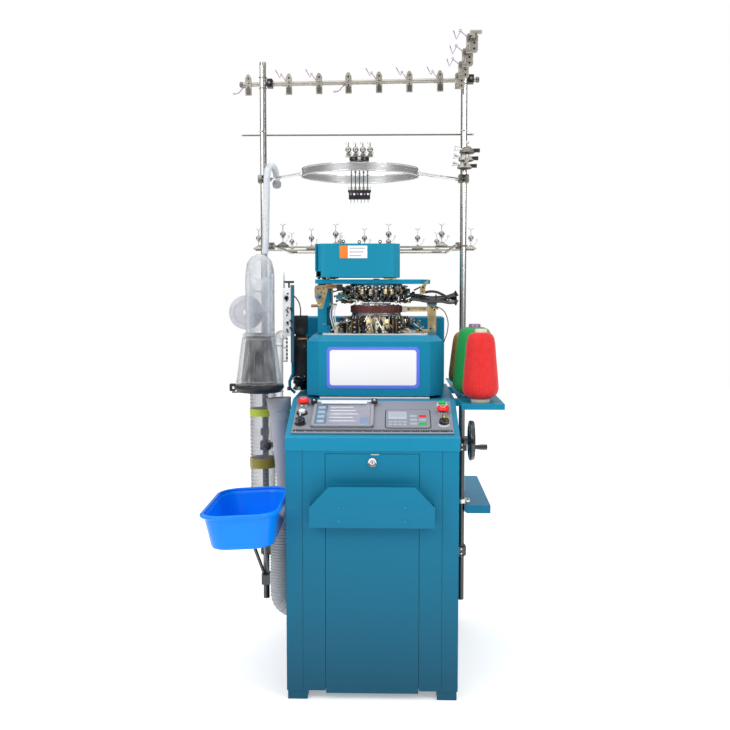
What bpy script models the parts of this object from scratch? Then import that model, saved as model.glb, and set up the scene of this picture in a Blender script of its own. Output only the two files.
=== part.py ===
"""Circular knitting machine for socks: single needle cylinder, cabinet, yarn creel and sock take-off.

Metres, +Z up. The machine is laid out in its own frame: x = 0 on the cabinet's centre plane, y = 0 on the
cabinet's front face with +y to the rear, z = 0 on the floor. At the end the frame is moved so that the
world origin is the middle of the machine's footprint.
"""

import math

import bmesh
import bpy
from mathutils import Matrix, Vector

# ---------------------------------------------------------------- driving dimensions
GAP = 0.0003                      # clearance between touching pieces

CABINET_WIDTH = 0.520
CABINET_DEPTH = 0.800
FOOT_HEIGHT = 0.028
FOOT_SIDE = 0.060
BODY_TOP = 0.765                  # top of the cabinet body
SHEET = 0.004                     # cabinet sheet
STILE_DEPTH = 0.018               # depth of the folded front frame
DOOR_WIDTH = 0.284
DOOR_GAP = 0.0015
DOOR_BOTTOM = 0.020
DOOR_HEADER = 0.008
DOOR_SHEET = 0.002
SEAM_X = 0.210                    # folded seams beside the door
SEAM = 0.002
LOCK_RADIUS = 0.014
LOCK_Z = 0.731
BARREL_RADIUS = 0.011
TONGUE_HALF = 0.007

POCKET_WIDTH = 0.372
POCKET_TOP_WIDTH = 0.255
POCKET_BOTTOM = 0.543
POCKET_SHOULDER = 0.604
POCKET_TOP = 0.665
POCKET_DEPTH = 0.050

CONSOLE_OVERHANG = 0.002
CONSOLE_LIP_TOP = 0.807
CONSOLE_REAR_TOP = 0.893
CONSOLE_SLOPE_DEPTH = 0.250
PANEL_WIDTH = 0.490
PANEL_START = 0.020               # distance up the slope to the panel's front edge
PANEL_LENGTH = 0.227
PANEL_SHEET = 0.003
PANEL_WELL = 0.040                # depth of the well under the panel
HINGE_RADIUS = 0.0035

DISPLAY_WIDTH = 0.190
DISPLAY_LENGTH = 0.168
DISPLAY_CENTRE = (-0.093, 0.118)
FLAP_SHEET = 0.0020
KEYPAD_SIZE = (0.138, 0.128)
KEYPAD_CENTRE = (0.108, 0.096)
MUSHROOM_RADIUS = 0.020
BUTTON_RADIUS = 0.0155
STEM_RADIUS = 0.0115
STEM_CLEARANCE = 0.0015
STEM_REACH = 0.012                # how far a stem goes below the panel

AXIS = (0.005, 0.440)             # needle cylinder's axis
BED_FRONT = 0.270
BED_BACK = 0.640
BED_FRONT_HALF = 0.179
BED_HALF = 0.2225
BED_CHAMFER_DEPTH = 0.040
BED_CENTRE = 0.002
BED_BOTTOM = 0.902
BED_SHOULDER = 1.079
BED_TOP = 1.097
BED_BEVEL = 0.018
BED_PLATE = 0.004
BED_BORE = 0.043
NAMEPLATE_WIDTH = 0.288
NAMEPLATE_HEIGHT = 0.122
NAMEPLATE_Z = 0.994
REAR_BOX_FRONT = 0.650
REAR_BOX_TOP = 1.148
REAR_BOX_X = (-0.263, 0.247)

CYLINDER_RADIUS = 0.048
CYLINDER_BORE = 0.040
CYLINDER_TOP = 1.200
CYLINDER_NEEDLES = 20
NEEDLE_SLOT = 0.0022
NEEDLE_SLOT_DEPTH = 0.0024
RING_CLEARANCE = 0.0015           # between the cylinder and the rings round it
CAM_RING_RADIUS = 0.074
CAM_RING_TOP = 1.1567
CAM_BLOCKS = 6
SELECTOR_ANGLES = (-155, -125, -55, -25, 60, 120)
SINKER_RADIUS = 0.083
SINKER_HEIGHT = 0.0125
SINKER_Z = CAM_RING_TOP + GAP     # the sinker ring lies on the cam blocks
GEAR_RADIUS = 0.0875
GEAR_HEIGHT = 0.022
GEAR_Z = SINKER_Z + SINKER_HEIGHT + GAP
GEAR_TEETH = 24
DIAL_RADIUS = 0.0465
DIAL_Z = 1.2035
DIAL_THICKNESS = 0.008
DIAL_SHAFT_RADIUS = 0.011

PILLAR_X = (-0.192, -0.147)
PILLAR_Y = (0.400, 0.520)
UPPER_PLATE_Z = (1.266, 1.280)
UPPER_PLATE_X = (-0.196, 0.150)
UPPER_PLATE_TIP = 0.186
UPPER_PLATE_Y = (0.350, 0.600)
COVER_X = (-0.196, 0.084)
COVER_Y = (0.330, 0.570)
COVER_Z = (1.2875, 1.397)
COVER_SHEET = 0.003
COVER_CORNER = 0.035
FINGERS = 3
FINGER_FIRST = -130.0             # bearing of the first yarn finger, in degrees
FINGER_STEP = 40.0
FINGER_RING_RADIUS = 0.074

WHEEL_Y = 0.120
WHEEL_Z = 0.780
WHEEL_RADIUS = 0.0625
WHEEL_X = 0.300
GRIP_REACH = 0.045                # grip's distance from the wheel's axis

POST_RADIUS = 0.011
POST_Y = 0.520
LEFT_POST_X = -0.386
RIGHT_POST_X = 0.303
POST_BOTTOM = 0.153
LEFT_POST_TOP = 2.022
RIGHT_POST_TOP = 1.978
CROSSBAR_X = (-0.465, 0.352)
CROSSBAR_RADIUS = 0.008
CROSSBAR_Z = 1.958
CROSSBAR_TILT = math.radians(0.9)
DETECTOR_X = (-0.438, -0.298, -0.194, -0.093, 0.012, 0.116, 0.221)
DROPPED = (0, 3)                  # detectors whose wire hangs down
SIDE_ARM_FRONT = -0.060
SIDE_ARM_Z = 1.962
GUIDE_ROD_X = (-0.461, 0.336)
GUIDE_ROD_Z = 1.778

GUIDE_RING_CENTRE = (-0.0505, 0.450)
GUIDE_RING_RADIUS = 0.195
GUIDE_RING_Z = (1.624, 1.652)
GUIDE_RING_WALL = 0.004
GUIDE_ARM_Z = 1.636

CREEL_Z = 1.397
CREEL_ROWS = ((0.600, -0.329, 0.233, 4), (0.870, -0.451, 0.357, 5), (1.140, -0.351, 0.240, 4))
CREEL_SIDE_X = (-0.350, 0.277)
CREEL_BAR = 0.008
TENSION_BALL = 0.0095

CONE_PLATE_X = (0.276, 0.411)
CONE_PLATE_Y = (0.150, 1.080)
CONE_PLATE_Z = 0.890
CONE_PLATE_SHEET = 0.003
SHELF_X = (0.320, 0.404)
SHELF_Y = (0.498, 1.060)
SHELF_Z = 0.494
SHELF_LIP = 0.028

HOPPER_CENTRE = (-0.3775, 0.300)
HOPPER_RADIUS = 0.0765
HOPPER_BASE_Z = 0.912
HOPPER_BASE_HEIGHT = 0.024
HOPPER_TOP = 1.105
TRAP_BORE = 0.044
TRAP_SHEET = 0.003
DUCT_RADIUS = 0.043
DUCT_WALL = 0.002
DUCT_SEAT = 0.0020                # clearance of the duct in the collars that it stands in
DUCT_TOP = 1.365
TAKE_OFF_Y = 0.450
TAKE_OFF_X = -0.386
TAKE_OFF_RADIUS = 0.0445
TAKE_OFF_RIB = 0.120
TAKE_OFF_Z = (0.470, 1.100)
DISC_CENTRE = (-0.430, 0.378, 1.170)
DISC_RADIUS = 0.058

BASIN_LENGTH = 0.430
BASIN_WIDTH = 0.236
BASIN_CENTRE = (-0.388, 0.075)
BASIN_RIM = 0.600
BASIN_HEIGHT = 0.108
BASIN_WALL = 0.003
BASIN_TILT = math.radians(-3.0)

FUNNEL_TOP = (-0.322, 0.375, 0.885)
FUNNEL_FOOT = (-0.300, 0.360, 0.575)
HOSE_RADIUS = 0.036
HOSE_X = -0.3165
HOSE_PORT_Z = 0.172

MOTOR_X = (-0.283, -0.2325)
MOTOR_Y = (0.445, 0.535)
MOTOR_Z = (0.937, 1.157)

# ---------------------------------------------------------------- colours: (base colour, roughness, metallic)
TEAL = ((0.014, 0.235, 0.410), 0.38, 0.0)
DARK_TEAL = ((0.012, 0.150, 0.250), 0.42, 0.0)
STEEL = ((0.62, 0.62, 0.60), 0.28, 1.0)
CHROME = ((0.80, 0.80, 0.80), 0.12, 1.0)
CREAM_STEEL = ((0.66, 0.63, 0.56), 0.35, 0.8)
GOLD = ((0.58, 0.39, 0.14), 0.34, 0.9)
BROWN = ((0.110, 0.030, 0.030), 0.45, 0.1)
BLACK = ((0.012, 0.012, 0.013), 0.45, 0.0)
GREY = ((0.26, 0.27, 0.30), 0.45, 0.2)
WHITE = ((0.80, 0.80, 0.78), 0.40, 0.0)
RED = ((0.72, 0.025, 0.015), 0.35, 0.0)
GREEN = ((0.010, 0.30, 0.070), 0.45, 0.0)
ORANGE = ((0.75, 0.26, 0.025), 0.60, 0.0)
BLUE = ((0.003, 0.200, 0.980), 0.30, 0.0)
CLEAR = ((0.72, 0.77, 0.84), 0.10, 0.0)
MESH_GREY = ((0.16, 0.15, 0.15), 0.45, 0.7)
HOSE_GREY = ((0.27, 0.27, 0.30), 0.55, 0.0)

PARTS_NAME = "circular_knitting_machine"
CUTTERS_NAME = "cutters"


# ---------------------------------------------------------------- scene and material helpers
def clear_scene():
    for item in list(bpy.data.objects):
        bpy.data.objects.remove(item, do_unlink=True)
    for name in (PARTS_NAME, CUTTERS_NAME):
        collection = bpy.data.collections.new(name)
        bpy.context.scene.collection.children.link(collection)


def finish_of(look):
    """The Principled material of one of the colours above, made once."""
    colour, roughness, metallic = look
    name = "look_%03d_%03d_%03d" % tuple(round(999 * c) for c in colour)
    found = bpy.data.materials.get(name)
    if found:
        return found
    made = bpy.data.materials.new(name)
    made.use_nodes = True
    shader = made.node_tree.nodes["Principled BSDF"]
    shader.inputs["Base Color"].default_value = (*colour, 1.0)
    shader.inputs["Roughness"].default_value = roughness
    shader.inputs["Metallic"].default_value = metallic
    made.diffuse_color = (*colour, 1.0)
    return made


def settle(item, name, look, parent):
    """Names an object, gives it its material and puts it in the machine's frame."""
    item.name = name
    item.data.name = name
    item.parent = parent or MACHINE
    if look:
        item.data.materials.clear()
        item.data.materials.append(finish_of(look))
    for collection in list(item.users_collection):
        collection.objects.unlink(item)
    bpy.data.collections[PARTS_NAME].objects.link(item)
    return item


def hide(item):
    """Makes an object a cutter or a piece that a Boolean reads."""
    for collection in list(item.users_collection):
        collection.objects.unlink(item)
    bpy.data.collections[CUTTERS_NAME].objects.link(item)
    item.hide_render = True
    item.display_type = "WIRE"
    return item


# ---------------------------------------------------------------- shape helpers
def box(name, low, high, look=None, bevel=0.0, parent=None):
    centre = [(a + b) / 2 for a, b in zip(low, high)]
    size = [b - a for a, b in zip(low, high)]
    bpy.ops.mesh.primitive_cube_add(size=1.0, location=centre)
    item = bpy.context.object
    item.data.transform(Matrix.Diagonal((*size, 1.0)))
    settle(item, name, look, parent)
    if bevel:
        edge = item.modifiers.new("bevel", "BEVEL")
        edge.width = bevel
        edge.segments = 1
    return item


def turn_to(axis):
    return {"X": (0.0, math.pi / 2, 0.0), "Y": (math.pi / 2, 0.0, 0.0), "Z": (0.0, 0.0, 0.0)}[axis]


def rod(name, centre, radius, length, axis="Z", look=None, sides=10, parent=None, top=None):
    """A cylinder, or with top a cone frustum, centred on a point."""
    bpy.ops.mesh.primitive_cone_add(
        vertices=sides,
        radius1=radius,
        radius2=radius if top is None else top,
        depth=length,
        location=centre,
    )
    item = bpy.context.object
    item.rotation_euler = turn_to(axis)
    settle(item, name, look, parent)
    smooth(item)
    return item


def ball(name, centre, radius, look=None, parent=None, sides=8):
    bpy.ops.mesh.primitive_uv_sphere_add(
        segments=sides, ring_count=sides // 2, radius=radius, location=centre
    )
    item = settle(bpy.context.object, name, look, parent)
    smooth(item)
    return item


def smooth(item):
    item.data.shade_smooth()
    item.data.set_sharp_from_angle(angle=math.radians(35))


def turned(name, centre, profile, look=None, steps=20, axis="Z", parent=None, closed=False):
    """A Screw of (radius, height) points, which run down the outer side; closed makes a ring."""
    mesh = bpy.data.meshes.new(name)
    points = [(r, 0.0, z) for r, z in profile]
    edges = [(i, i + 1) for i in range(len(points) - 1)]
    if closed:
        edges.append((len(points) - 1, 0))
    mesh.from_pydata(points, edges, [])
    item = bpy.data.objects.new(name, mesh)
    bpy.context.scene.collection.objects.link(item)
    item.location = centre
    item.rotation_euler = turn_to(axis)
    settle(item, name, look, parent)
    screw = item.modifiers.new("screw", "SCREW")
    screw.steps = steps
    screw.render_steps = steps
    screw.use_merge_vertices = True
    screw.merge_threshold = 0.00001
    screw.use_smooth_shade = True
    return item


def tube_ring(outer, inner, low, high):
    """The closed profile of a plain ring."""
    return [(outer, high), (outer, low), (inner, low), (inner, high)]


def solid_mesh(item):
    """Replaces a curve object with the closed mesh that it evaluates to."""
    bpy.context.view_layer.update()
    graph = bpy.context.evaluated_depsgraph_get()
    mesh = bpy.data.meshes.new_from_object(item.evaluated_get(graph))
    work = bmesh.new()
    work.from_mesh(mesh)
    bmesh.ops.remove_doubles(work, verts=work.verts, dist=0.000002)
    bmesh.ops.recalc_face_normals(work, faces=work.faces)
    work.to_mesh(mesh)
    work.free()
    made = bpy.data.objects.new(item.name, mesh)
    bpy.context.scene.collection.objects.link(made)
    made.parent = item.parent
    made.matrix_local = item.matrix_local
    name = item.name
    look = item.data.materials[0] if item.data.materials else None
    bpy.data.objects.remove(item, do_unlink=True)
    settle(made, name, None, made.parent)
    mesh.materials.clear()
    if look:
        mesh.materials.append(look)
    return made


def wire(name, points, radius, look=None, parent=None, sides=1, cyclic=False):
    """A round bar along a list of points."""
    curve = bpy.data.curves.new(name, "CURVE")
    curve.dimensions = "3D"
    line = curve.splines.new("POLY")
    line.points.add(len(points) - 1)
    for spot, point in zip(line.points, points):
        spot.co = (*point, 1.0)
    line.use_cyclic_u = cyclic
    curve.bevel_depth = radius
    curve.bevel_resolution = sides
    curve.use_fill_caps = True
    item = bpy.data.objects.new(name, curve)
    bpy.context.scene.collection.objects.link(item)
    settle(item, name, look, parent)
    made = solid_mesh(item)
    smooth(made)
    return made


def plate(name, outline, thickness, centre=(0, 0, 0), facing="Z", look=None, parent=None, holes=()):
    """A flat outline with a thickness. Facing Y draws it in x and z, facing X in y and z."""
    curve = bpy.data.curves.new(name, "CURVE")
    curve.dimensions = "2D"
    curve.fill_mode = "BOTH"
    for loop in (outline, *holes):
        line = curve.splines.new("POLY")
        line.points.add(len(loop) - 1)
        for spot, (a, b) in zip(line.points, loop):
            spot.co = (a, b, 0.0, 1.0)
        line.use_cyclic_u = True
    curve.extrude = thickness / 2
    item = bpy.data.objects.new(name, curve)
    bpy.context.scene.collection.objects.link(item)
    item.location = centre
    item.rotation_euler = {
        "Z": (0, 0, 0),
        "Y": (math.pi / 2, 0, 0),
        "X": (math.pi / 2, 0, math.pi / 2),
    }[facing]
    settle(item, name, look, parent)
    return solid_mesh(item)


def circle(centre, radius, sides=16, start=0.0, end=2 * math.pi):
    """Points round a circle or, with start and end, along an arc."""
    whole = abs(end - start - 2 * math.pi) < 1e-9
    count = sides if whole else sides + 1
    return [
        (
            centre[0] + radius * math.cos(start + (end - start) * i / sides),
            centre[1] + radius * math.sin(start + (end - start) * i / sides),
        )
        for i in range(count)
    ]


def rounded(low, high, radius, sides=4):
    """The outline of a rectangle with round corners."""
    corners = (
        (high[0] - radius, high[1] - radius, 0.0),
        (low[0] + radius, high[1] - radius, 0.5),
        (low[0] + radius, low[1] + radius, 1.0),
        (high[0] - radius, low[1] + radius, 1.5),
    )
    points = []
    for x, y, turn in corners:
        points += circle((x, y), radius, sides, turn * math.pi, (turn + 0.5) * math.pi)
    return points


def cut(item, *cutters):
    for cutter in cutters:
        hide(cutter)
        trim = item.modifiers.new("cut", "BOOLEAN")
        trim.operation = "DIFFERENCE"
        trim.solver = "EXACT"
        trim.object = cutter
    return item


def fuse(item, pieces):
    """Joins pieces to an object with one Boolean union."""
    group = bpy.data.collections.new("pieces_of_" + item.name)
    bpy.data.collections[CUTTERS_NAME].children.link(group)
    for piece in pieces:
        hide(piece)
        bpy.data.collections[CUTTERS_NAME].objects.unlink(piece)
        group.objects.link(piece)
    join = item.modifiers.new("join", "BOOLEAN")
    join.operation = "UNION"
    join.solver = "EXACT"
    join.operand_type = "COLLECTION"
    join.collection = group
    return item


def frame_at(name, location, rotation=(0, 0, 0), parent=None):
    spot = bpy.data.objects.new(name, None)
    bpy.context.scene.collection.objects.link(spot)
    spot.parent = parent
    spot.location = location
    spot.rotation_euler = rotation
    bpy.context.view_layer.update()
    return spot


def move_origin(item, point):
    """Moves an object's origin to a point of its parent's frame, and leaves its shape where it is."""
    shift = item.location - Vector(point)
    item.data.transform(Matrix.Translation(item.rotation_euler.to_matrix().inverted() @ shift))
    item.location = point
    return item


# ---------------------------------------------------------------- cabinet
def make_cabinet():
    half = CABINET_WIDTH / 2
    body = box("cabinet_body", (-half, 0, FOOT_HEIGHT), (half, CABINET_DEPTH, BODY_TOP), TEAL)
    door_half = DOOR_WIDTH / 2
    cut(
        body,
        box(
            "cabinet_room",
            (-half + SHEET, STILE_DEPTH, FOOT_HEIGHT + SHEET),
            (half - SHEET, CABINET_DEPTH - SHEET, BODY_TOP - SHEET),
        ),
        box(
            "door_opening",
            (-door_half, -0.01, FOOT_HEIGHT - 0.02),
            (door_half, STILE_DEPTH + 0.001, BODY_TOP - DOOR_HEADER),
        ),
        *(
            box(
                f"seam_{side}",
                (side * SEAM_X - SEAM / 2, -0.01, FOOT_HEIGHT - 0.01),
                (side * SEAM_X + SEAM / 2, SEAM, BODY_TOP + 0.01),
            )
            for side in (-1, 1)
        ),
    )
    inset = 0.003
    feet = []
    for sx in (-1, 1):
        for y in (inset, CABINET_DEPTH - inset - FOOT_SIDE):
            outer = sx * (half - inset)
            inner = sx * (half - inset - FOOT_SIDE)
            feet.append(
                box(
                    "foot",
                    (min(outer, inner), y, 0.0),
                    (max(outer, inner), y + FOOT_SIDE, FOOT_HEIGHT + SHEET / 2),
                )
            )
    fuse(body, feet)


def make_door():
    half = DOOR_WIDTH / 2 - DOOR_GAP
    top = BODY_TOP - DOOR_HEADER - DOOR_GAP
    door = box("front_door", (-half, 0, DOOR_BOTTOM), (half, STILE_DEPTH - 0.001, top), TEAL)
    cut(
        door,
        box(
            "door_hollow",
            (-half + DOOR_SHEET, DOOR_SHEET, DOOR_BOTTOM + DOOR_SHEET),
            (half - DOOR_SHEET, STILE_DEPTH + 0.01, top - DOOR_SHEET),
        ),
        rod("lock_hole", (0, 0, LOCK_Z), BARREL_RADIUS + 0.001, 0.02, "Y", sides=20),
    )
    fuse(door, pocket_pieces())
    move_origin(door, (0, 0, DOOR_BOTTOM))
    lock = rod("door_lock", (0, -0.004 - GAP, LOCK_Z), LOCK_RADIUS, 0.008, "Y", CHROME, 16)
    barrel = rod("barrel", (0, 0.009, LOCK_Z), BARREL_RADIUS, 0.026, "Y", sides=20)
    tongue_y = STILE_DEPTH + 0.0005
    room = BODY_TOP - SHEET - LOCK_Z
    reach = math.sqrt(room**2 - TONGUE_HALF**2) - 0.001
    tongue = box(
        "tongue",
        (-0.008, tongue_y, LOCK_Z - TONGUE_HALF),
        (reach, tongue_y + 0.003, LOCK_Z + TONGUE_HALF),
    )
    fuse(lock, [barrel, tongue])
    cut(lock, box("key_slot", (-0.0015, -0.02, LOCK_Z - 0.006), (0.0015, -0.006, LOCK_Z + 0.006)))


def pocket_pieces():
    """The folded pocket and the rivets that hold it on the door."""
    wall = 0.002
    outline = [
        (-POCKET_WIDTH / 2, POCKET_BOTTOM),
        (POCKET_WIDTH / 2, POCKET_BOTTOM),
        (POCKET_WIDTH / 2, POCKET_SHOULDER),
        (POCKET_TOP_WIDTH / 2, POCKET_TOP),
        (-POCKET_TOP_WIDTH / 2, POCKET_TOP),
        (-POCKET_WIDTH / 2, POCKET_SHOULDER),
    ]
    depth = POCKET_DEPTH - GAP
    pocket = plate("pocket", outline, depth, (0, -GAP - depth / 2, 0), "Y")
    side = POCKET_WIDTH / 2 - wall
    cut(
        pocket,
        box(
            "pocket_room",
            (-side, -POCKET_DEPTH + wall, POCKET_BOTTOM + wall),
            (side, -GAP - wall, POCKET_TOP + 0.02),
        ),
    )
    rivets = [
        rod("rivet", (x, -0.0005, z), 0.004, 0.0036, "Y", sides=6)
        for x in (-DOOR_WIDTH * 0.35, DOOR_WIDTH * 0.35)
        for z in (POCKET_BOTTOM + 0.020, POCKET_SHOULDER)
    ]
    return [pocket, *rivets]


def slope_frame():
    angle = math.atan2(CONSOLE_REAR_TOP - CONSOLE_LIP_TOP, CONSOLE_SLOPE_DEPTH)
    spot = (0, PANEL_START * math.cos(angle), CONSOLE_LIP_TOP + PANEL_START * math.sin(angle))
    return frame_at("panel_frame", spot, (angle, 0, 0), MACHINE)


def make_console(slope):
    half = CABINET_WIDTH / 2 + CONSOLE_OVERHANG
    bottom = BODY_TOP + GAP
    profile = [
        (-CONSOLE_OVERHANG, bottom),
        (CABINET_DEPTH, bottom),
        (CABINET_DEPTH, CONSOLE_REAR_TOP),
        (CONSOLE_SLOPE_DEPTH, CONSOLE_REAR_TOP),
        (0.004, CONSOLE_LIP_TOP + 0.0013),
        (-CONSOLE_OVERHANG, CONSOLE_LIP_TOP - 0.003),
    ]
    console = plate("console_housing", profile, 2 * half, (0, 0, 0), "X", TEAL)
    cut(
        console,
        box(
            "panel_well",
            (-PANEL_WIDTH / 2 + 0.008, 0.010, -PANEL_WELL),
            (PANEL_WIDTH / 2 - 0.008, PANEL_LENGTH - 0.008, 0.02),
            parent=slope,
        ),
        rod("wheel_bore", (half, WHEEL_Y, WHEEL_Z), 0.0095, 0.03, "X", sides=20),
    )


def make_panel(slope):
    panel = box(
        "console_panel",
        (-PANEL_WIDTH / 2, HINGE_RADIUS + 0.001, GAP),
        (PANEL_WIDTH / 2, PANEL_LENGTH, GAP + PANEL_SHEET),
        GREY,
        parent=slope,
    )
    half = PANEL_WIDTH / 2
    leaf = box("leaf", (-half, 0.0, GAP + 0.0005), (half, 0.008, GAP + 0.0025), parent=slope)
    knuckle = rod(
        "knuckle", (0, 0, GAP + HINGE_RADIUS), HINGE_RADIUS, PANEL_WIDTH, "X", sides=8, parent=slope,
    )
    fuse(panel, [leaf, knuckle, *collars(slope), *keypad_pieces(slope)])
    cut(panel, *stem_bores(slope))
    move_origin(panel, (0, 0, GAP + HINGE_RADIUS))


def make_display(slope):
    top = GAP + PANEL_SHEET + GAP
    cx, cy = DISPLAY_CENTRE
    w, h = DISPLAY_WIDTH / 2, DISPLAY_LENGTH / 2
    height = 0.008
    screen = box("display", (cx - w, cy - h, top), (cx + w, cy + h, top + height), BLACK, parent=slope)
    rim = 0.010
    cut(
        screen,
        box(
            "display_window",
            (cx - w + rim, cy - h + rim, top + height - 0.002),
            (cx + w - rim, cy + h - rim, top + height + 0.02),
            parent=slope,
        ),
    )
    lid_z = top + height + GAP
    lid = box(
        "display_flap",
        (cx - w + 0.002, cy - h - 0.004, lid_z),
        (cx + w - 0.002, cy + h - 0.002, lid_z + FLAP_SHEET),
        CLEAR,
        parent=slope,
    )
    axle_y = cy + h + 0.006
    clips = []
    for side in (-1, 1):
        x = cx + side * (w + 0.004)
        clips.append(
            box(
                "flap_arm",
                (x - 0.006, cy + h - 0.012, lid_z),
                (x + 0.006, axle_y + 0.004, lid_z + 0.008),
                parent=slope,
            )
        )
    bar = box(
        "flap_bar",
        (cx - w - 0.004, cy + h - 0.006, lid_z),
        (cx + w + 0.004, cy + h + 0.003, lid_z + 0.004),
        parent=slope,
    )
    fuse(lid, [*clips, bar])
    move_origin(lid, (cx, axle_y, lid_z))


def keypad_pieces(slope):
    """The raised keypad and its keys, bonded on the panel."""
    top = GAP + PANEL_SHEET - 0.0008
    (w, h), (cx, cy) = KEYPAD_SIZE, KEYPAD_CENTRE
    pad = plate(
        "keypad",
        rounded((cx - w / 2, cy - h / 2), (cx + w / 2, cy + h / 2), 0.010, 2),
        0.002,
        (0, 0, top + 0.001),
        "Z",
        parent=slope,
    )
    keys = []
    for column in range(2):
        for row in range(3):
            x = cx + 0.006 + column * 0.028
            y = cy - 0.044 + row * 0.026
            keys.append(
                box("key", (x, y, top + 0.001), (x + 0.022, y + 0.014, top + 0.0032), parent=slope)
            )
    return [pad, *keys]


def control_spots():
    """Name, place on the panel, kind and colour of each control."""
    left, right = -0.2225, 0.2175
    return (
        ("left_stop_button", (left, 0.196), "mushroom", RED),
        ("reset_button", (left, 0.132), "button", WHITE),
        ("selector_knob", (left, 0.062), "rotary", BLACK),
        ("start_button", (right, 0.196), "button", GREEN),
        ("right_stop_button", (right, 0.140), "mushroom", RED),
        ("mode_selector", (right, 0.058), "selector", BLACK),
    )


def make_controls(slope):
    base = GAP + PANEL_SHEET + GAP
    for name, (x, y), kind, look in control_spots():
        if kind == "mushroom":
            profile = [
                (0, 0.030), (0.010, 0.0295), (MUSHROOM_RADIUS - 0.003, 0.0265), (MUSHROOM_RADIUS, 0.022),
                (MUSHROOM_RADIUS, 0.019), (STEM_RADIUS, 0.017), (STEM_RADIUS, -STEM_REACH), (0, -STEM_REACH),
            ]
            turned(name, (x, y, base), profile, look, 12, parent=slope)
        elif kind == "button":
            profile = [
                (0, 0.014), (0.010, 0.0138), (STEM_RADIUS, 0.012), (
                    STEM_RADIUS, -STEM_REACH,
                ), (0, -STEM_REACH),
            ]
            turned(name, (x, y, base), profile, look, 12, parent=slope)
        else:
            knob = turned(
                name,
                (x, y, base),
                [(0, 0.018), (0.0135, 0.018), (0.0150, 0.016), (0.0160, 0.0045), (0, 0.0045)],
                look,
                12,
                parent=slope,
            )
            reach = 0.019 if kind == "rotary" else 0.0145
            handle = box(
                "handle",
                (x - 0.0045, y - reach, base + 0.016),
                (x + 0.0045, y + reach, base + 0.026),
                parent=slope,
            )
            fuse(knob, [handle])


def collars(slope):
    """The threaded collars that the buttons travel in, fixed on the panel."""
    sunk = 0.001
    base = GAP + PANEL_SHEET - sunk
    made = []
    for _, (x, y), kind, _ in control_spots():
        high = {"mushroom": 0.0078, "button": 0.0058, "rotary": 0.0038, "selector": 0.0038}[kind] + sunk
        radius = BUTTON_RADIUS + (0.001 if kind == "mushroom" else 0.0)
        made.append(rod("collar", (x, y, base + high / 2), radius, high, sides=10, parent=slope))
    return made


def stem_bores(slope):
    """The holes through the panel and the collars for the stems of the buttons that are pushed."""
    return [
        rod("stem_bore", (x, y, 0), STEM_RADIUS + STEM_CLEARANCE, 0.04, sides=12, parent=slope)
        for _, (x, y), kind, _ in control_spots()
        if kind in ("mushroom", "button")
    ]


# ---------------------------------------------------------------- bed
def bed_outline(shrink=0.0):
    front = BED_FRONT + shrink
    wide = BED_HALF - shrink
    narrow = BED_FRONT_HALF - shrink * 0.4
    return [
        (BED_CENTRE - narrow, front),
        (BED_CENTRE + narrow, front),
        (BED_CENTRE + wide, front + BED_CHAMFER_DEPTH),
        (BED_CENTRE + wide, BED_BACK),
        (BED_CENTRE - wide, BED_BACK),
        (BED_CENTRE - wide, front + BED_CHAMFER_DEPTH),
    ]


def make_bed():
    work = bmesh.new()
    rings = []
    for shrink, z in ((0.0, BED_BOTTOM), (0.0, BED_SHOULDER), (BED_BEVEL, BED_TOP)):
        rings.append([work.verts.new((x, y, z)) for x, y in bed_outline(shrink)])
    for low, high in zip(rings, rings[1:]):
        for i in range(len(low)):
            j = (i + 1) % len(low)
            work.faces.new((low[i], low[j], high[j], high[i]))
    work.faces.new(rings[-1])
    work.faces.new(list(reversed(rings[0])))
    bmesh.ops.recalc_face_normals(work, faces=work.faces)
    mesh = bpy.data.meshes.new("bed_housing")
    work.to_mesh(mesh)
    work.free()
    bed = bpy.data.objects.new("bed_housing", mesh)
    bpy.context.scene.collection.objects.link(bed)
    settle(bed, "bed_housing", TEAL, None)
    pads = []
    for sx in (-1, 1):
        for y in (BED_FRONT + 0.060, BED_BACK - 0.060):
            x = BED_CENTRE + sx * 0.150
            pads.append(
                box(
                    "pad",
                    (x - 0.03, y - 0.03, CONSOLE_REAR_TOP + GAP),
                    (x + 0.03, y + 0.03, BED_BOTTOM + 0.004),
                )
            )
    fuse(bed, [*pads, nameplate()])
    cut(bed, rod("sock_bore", (*AXIS, BED_TOP), BED_BORE, 0.12, sides=24))


def make_bed_plate():
    low = (BED_CENTRE - 0.1745, BED_FRONT + BED_BEVEL + 0.040)
    high = (BED_CENTRE + 0.1745, BED_BACK - 0.012)
    plate(
        "bed_plate",
        rounded(low, high, 0.020),
        BED_PLATE,
        (0, 0, BED_TOP + GAP + BED_PLATE / 2),
        "Z",
        WHITE,
        holes=[circle(AXIS, BED_BORE, 24)],
    )
    notch = 0.001
    cut(
        bpy.data.objects["bed_plate"],
        box(
            "pillar_notch",
            (PILLAR_X[0] - 0.02, PILLAR_Y[0] - notch, BED_TOP - 0.01),
            (PILLAR_X[1] + notch, PILLAR_Y[1] + notch, BED_TOP + 0.02),
        ),
    )


def nameplate():
    """The raised plate on the bed's front face."""
    x0 = BED_CENTRE - 0.005 - NAMEPLATE_WIDTH / 2
    x1 = x0 + NAMEPLATE_WIDTH
    z0 = NAMEPLATE_Z - NAMEPLATE_HEIGHT / 2
    return plate(
        "nameplate",
        rounded((x0, z0), (x1, z0 + NAMEPLATE_HEIGHT), 0.008, 2),
        0.003,
        (0, BED_FRONT, 0),
        "Y",
    )


def make_rear_cabinet():
    box(
        "rear_cabinet",
        (REAR_BOX_X[0], REAR_BOX_FRONT, CONSOLE_REAR_TOP + GAP),
        (REAR_BOX_X[1], CABINET_DEPTH, REAR_BOX_TOP),
        TEAL,
        bevel=0.004,
    )


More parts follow.
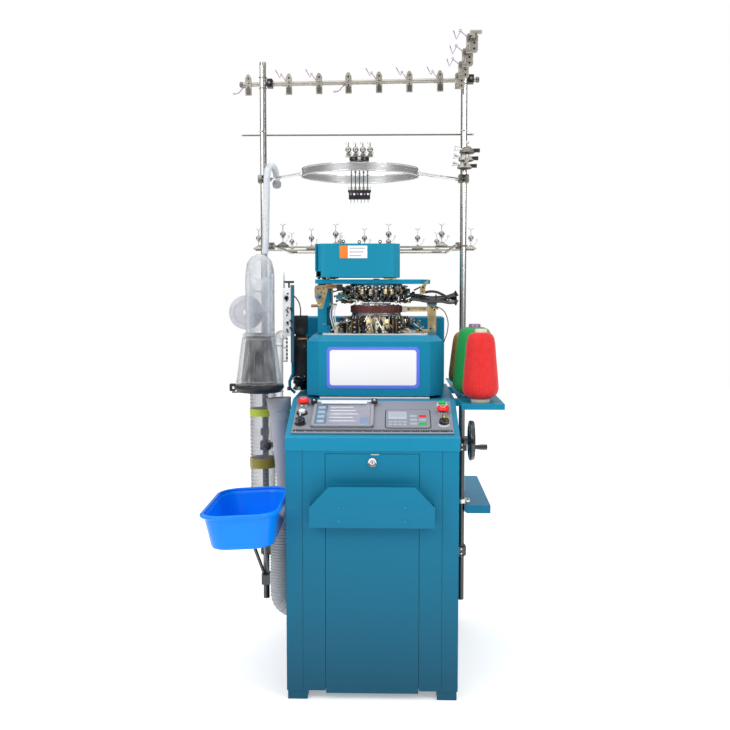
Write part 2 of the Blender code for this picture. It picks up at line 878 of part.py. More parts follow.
# ---------------------------------------------------------------- knitting head
def make_needle_cylinder():
    """The grooved cylinder: its outline has one slot for each needle, and a flange at the foot."""
    outline = []
    pitch = 2 * math.pi / CYLINDER_NEEDLES
    slot = NEEDLE_SLOT / CYLINDER_RADIUS / 2
    for i in range(CYLINDER_NEEDLES):
        middle = i * pitch
        for angle, radius in (
            (middle - slot, CYLINDER_RADIUS),
            (middle - slot, CYLINDER_RADIUS - NEEDLE_SLOT_DEPTH),
            (middle + slot, CYLINDER_RADIUS - NEEDLE_SLOT_DEPTH),
            (middle + slot, CYLINDER_RADIUS),
        ):
            outline.append((radius * math.cos(angle), radius * math.sin(angle)))
    foot = BED_TOP + GAP + BED_PLATE + GAP
    height = CYLINDER_TOP - foot
    body = plate(
        "needle_cylinder",
        outline,
        height,
        (*AXIS, foot + height / 2),
        "Z",
        STEEL,
        holes=[circle((0, 0), CYLINDER_BORE, 24)],
    )
    profile = tube_ring(0.052, CYLINDER_BORE + 0.002, 0.0, 0.008)
    flange = turned("flange", (*AXIS, foot), profile, closed=True)
    fuse(body, [flange])


def make_cam_ring():
    """The ring round the cylinder's foot that carries the cam blocks and the selector units."""
    foot = BED_TOP + GAP + BED_PLATE + GAP
    inner = 0.056
    ring = turned(
        "cam_ring",
        (*AXIS, 0),
        tube_ring(CAM_RING_RADIUS, inner, foot, foot + 0.010),
        GOLD,
        20,
        closed=True,
    )
    pieces = []
    for i in range(CAM_BLOCKS):
        angle = 2 * math.pi * (i + 0.25) / CAM_BLOCKS
        spin = frame_at("cam_spot", (*AXIS, foot), (0, 0, angle), MACHINE)
        pieces.append(
            box("cam_block", (0.057, -0.016, 0.004), (0.076, 0.016, CAM_RING_TOP - foot), parent=spin)
        )
        pieces.append(
            box("cam_foot", (0.070, -0.011, 0.0), (0.096, 0.011, 0.012), parent=spin)
        )
    fuse(ring, pieces)


def make_selectors():
    """Electromagnetic needle selectors: blocks with thin levers, which stand on one ring on the bed plate."""
    foot = BED_TOP + GAP + BED_PLATE + GAP
    ring = turned(
        "selector_units", (*AXIS, 0), tube_ring(0.128, 0.0985, foot, foot + 0.006), BLACK, 20, closed=True,
    )
    pieces = []
    for angle in SELECTOR_ANGLES:
        spin = frame_at("selector_spot", (*AXIS, foot), (0, 0, math.radians(angle)), MACHINE)
        pieces.append(box("selector", (0.1005, -0.017, 0.002), (0.126, 0.017, 0.050), parent=spin))
        pieces += [
            box(
                "lever",
                (0.093, -0.013, 0.0145 + 0.0180 * k),
                (0.104, 0.013, 0.0230 + 0.0180 * k),
                parent=spin,
            )
            for k in range(2)
        ]
    fuse(ring, pieces)


def make_rings():
    top = SINKER_Z + SINKER_HEIGHT
    turned(
        "sinker_ring",
        (*AXIS, 0),
        [
            (SINKER_RADIUS - 0.006, top),
            (SINKER_RADIUS, top - 0.004),
            (SINKER_RADIUS, SINKER_Z),
            (CYLINDER_RADIUS + RING_CLEARANCE, SINKER_Z),
            (CYLINDER_RADIUS + RING_CLEARANCE, top),
        ],
        CHROME,
        20,
        closed=True,
    )
    outline = []
    for i in range(GEAR_TEETH):
        middle = 2 * math.pi * i / GEAR_TEETH
        half = math.pi / GEAR_TEETH
        for share, radius in ((-0.5, GEAR_RADIUS - 0.003), (-0.2, GEAR_RADIUS), (0.2, GEAR_RADIUS)):
            angle = middle + 2 * half * share
            outline.append((radius * math.cos(angle), radius * math.sin(angle)))
    plate(
        "gear_ring",
        outline,
        GEAR_HEIGHT,
        (*AXIS, GEAR_Z + GEAR_HEIGHT / 2),
        "Z",
        BROWN,
        holes=[circle((0, 0), 0.052, 24)],
    )


def make_dial():
    """The dial over the cylinder, on the shaft that comes down through the upper plate."""
    z = DIAL_Z
    turned(
        "dial",
        (*AXIS, 0),
        [
            (0, UPPER_PLATE_Z[1] + 0.004),
            (DIAL_SHAFT_RADIUS, UPPER_PLATE_Z[1] + 0.004),
            (DIAL_SHAFT_RADIUS, z + 0.016),
            (0.024, z + 0.014),
            (0.026, z + DIAL_THICKNESS),
            (DIAL_RADIUS, z + DIAL_THICKNESS - 0.003),
            (DIAL_RADIUS, z),
            (0, z),
        ],
        STEEL,
        18,
    )


def make_head_frame():
    pillar = box(
        "head_pillar",
        (PILLAR_X[0], PILLAR_Y[0], BED_TOP + GAP),
        (PILLAR_X[1], PILLAR_Y[1], UPPER_PLATE_Z[0] - GAP),
        TEAL,
        bevel=0.003,
    )
    cut(
        pillar,
        box(
            "pillar_window",
            (PILLAR_X[1] - 0.014, PILLAR_Y[0] - 0.01, BED_TOP + 0.030),
            (PILLAR_X[1] + 0.01, PILLAR_Y[0] + 0.030, BED_TOP + 0.090),
        ),
    )
    outline = [
        (UPPER_PLATE_X[0], UPPER_PLATE_Y[0]),
        (UPPER_PLATE_X[1], UPPER_PLATE_Y[0]),
        (UPPER_PLATE_TIP, UPPER_PLATE_Y[0] + 0.060),
        (UPPER_PLATE_TIP, UPPER_PLATE_Y[1] - 0.060),
        (UPPER_PLATE_X[1], UPPER_PLATE_Y[1]),
        (UPPER_PLATE_X[0], UPPER_PLATE_Y[1]),
    ]
    head = plate(
        "upper_plate",
        outline,
        UPPER_PLATE_Z[1] - UPPER_PLATE_Z[0],
        (0, 0, sum(UPPER_PLATE_Z) / 2),
        "Z",
        TEAL,
        holes=[circle(AXIS, DIAL_SHAFT_RADIUS + 0.0008, 24)],
    )
    spacers = [
        rod("spacer", (x, y, COVER_Z[0] - GAP - 0.005), 0.006, 0.010, sides=12)
        for x in (COVER_X[0] + 0.030, COVER_X[1] - 0.030)
        for y in (COVER_Y[0] + 0.040, COVER_Y[1] - 0.030)
    ]
    fuse(head, spacers)


def make_top_cover():
    height = COVER_Z[1] - COVER_Z[0]
    low = (COVER_X[0], COVER_Y[0])
    high = (COVER_X[1], COVER_Y[1])
    cover = plate(
        "top_cover",
        rounded(low, high, COVER_CORNER, 4),
        height,
        (0, 0, sum(COVER_Z) / 2),
        "Z",
        TEAL,
    )
    wall = COVER_SHEET
    inside = plate(
        "cover_room",
        rounded((low[0] + wall, low[1] + wall), (high[0] - wall, high[1] - wall), COVER_CORNER - wall, 4),
        height,
        (0, 0, sum(COVER_Z) / 2 - wall),
        "Z",
    )
    notch = box(
        "cover_notch",
        (COVER_X[0] - 0.01, COVER_Y[0] - 0.01, COVER_Z[0] - 0.01),
        (COVER_X[0] + 0.020, COVER_Y[0] + 0.060, COVER_Z[0] + 0.019),
    )
    cut(cover, inside, notch)
    flanges = [
        box(
            "cover_flange",
            (x - 0.012, y - 0.012, COVER_Z[0]),
            (x + 0.012, y + 0.012, COVER_Z[0] + 0.003),
        )
        for x in (COVER_X[0] + 0.030, COVER_X[1] - 0.030)
        for y in (COVER_Y[0] + 0.040, COVER_Y[1] - 0.030)
    ]
    webs = [
        box("cover_web", (x0, y - 0.012, COVER_Z[0]), (x1, y + 0.012, COVER_Z[0] + 0.003))
        for x0, x1 in ((COVER_X[0] + 0.001, COVER_X[0] + 0.030), (COVER_X[1] - 0.030, COVER_X[1] - 0.001))
        for y in (COVER_Y[0] + 0.040 + 0.030, COVER_Y[1] - 0.030)
    ]
    bridge = [
        box(
            "cover_bridge",
            (x - 0.012, COVER_Y[0] + 0.040, COVER_Z[0]),
            (x + 0.012, COVER_Y[0] + 0.075, COVER_Z[0] + 0.003),
        )
        for x in (COVER_X[0] + 0.030, COVER_X[1] - 0.030)
    ]
    fuse(cover, flanges + webs + bridge)


def make_yarn_fingers():
    """The carrier under the upper plate, and the yarn fingers that swing down to the needles."""
    top = UPPER_PLATE_Z[0] - GAP
    carrier = turned(
        "finger_carrier",
        (*AXIS, 0),
        tube_ring(0.088, 0.060, top - 0.012, top),
        STEEL,
        24,
        closed=True,
    )
    posts = []
    for i in range(FINGERS):
        angle = math.radians(FINGER_FIRST + FINGER_STEP * i)
        spin = frame_at("finger_spot", (*AXIS, 0), (0, 0, angle), MACHINE)
        posts += [
            box("finger_block", (0.066, -0.010, top - 0.032), (0.090, -0.004, top - 0.010), parent=spin),
            box("finger_block", (0.066, 0.004, top - 0.032), (0.090, 0.010, top - 0.010), parent=spin),
        ]
    fuse(carrier, posts)
    for i in range(FINGERS):
        angle = math.radians(FINGER_FIRST + FINGER_STEP * i)
        pivot = (
            AXIS[0] + 0.078 * math.cos(angle),
            AXIS[1] + 0.078 * math.sin(angle),
            top - 0.024,
        )
        spin = frame_at(f"finger_axle_{i + 1}", pivot, (0, 0, angle), MACHINE)
        outline = [
            (0.034, 0.004), (0.034, 0.010), (0.004, 0.0075), (-0.004, 0.004), (-0.016, -0.022),
            (-0.022, -0.034), (-0.019, -0.035), (-0.010, -0.022), (0.000, -0.006), (0.008, -0.001),
        ]
        finger = plate(f"yarn_finger_{i + 1}", outline, 0.005, (0, 0, 0), "Y", CHROME, spin)
        finger.location = (0, 0, 0)


def make_brackets():
    foot = BED_TOP + GAP + BED_PLATE + GAP
    y0, y1 = 0.405, 0.435
    right = box("right_bracket", (0.178, y0, foot), (0.207, y1, 1.196), GOLD)
    arm = box("arm", (0.098, y0 + 0.008, 1.173), (0.180, y1 - 0.008, 1.189))
    heel = box("heel", (0.140, y0 - 0.006, foot), (0.180, y1 + 0.006, foot + 0.012))
    cap = box("cap", (0.174, y0 - 0.004, 1.195), (0.213, y1 + 0.004, 1.204))
    web = box("web", (0.160, y0 + 0.010, foot + 0.011), (0.180, y1 - 0.010, foot + 0.030))
    clamp = box("clamp", (0.128, y0 + 0.003, 1.169), (0.142, y1 - 0.003, 1.194))
    fuse(right, [arm, heel, cap, web, clamp])
    top = UPPER_PLATE_Z[0] - GAP
    outline = [
        (-0.198, top - 0.001), (-0.160, top - 0.001), (-0.152, top - 0.028), (-0.156, top - 0.058),
        (-0.160, top - 0.076), (-0.168, top - 0.082), (-0.178, top - 0.074), (-0.196, top - 0.046),
    ]
    hole = circle((-0.186, top - 0.012), 0.003, 8)
    left = plate("left_bracket", outline, 0.006, (0, 0.353, 0), "Y", GOLD, holes=[hole])
    lug = box("lug", (-0.194, 0.351, top - 0.014), (-0.112, 0.392, top))
    knob = rod("knob", (-0.183, 0.346, top - 0.043), 0.009, 0.016, "Y", sides=12)
    spindle = rod("spindle", (-0.168, 0.346, top - 0.066), 0.006, 0.014, "Y", sides=12)
    fuse(left, [lug, knob, spindle])


def make_air_tubes():
    """The bundle of black tubes that leaves the head to the right, with its splayed ends."""
    trunk = wire(
        "air_tubes",
        [(0.100, 0.395, 1.222), (0.135, 0.392, 1.222), (0.180, 0.388, 1.219), (0.225, 0.385, 1.217)],
        0.0105,
        BLACK,
        sides=2,
    )
    tails = []
    for i, (dy, dz) in enumerate(
        ((0.0, 0.016), (0.014, 0.006), (0.008, -0.012), (-0.010, -0.012), (-0.014, 0.006))
    ):
        tails.append(
            wire(
                "tail",
                [(0.200, 0.386, 1.218), (0.268, 0.384 + dy, 1.216 + dz)],
                0.0058,
            )
        )
    upper = wire(
        "upper_tube",
        [
            (0.110, 0.396, 1.226),
            (0.140, 0.393, 1.240),
            (0.175, 0.390, 1.242),
            (0.210, 0.387, 1.236),
            (0.240, 0.385, 1.222),
        ],
        0.0055,
    )
    cradle = box("cradle", (0.100, 0.385, 1.222), (0.124, 0.405, UPPER_PLATE_Z[0] - GAP))
    fuse(trunk, tails + [upper, cradle])


# ---------------------------------------------------------------- drive
def make_handwheel():
    """A dished wheel: rim, three spokes and hub on a shaft into the console's side."""
    side = CABINET_WIDTH / 2 + CONSOLE_OVERHANG
    rim = [
        (WHEEL_RADIUS - 0.003, 0.0070), (WHEEL_RADIUS, 0.0), (WHEEL_RADIUS - 0.003, -0.0070),
        (WHEEL_RADIUS - 0.011, -0.0070), (WHEEL_RADIUS - 0.014, 0.0), (WHEEL_RADIUS - 0.011, 0.0070),
    ]
    wheel = turned("handwheel", (WHEEL_X + 0.006, WHEEL_Y, WHEEL_Z), rim, BLACK, 16, "X", closed=True)
    hub_frame = frame_at("wheel_frame", (WHEEL_X, WHEEL_Y, WHEEL_Z), (0, 0, 0), MACHINE)
    pieces = [
        rod("hub", (-0.004, 0, 0), 0.014, 0.028, "X", parent=hub_frame),
        rod(
            "shaft",
            ((side - 0.014 - WHEEL_X) / 2, 0, 0),
            0.0085,
            WHEEL_X - side + 0.014,
            "X",
            parent=hub_frame,
        ),
    ]
    for k in range(3):
        spin = frame_at("spoke_spot", (0, 0, 0), (math.radians(90 + 120 * k), 0, 0), hub_frame)
        reach = [(0.0, 0.0, 0.008), (0.002, 0.0, 0.030), (0.006, 0.0, WHEEL_RADIUS - 0.008)]
        pieces.append(wire("spoke", reach, 0.0055, parent=spin))
    angle = math.radians(198)
    spot = (0.004, GRIP_REACH * math.cos(angle), GRIP_REACH * math.sin(angle))
    pieces.append(rod("grip_boss", (0.006, spot[1], spot[2]), 0.008, 0.014, "X", parent=hub_frame))
    pin = 0.040
    pin_spot = (spot[0] + pin / 2, spot[1], spot[2])
    pieces.append(rod("grip_pin", pin_spot, 0.0035, pin, "X", sides=8, parent=hub_frame))
    fuse(wheel, pieces)
    grip = [
        (0.0070, 0.019), (0.0088, 0.017), (0.0085, 0.000), (
            0.0065, -0.017,
        ), (0.0042, -0.017), (0.0042, 0.019),
    ]
    turned(
        "handle_grip",
        (WHEEL_X + 0.0135 + 0.0175, WHEEL_Y + spot[1], WHEEL_Z + spot[2]),
        grip,
        BLACK,
        16,
        "X",
        closed=True,
    )


def make_motor():
    x0, x1 = MOTOR_X
    y0, y1 = MOTOR_Y
    middle = ((x0 + x1) / 2, (y0 + y1) / 2)
    motor = box("drive_motor", (x0, y0, MOTOR_Z[0]), (x1, y1, 1.086), BLACK, bevel=0.003)
    fins = [
        box("fin", (x0 - 0.002, y - 0.002, MOTOR_Z[0] + 0.02), (x0 + 0.004, y + 0.002, 1.070))
        for y in (y0 + 0.006, y0 + 0.025, middle[1], y1 - 0.025, y1 - 0.006)
    ]
    foot_x = BED_CENTRE - BED_HALF - GAP
    foot_z = MOTOR_Z[0]
    pieces = [
        box("fan_box", (x0 + 0.004, y0 + 0.008, 1.094), (x1 - 0.002, y1 - 0.008, MOTOR_Z[1])),
        box("neck", (x0 + 0.010, y0 + 0.014, 1.080), (x1 - 0.008, y1 - 0.014, 1.100)),
        box("foot", (x0 + 0.004, y0 + 0.004, foot_z - 0.004), (foot_x, y1 - 0.004, foot_z + 0.010)),
    ]
    fuse(motor, pieces + fins)
    pulley_z = MOTOR_Z[0] - 0.006
    turned(
        "motor_pulley",
        (*middle, 0),
        [
            (0, pulley_z), (0.022, pulley_z), (0.027, pulley_z - 0.004), (0.027, pulley_z - 0.008),
            (0.021, pulley_z - 0.012), (0.021, pulley_z - 0.022), (0.027, pulley_z - 0.026),
            (0.027, pulley_z - 0.030), (0, pulley_z - 0.030),
        ],
        BLACK,
        14,
    )


def make_valve_unit():
    """The oiler with its sight glass, valve block and levers, on the bent bracket beside the console."""
    block = box("valve_unit", (-0.309, 0.398, 1.090), (-0.281, 0.424, 1.252), WHITE, bevel=0.002)
    rear = box("back_plate", (-0.283, 0.402, 1.000), (-0.272, 0.430, 1.262))
    tee = wire("tee", [(-0.302, 0.412, 1.272), (-0.272, 0.412, 1.272)], 0.0035, sides=0)
    stem = rod("stem", (-0.289, 0.412, 1.262), 0.004, 0.026, sides=6)
    sight = rod("sight_glass", (-0.304, 0.411, 1.050), 0.009, 0.090, sides=8)
    knob = rod("valve_knob", (-0.296, 0.392, 1.218), 0.0075, 0.018, "Y", sides=8)
    lever_a = wire(
        "lever", [(-0.298, 0.394, 1.186), (-0.292, 0.392, 1.206), (-0.284, 0.392, 1.222)], 0.0035, sides=0,
    )
    lever_b = wire(
        "lever", [(-0.298, 0.397, 1.120), (-0.288, 0.396, 1.150), (-0.283, 0.396, 1.168)], 0.0035, sides=0,
    )
    bracket = plate(
        "side_bracket",
        [
            (
                -0.303, 1.004,
            ), (-0.280, 1.030), (-0.272, 1.030), (-0.272, 0.950), (-0.264, 0.935), (-0.262, 0.899),
            (-0.240, 0.899), (-0.240, CONSOLE_REAR_TOP + GAP), (-0.272, CONSOLE_REAR_TOP + GAP),
            (-0.276, 0.930), (-0.284, 0.945), (-0.303, 0.985),
        ],
        0.014,
        (0, 0.415, 0),
        "Y",
    )
    lead = wire(
        "left_lead",
        [
            (-0.276, 0.413, 1.271), (-0.266, 0.420, 1.254), (-0.2585, 0.433, 1.218), (-0.257, 0.452, 1.1595),
        ],
        0.0022,
        sides=0,
    )
    fuse(block, [rear, tee, stem, sight, knob, lever_a, lever_b, bracket, lead])


# ---------------------------------------------------------------- yarn creel
def post_clamp(name, x, z, height=0.030):
    return box(name, (x - 0.017, POST_Y - 0.017, z - height / 2), (x + 0.017, POST_Y + 0.017, z + height / 2))


def make_posts(basin_frame):
    left_length = LEFT_POST_TOP - POST_BOTTOM
    left_spot = (LEFT_POST_X, POST_Y, POST_BOTTOM + left_length / 2)
    left = rod("left_post", left_spot, POST_RADIUS, left_length, "Z", STEEL, 12)
    side = -CABINET_WIDTH / 2 - GAP
    stays = []
    for z in (0.330, 0.700):
        stays.append(post_clamp("clamp", LEFT_POST_X, z))
        near = (LEFT_POST_X + 0.010, POST_Y - 0.006, z - 0.010)
        stays.append(box("stay", near, (side, POST_Y + 0.006, z + 0.010)))
    stay_y = TAKE_OFF_Y + TAKE_OFF_RADIUS + 0.002 + GAP
    stays.append(box("tube_stay", (LEFT_POST_X - 0.014, stay_y, 0.738), (LEFT_POST_X + 0.014, POST_Y, 0.762)))
    fuse(left, stays + basin_bracket(basin_frame))
    right_length = RIGHT_POST_TOP - POST_BOTTOM
    right_spot = (RIGHT_POST_X, POST_Y, POST_BOTTOM + right_length / 2)
    right = rod("right_post", right_spot, POST_RADIUS, right_length, "Z", STEEL, 12)
    side = CABINET_WIDTH / 2 + GAP
    stays = []
    for z in (0.330, 0.700):
        stays.append(post_clamp("clamp", RIGHT_POST_X, z))
        far = (RIGHT_POST_X - 0.010, POST_Y + 0.006, z + 0.010)
        stays.append(box("stay", (side, POST_Y - 0.006, z - 0.010), far))
    fuse(right, stays)


def detector(name, x, y, z, parent=None):
    """A stop-motion detector: a plate with a pointed top."""
    outline = [
        (x - 0.010, z - 0.038), (x + 0.010, z - 0.038), (x + 0.010, z + 0.022), (x + 0.004, z + 0.032),
        (x - 0.004, z + 0.032), (x - 0.010, z + 0.022),
    ]
    return plate(name, outline, 0.006, (0, y, 0), "Y", parent=parent)


def drop_wire(x, y, z, dropped, parent=None):
    """The wire arm with its pigtail eye, up while its yarn runs and down when the yarn breaks."""
    if dropped:
        points = [
            (x - 0.008, y, z - 0.010), (x - 0.022, y - 0.003, z - 0.024), (x - 0.046, y - 0.006, z - 0.036),
        ]
    else:
        points = [
            (x - 0.008, y, z + 0.004), (x - 0.026, y - 0.003, z + 0.030), (x - 0.032, y - 0.004, z + 0.020),
            (x - 0.046, y - 0.004, z + 0.046),
        ]
    return wire("drop_wire", points, 0.0012, parent=parent, sides=0)


def make_crossbar():
    middle = (LEFT_POST_X + RIGHT_POST_X) / 2
    bar_y = POST_Y + POST_RADIUS + CROSSBAR_RADIUS + 0.002
    tilt = frame_at("crossbar_frame", (middle, bar_y, CROSSBAR_Z), (0, -CROSSBAR_TILT, 0), MACHINE)
    x0 = CROSSBAR_X[0] - middle
    x1 = CROSSBAR_X[1] - middle
    bar = rod("crossbar", ((x0 + x1) / 2, 0, 0), CROSSBAR_RADIUS, x1 - x0, "X", CREAM_STEEL, 8, tilt)
    pieces = []
    for x in (x0, x1):
        pieces.append(rod("end_cap", (x, 0, 0), CROSSBAR_RADIUS + 0.0025, 0.010, "X", sides=8, parent=tilt))
    detector_y = -CROSSBAR_RADIUS - 0.0005
    for i, x in enumerate(DETECTOR_X):
        x -= middle
        pieces.append(detector("detector", x, detector_y, 0.0, tilt))
        pieces.append(drop_wire(x, detector_y - 0.001, 0.0, i in DROPPED, tilt))
    for x in (LEFT_POST_X + POST_RADIUS + 0.012, RIGHT_POST_X + POST_RADIUS + 0.012):
        x -= middle
        pieces.append(box("bar_clamp", (x - 0.010, -0.028, -0.014), (x + 0.010, 0.010, 0.014), parent=tilt))
    fuse(bar, pieces)


def make_side_arm():
    x0 = RIGHT_POST_X - POST_RADIUS - GAP - 0.014
    z = SIDE_ARM_Z
    arm = box(
        "side_arm", (x0, SIDE_ARM_FRONT, z - 0.002), (x0 + 0.014, POST_Y + 0.006, z + 0.012), CREAM_STEEL,
    )
    pieces = []
    for i, y in enumerate((-0.045, 0.130, 0.300, 0.470)):
        pieces.append(
            box("side_detector", (x0 - 0.016, y - 0.004, z - 0.040), (x0 + 0.016, y + 0.004, z + 0.012))
        )
        pieces.append(
            box("side_switch", (x0 - 0.012, y - 0.014, z - 0.004), (x0 + 0.012, y + 0.002, z + 0.010))
        )
        if i < 3:
            pieces.append(
                wire(
                    "side_drop_wire",
                    [
                        (
                            x0 - 0.010, y - 0.008, z - 0.002,
                        ), (x0 - 0.034, y - 0.014, z + 0.016), (x0 - 0.046, y - 0.014, z - 0.006),
                        (x0 - 0.054, y - 0.014, z + 0.018),
                    ],
                    0.0011,
                    sides=0,
                )
            )
    pieces.append(
        box("front_stop", (x0, SIDE_ARM_FRONT, z + 0.010), (x0 + 0.034, SIDE_ARM_FRONT + 0.012, z + 0.020))
    )
    fuse(arm, pieces)


def make_guide_rod():
    length = GUIDE_ROD_X[1] - GUIDE_ROD_X[0]
    y = POST_Y + POST_RADIUS + 0.0032
    bar = rod("guide_rod", (sum(GUIDE_ROD_X) / 2, y, GUIDE_ROD_Z), 0.0028, length, "X", STEEL, 8)
    loops = [
        box("rod_clip", (x - 0.004, y - 0.002, GUIDE_ROD_Z), (x + 0.004, y + 0.003, GUIDE_ROD_Z + 0.020))
        for x in (LEFT_POST_X, RIGHT_POST_X)
    ]
    fuse(bar, loops)


def make_guide_ring():
    cx, cy = GUIDE_RING_CENTRE
    z0, z1 = GUIDE_RING_Z
    wall = GUIDE_RING_WALL
    ring = turned(
        "guide_ring",
        (cx, cy, 0),
        [
            (GUIDE_RING_RADIUS, z1), (GUIDE_RING_RADIUS, z0), (GUIDE_RING_RADIUS - wall, z0),
            (GUIDE_RING_RADIUS - wall, z1),
        ],
        STEEL,
        24,
        closed=True,
    )
    pieces = []
    for side, post_x in ((-1, LEFT_POST_X), (1, RIGHT_POST_X)):
        end_x = cx + side * (GUIDE_RING_RADIUS - 0.002)
        points = [
            (end_x, cy, GUIDE_ARM_Z),
            (end_x + side * 0.012, cy + 0.004, GUIDE_ARM_Z),
            (post_x - side * 0.022, POST_Y, GUIDE_ARM_Z - 0.010),
        ]
        pieces.append(wire("ring_arm", points, 0.0055))
        clamp = cut(
            box(
                "ring_clamp",
                (post_x - 0.018, POST_Y - 0.018, GUIDE_ARM_Z - 0.024),
                (post_x + 0.018, POST_Y + 0.018, GUIDE_ARM_Z + 0.004),
            ),
            rod("clamp_bore", (post_x, POST_Y, GUIDE_ARM_Z - 0.010), POST_RADIUS + GAP, 0.08, sides=12),
        )
        pieces.append(clamp)
        link_x = post_x - side * 0.019
        pieces.append(rod("clamp_link", (link_x, POST_Y, GUIDE_ARM_Z - 0.010), 0.007, 0.014, "X", sides=8))
    fuse(ring, pieces)


def make_ring_tension():
    """Four ball tensioners over the ring's near side, and the yarn comb that hangs inside the ring."""
    cx = GUIDE_RING_CENTRE[0] + 0.004
    y = GUIDE_RING_CENTRE[1] - GUIDE_RING_RADIUS - 0.010
    base_z = GUIDE_RING_Z[1] + 0.012
    bar = box("ring_tension", (cx - 0.044, y - 0.005, base_z), (cx + 0.044, y + 0.005, base_z + 0.006), STEEL)
    pieces = []
    for k in range(4):
        x = cx - 0.0345 + 0.023 * k
        pieces.append(ball("tension_ball", (x, y, base_z + 0.024), TENSION_BALL, sides=6))
        pieces.append(rod("ball_stem", (x, y, base_z + 0.022), 0.0018, 0.040, sides=4))
    for x in (cx - 0.018, cx + 0.018):
        pieces.append(
            box(
                "clip",
                (x - 0.013, y - 0.006, GUIDE_RING_Z[1] + 0.001),
                (x + 0.013, y + 0.006, base_z + 0.002),
            ),
        )
    hanger_y = y + 0.024
    bridge_z = GUIDE_RING_Z[1] + 0.004
    pieces.append(
        box("bridge", (cx - 0.010, y - 0.002, bridge_z), (cx + 0.010, hanger_y + 0.004, bridge_z + 0.005))
    )
    comb_z = 1.562
    for k in range(3):
        x = cx - 0.026 + 0.026 * k
        middle = (comb_z + bridge_z) / 2
        pieces.append(rod("hanger", (x, hanger_y, middle), 0.0016, bridge_z - comb_z + 0.004, sides=4))
    pieces.append(
        box(
            "hanger_bar",
            (cx - 0.030, hanger_y - 0.003, bridge_z - 0.002),
            (cx + 0.030, hanger_y + 0.003, bridge_z + 0.004),
        ),
    )
    pieces.append(
        box(
            "comb",
            (cx - 0.037, hanger_y - 0.006, comb_z - 0.006),
            (cx + 0.037, hanger_y + 0.006, comb_z + 0.002),
        ),
    )
    pieces.append(
        box(
            "eyelet_box",
            (cx - 0.034, hanger_y - 0.010, comb_z - 0.028),
            (cx + 0.034, hanger_y + 0.008, comb_z - 0.004),
        ),
    )
    fuse(bar, pieces)


def tension_unit(x, y, z):
    """A disc tensioner: a truncated cone on the bar, and a steel ball on its stem."""
    stem = 0.0020
    ball_z = 0.045
    profile = [
        (0, 0.085), (stem, 0.085), (stem, ball_z + TENSION_BALL), (TENSION_BALL, ball_z),
        (stem, ball_z - TENSION_BALL), (stem, 0.018), (0.022, 0.003), (0, 0.003),
    ]
    return turned("tension_unit", (x, y, z), profile, steps=5)


def make_rear_creel():
    z = CREEL_Z
    half = CREEL_BAR / 2
    y0 = CREEL_ROWS[0][0]
    y2 = CREEL_ROWS[-1][0]
    left_x, right_x = CREEL_SIDE_X
    bar = box(
        "rear_creel",
        (left_x - half, POST_Y - 0.025, z - half),
        (left_x + half, y2 + 0.020, z + half),
        CREAM_STEEL,
    )
    pieces = [
        box("side_bar", (right_x - half, POST_Y - 0.025, z - half), (right_x + half, y2 + 0.020, z + half)),
    ]
    for y, first, last, count in CREEL_ROWS:
        low = min(first - 0.012, left_x - 0.001)
        high = max(last + 0.012, right_x + 0.001)
        pieces.append(box("row_bar", (low, y - half, z - half + 0.0005), (high, y + half, z + half - 0.0005)))
        for k in range(count):
            x = first + (last - first) * k / (count - 1)
            pieces.append(tension_unit(x, y, z))
    for side_x, post_x in ((left_x, LEFT_POST_X), (right_x, RIGHT_POST_X)):
        reach = POST_RADIUS + GAP
        near = post_x + (reach if side_x > post_x else -reach)
        low, high = sorted((side_x, near))
        pieces.append(box("creel_clamp", (low, POST_Y - 0.012, z - 0.012), (high, POST_Y + 0.012, z + 0.012)))
    fuse(bar, pieces)


def make_side_tension():
    """Three cone tensioners on an arm that comes forward from the right post."""
    x = RIGHT_POST_X
    z = 1.672
    y0 = 0.360
    arm = box(
        "side_tension",
        (x - 0.006, y0 - 0.020, z - 0.004),
        (x + 0.006, POST_Y - POST_RADIUS - GAP, z + 0.004),
        CREAM_STEEL,
    )
    pieces = []
    for k in range(3):
        y = y0 + 0.056 * k
        pieces += [
            rod("cone", (x, y, z + 0.012), 0.026, 0.020, sides=10, top=0.009),
            rod("stem", (x, y, z + 0.028), 0.003, 0.024, sides=4),
            rod("knob", (x + 0.026, y, z + 0.010), 0.006, 0.030, "X", sides=6),
        ]
    fuse(arm, pieces)


def make_cone_plate():
    x0, x1 = CONE_PLATE_X
    y0, y1 = CONE_PLATE_Y
    z = CONE_PLATE_Z
    top = box("cone_plate", (x0, y0, z - CONE_PLATE_SHEET), (x1, y1, z), TEAL)
    lip = [
        box("front_lip", (x0, y0, z - 0.018), (x1, y0 + CONE_PLATE_SHEET, z - 0.001)),
        box("right_lip", (x1 - CONE_PLATE_SHEET, y0, z - 0.018), (x1, y1, z - 0.001)),
        box(
            "bracket",
            (CABINET_WIDTH / 2 + CONSOLE_OVERHANG + GAP, 0.300, z - 0.024),
            (x0 + 0.060, 0.330, z - 0.001),
        ),
        box(
            "bracket",
            (CABINET_WIDTH / 2 + CONSOLE_OVERHANG + GAP, 0.700, z - 0.024),
            (x0 + 0.060, 0.730, z - 0.001),
        ),
    ]
    fuse(top, lip)
    cut(top, rod("post_hole", (RIGHT_POST_X, POST_Y, z), POST_RADIUS + GAP + 0.001, 0.08, sides=20))


def cone_profile(radius, height):
    """A yarn package: it bulges over its lower end, tapers upwards and rounds over at the top."""
    return [
        (0.010, height),
        (0.018, height),
        (0.019, height - 0.012),
        (radius * 0.80, height - 0.044),
        (radius, height * 0.20),
        (radius * 0.66, 0.020),
        (0.030, 0.000),
        (0.020, 0.000),
    ]


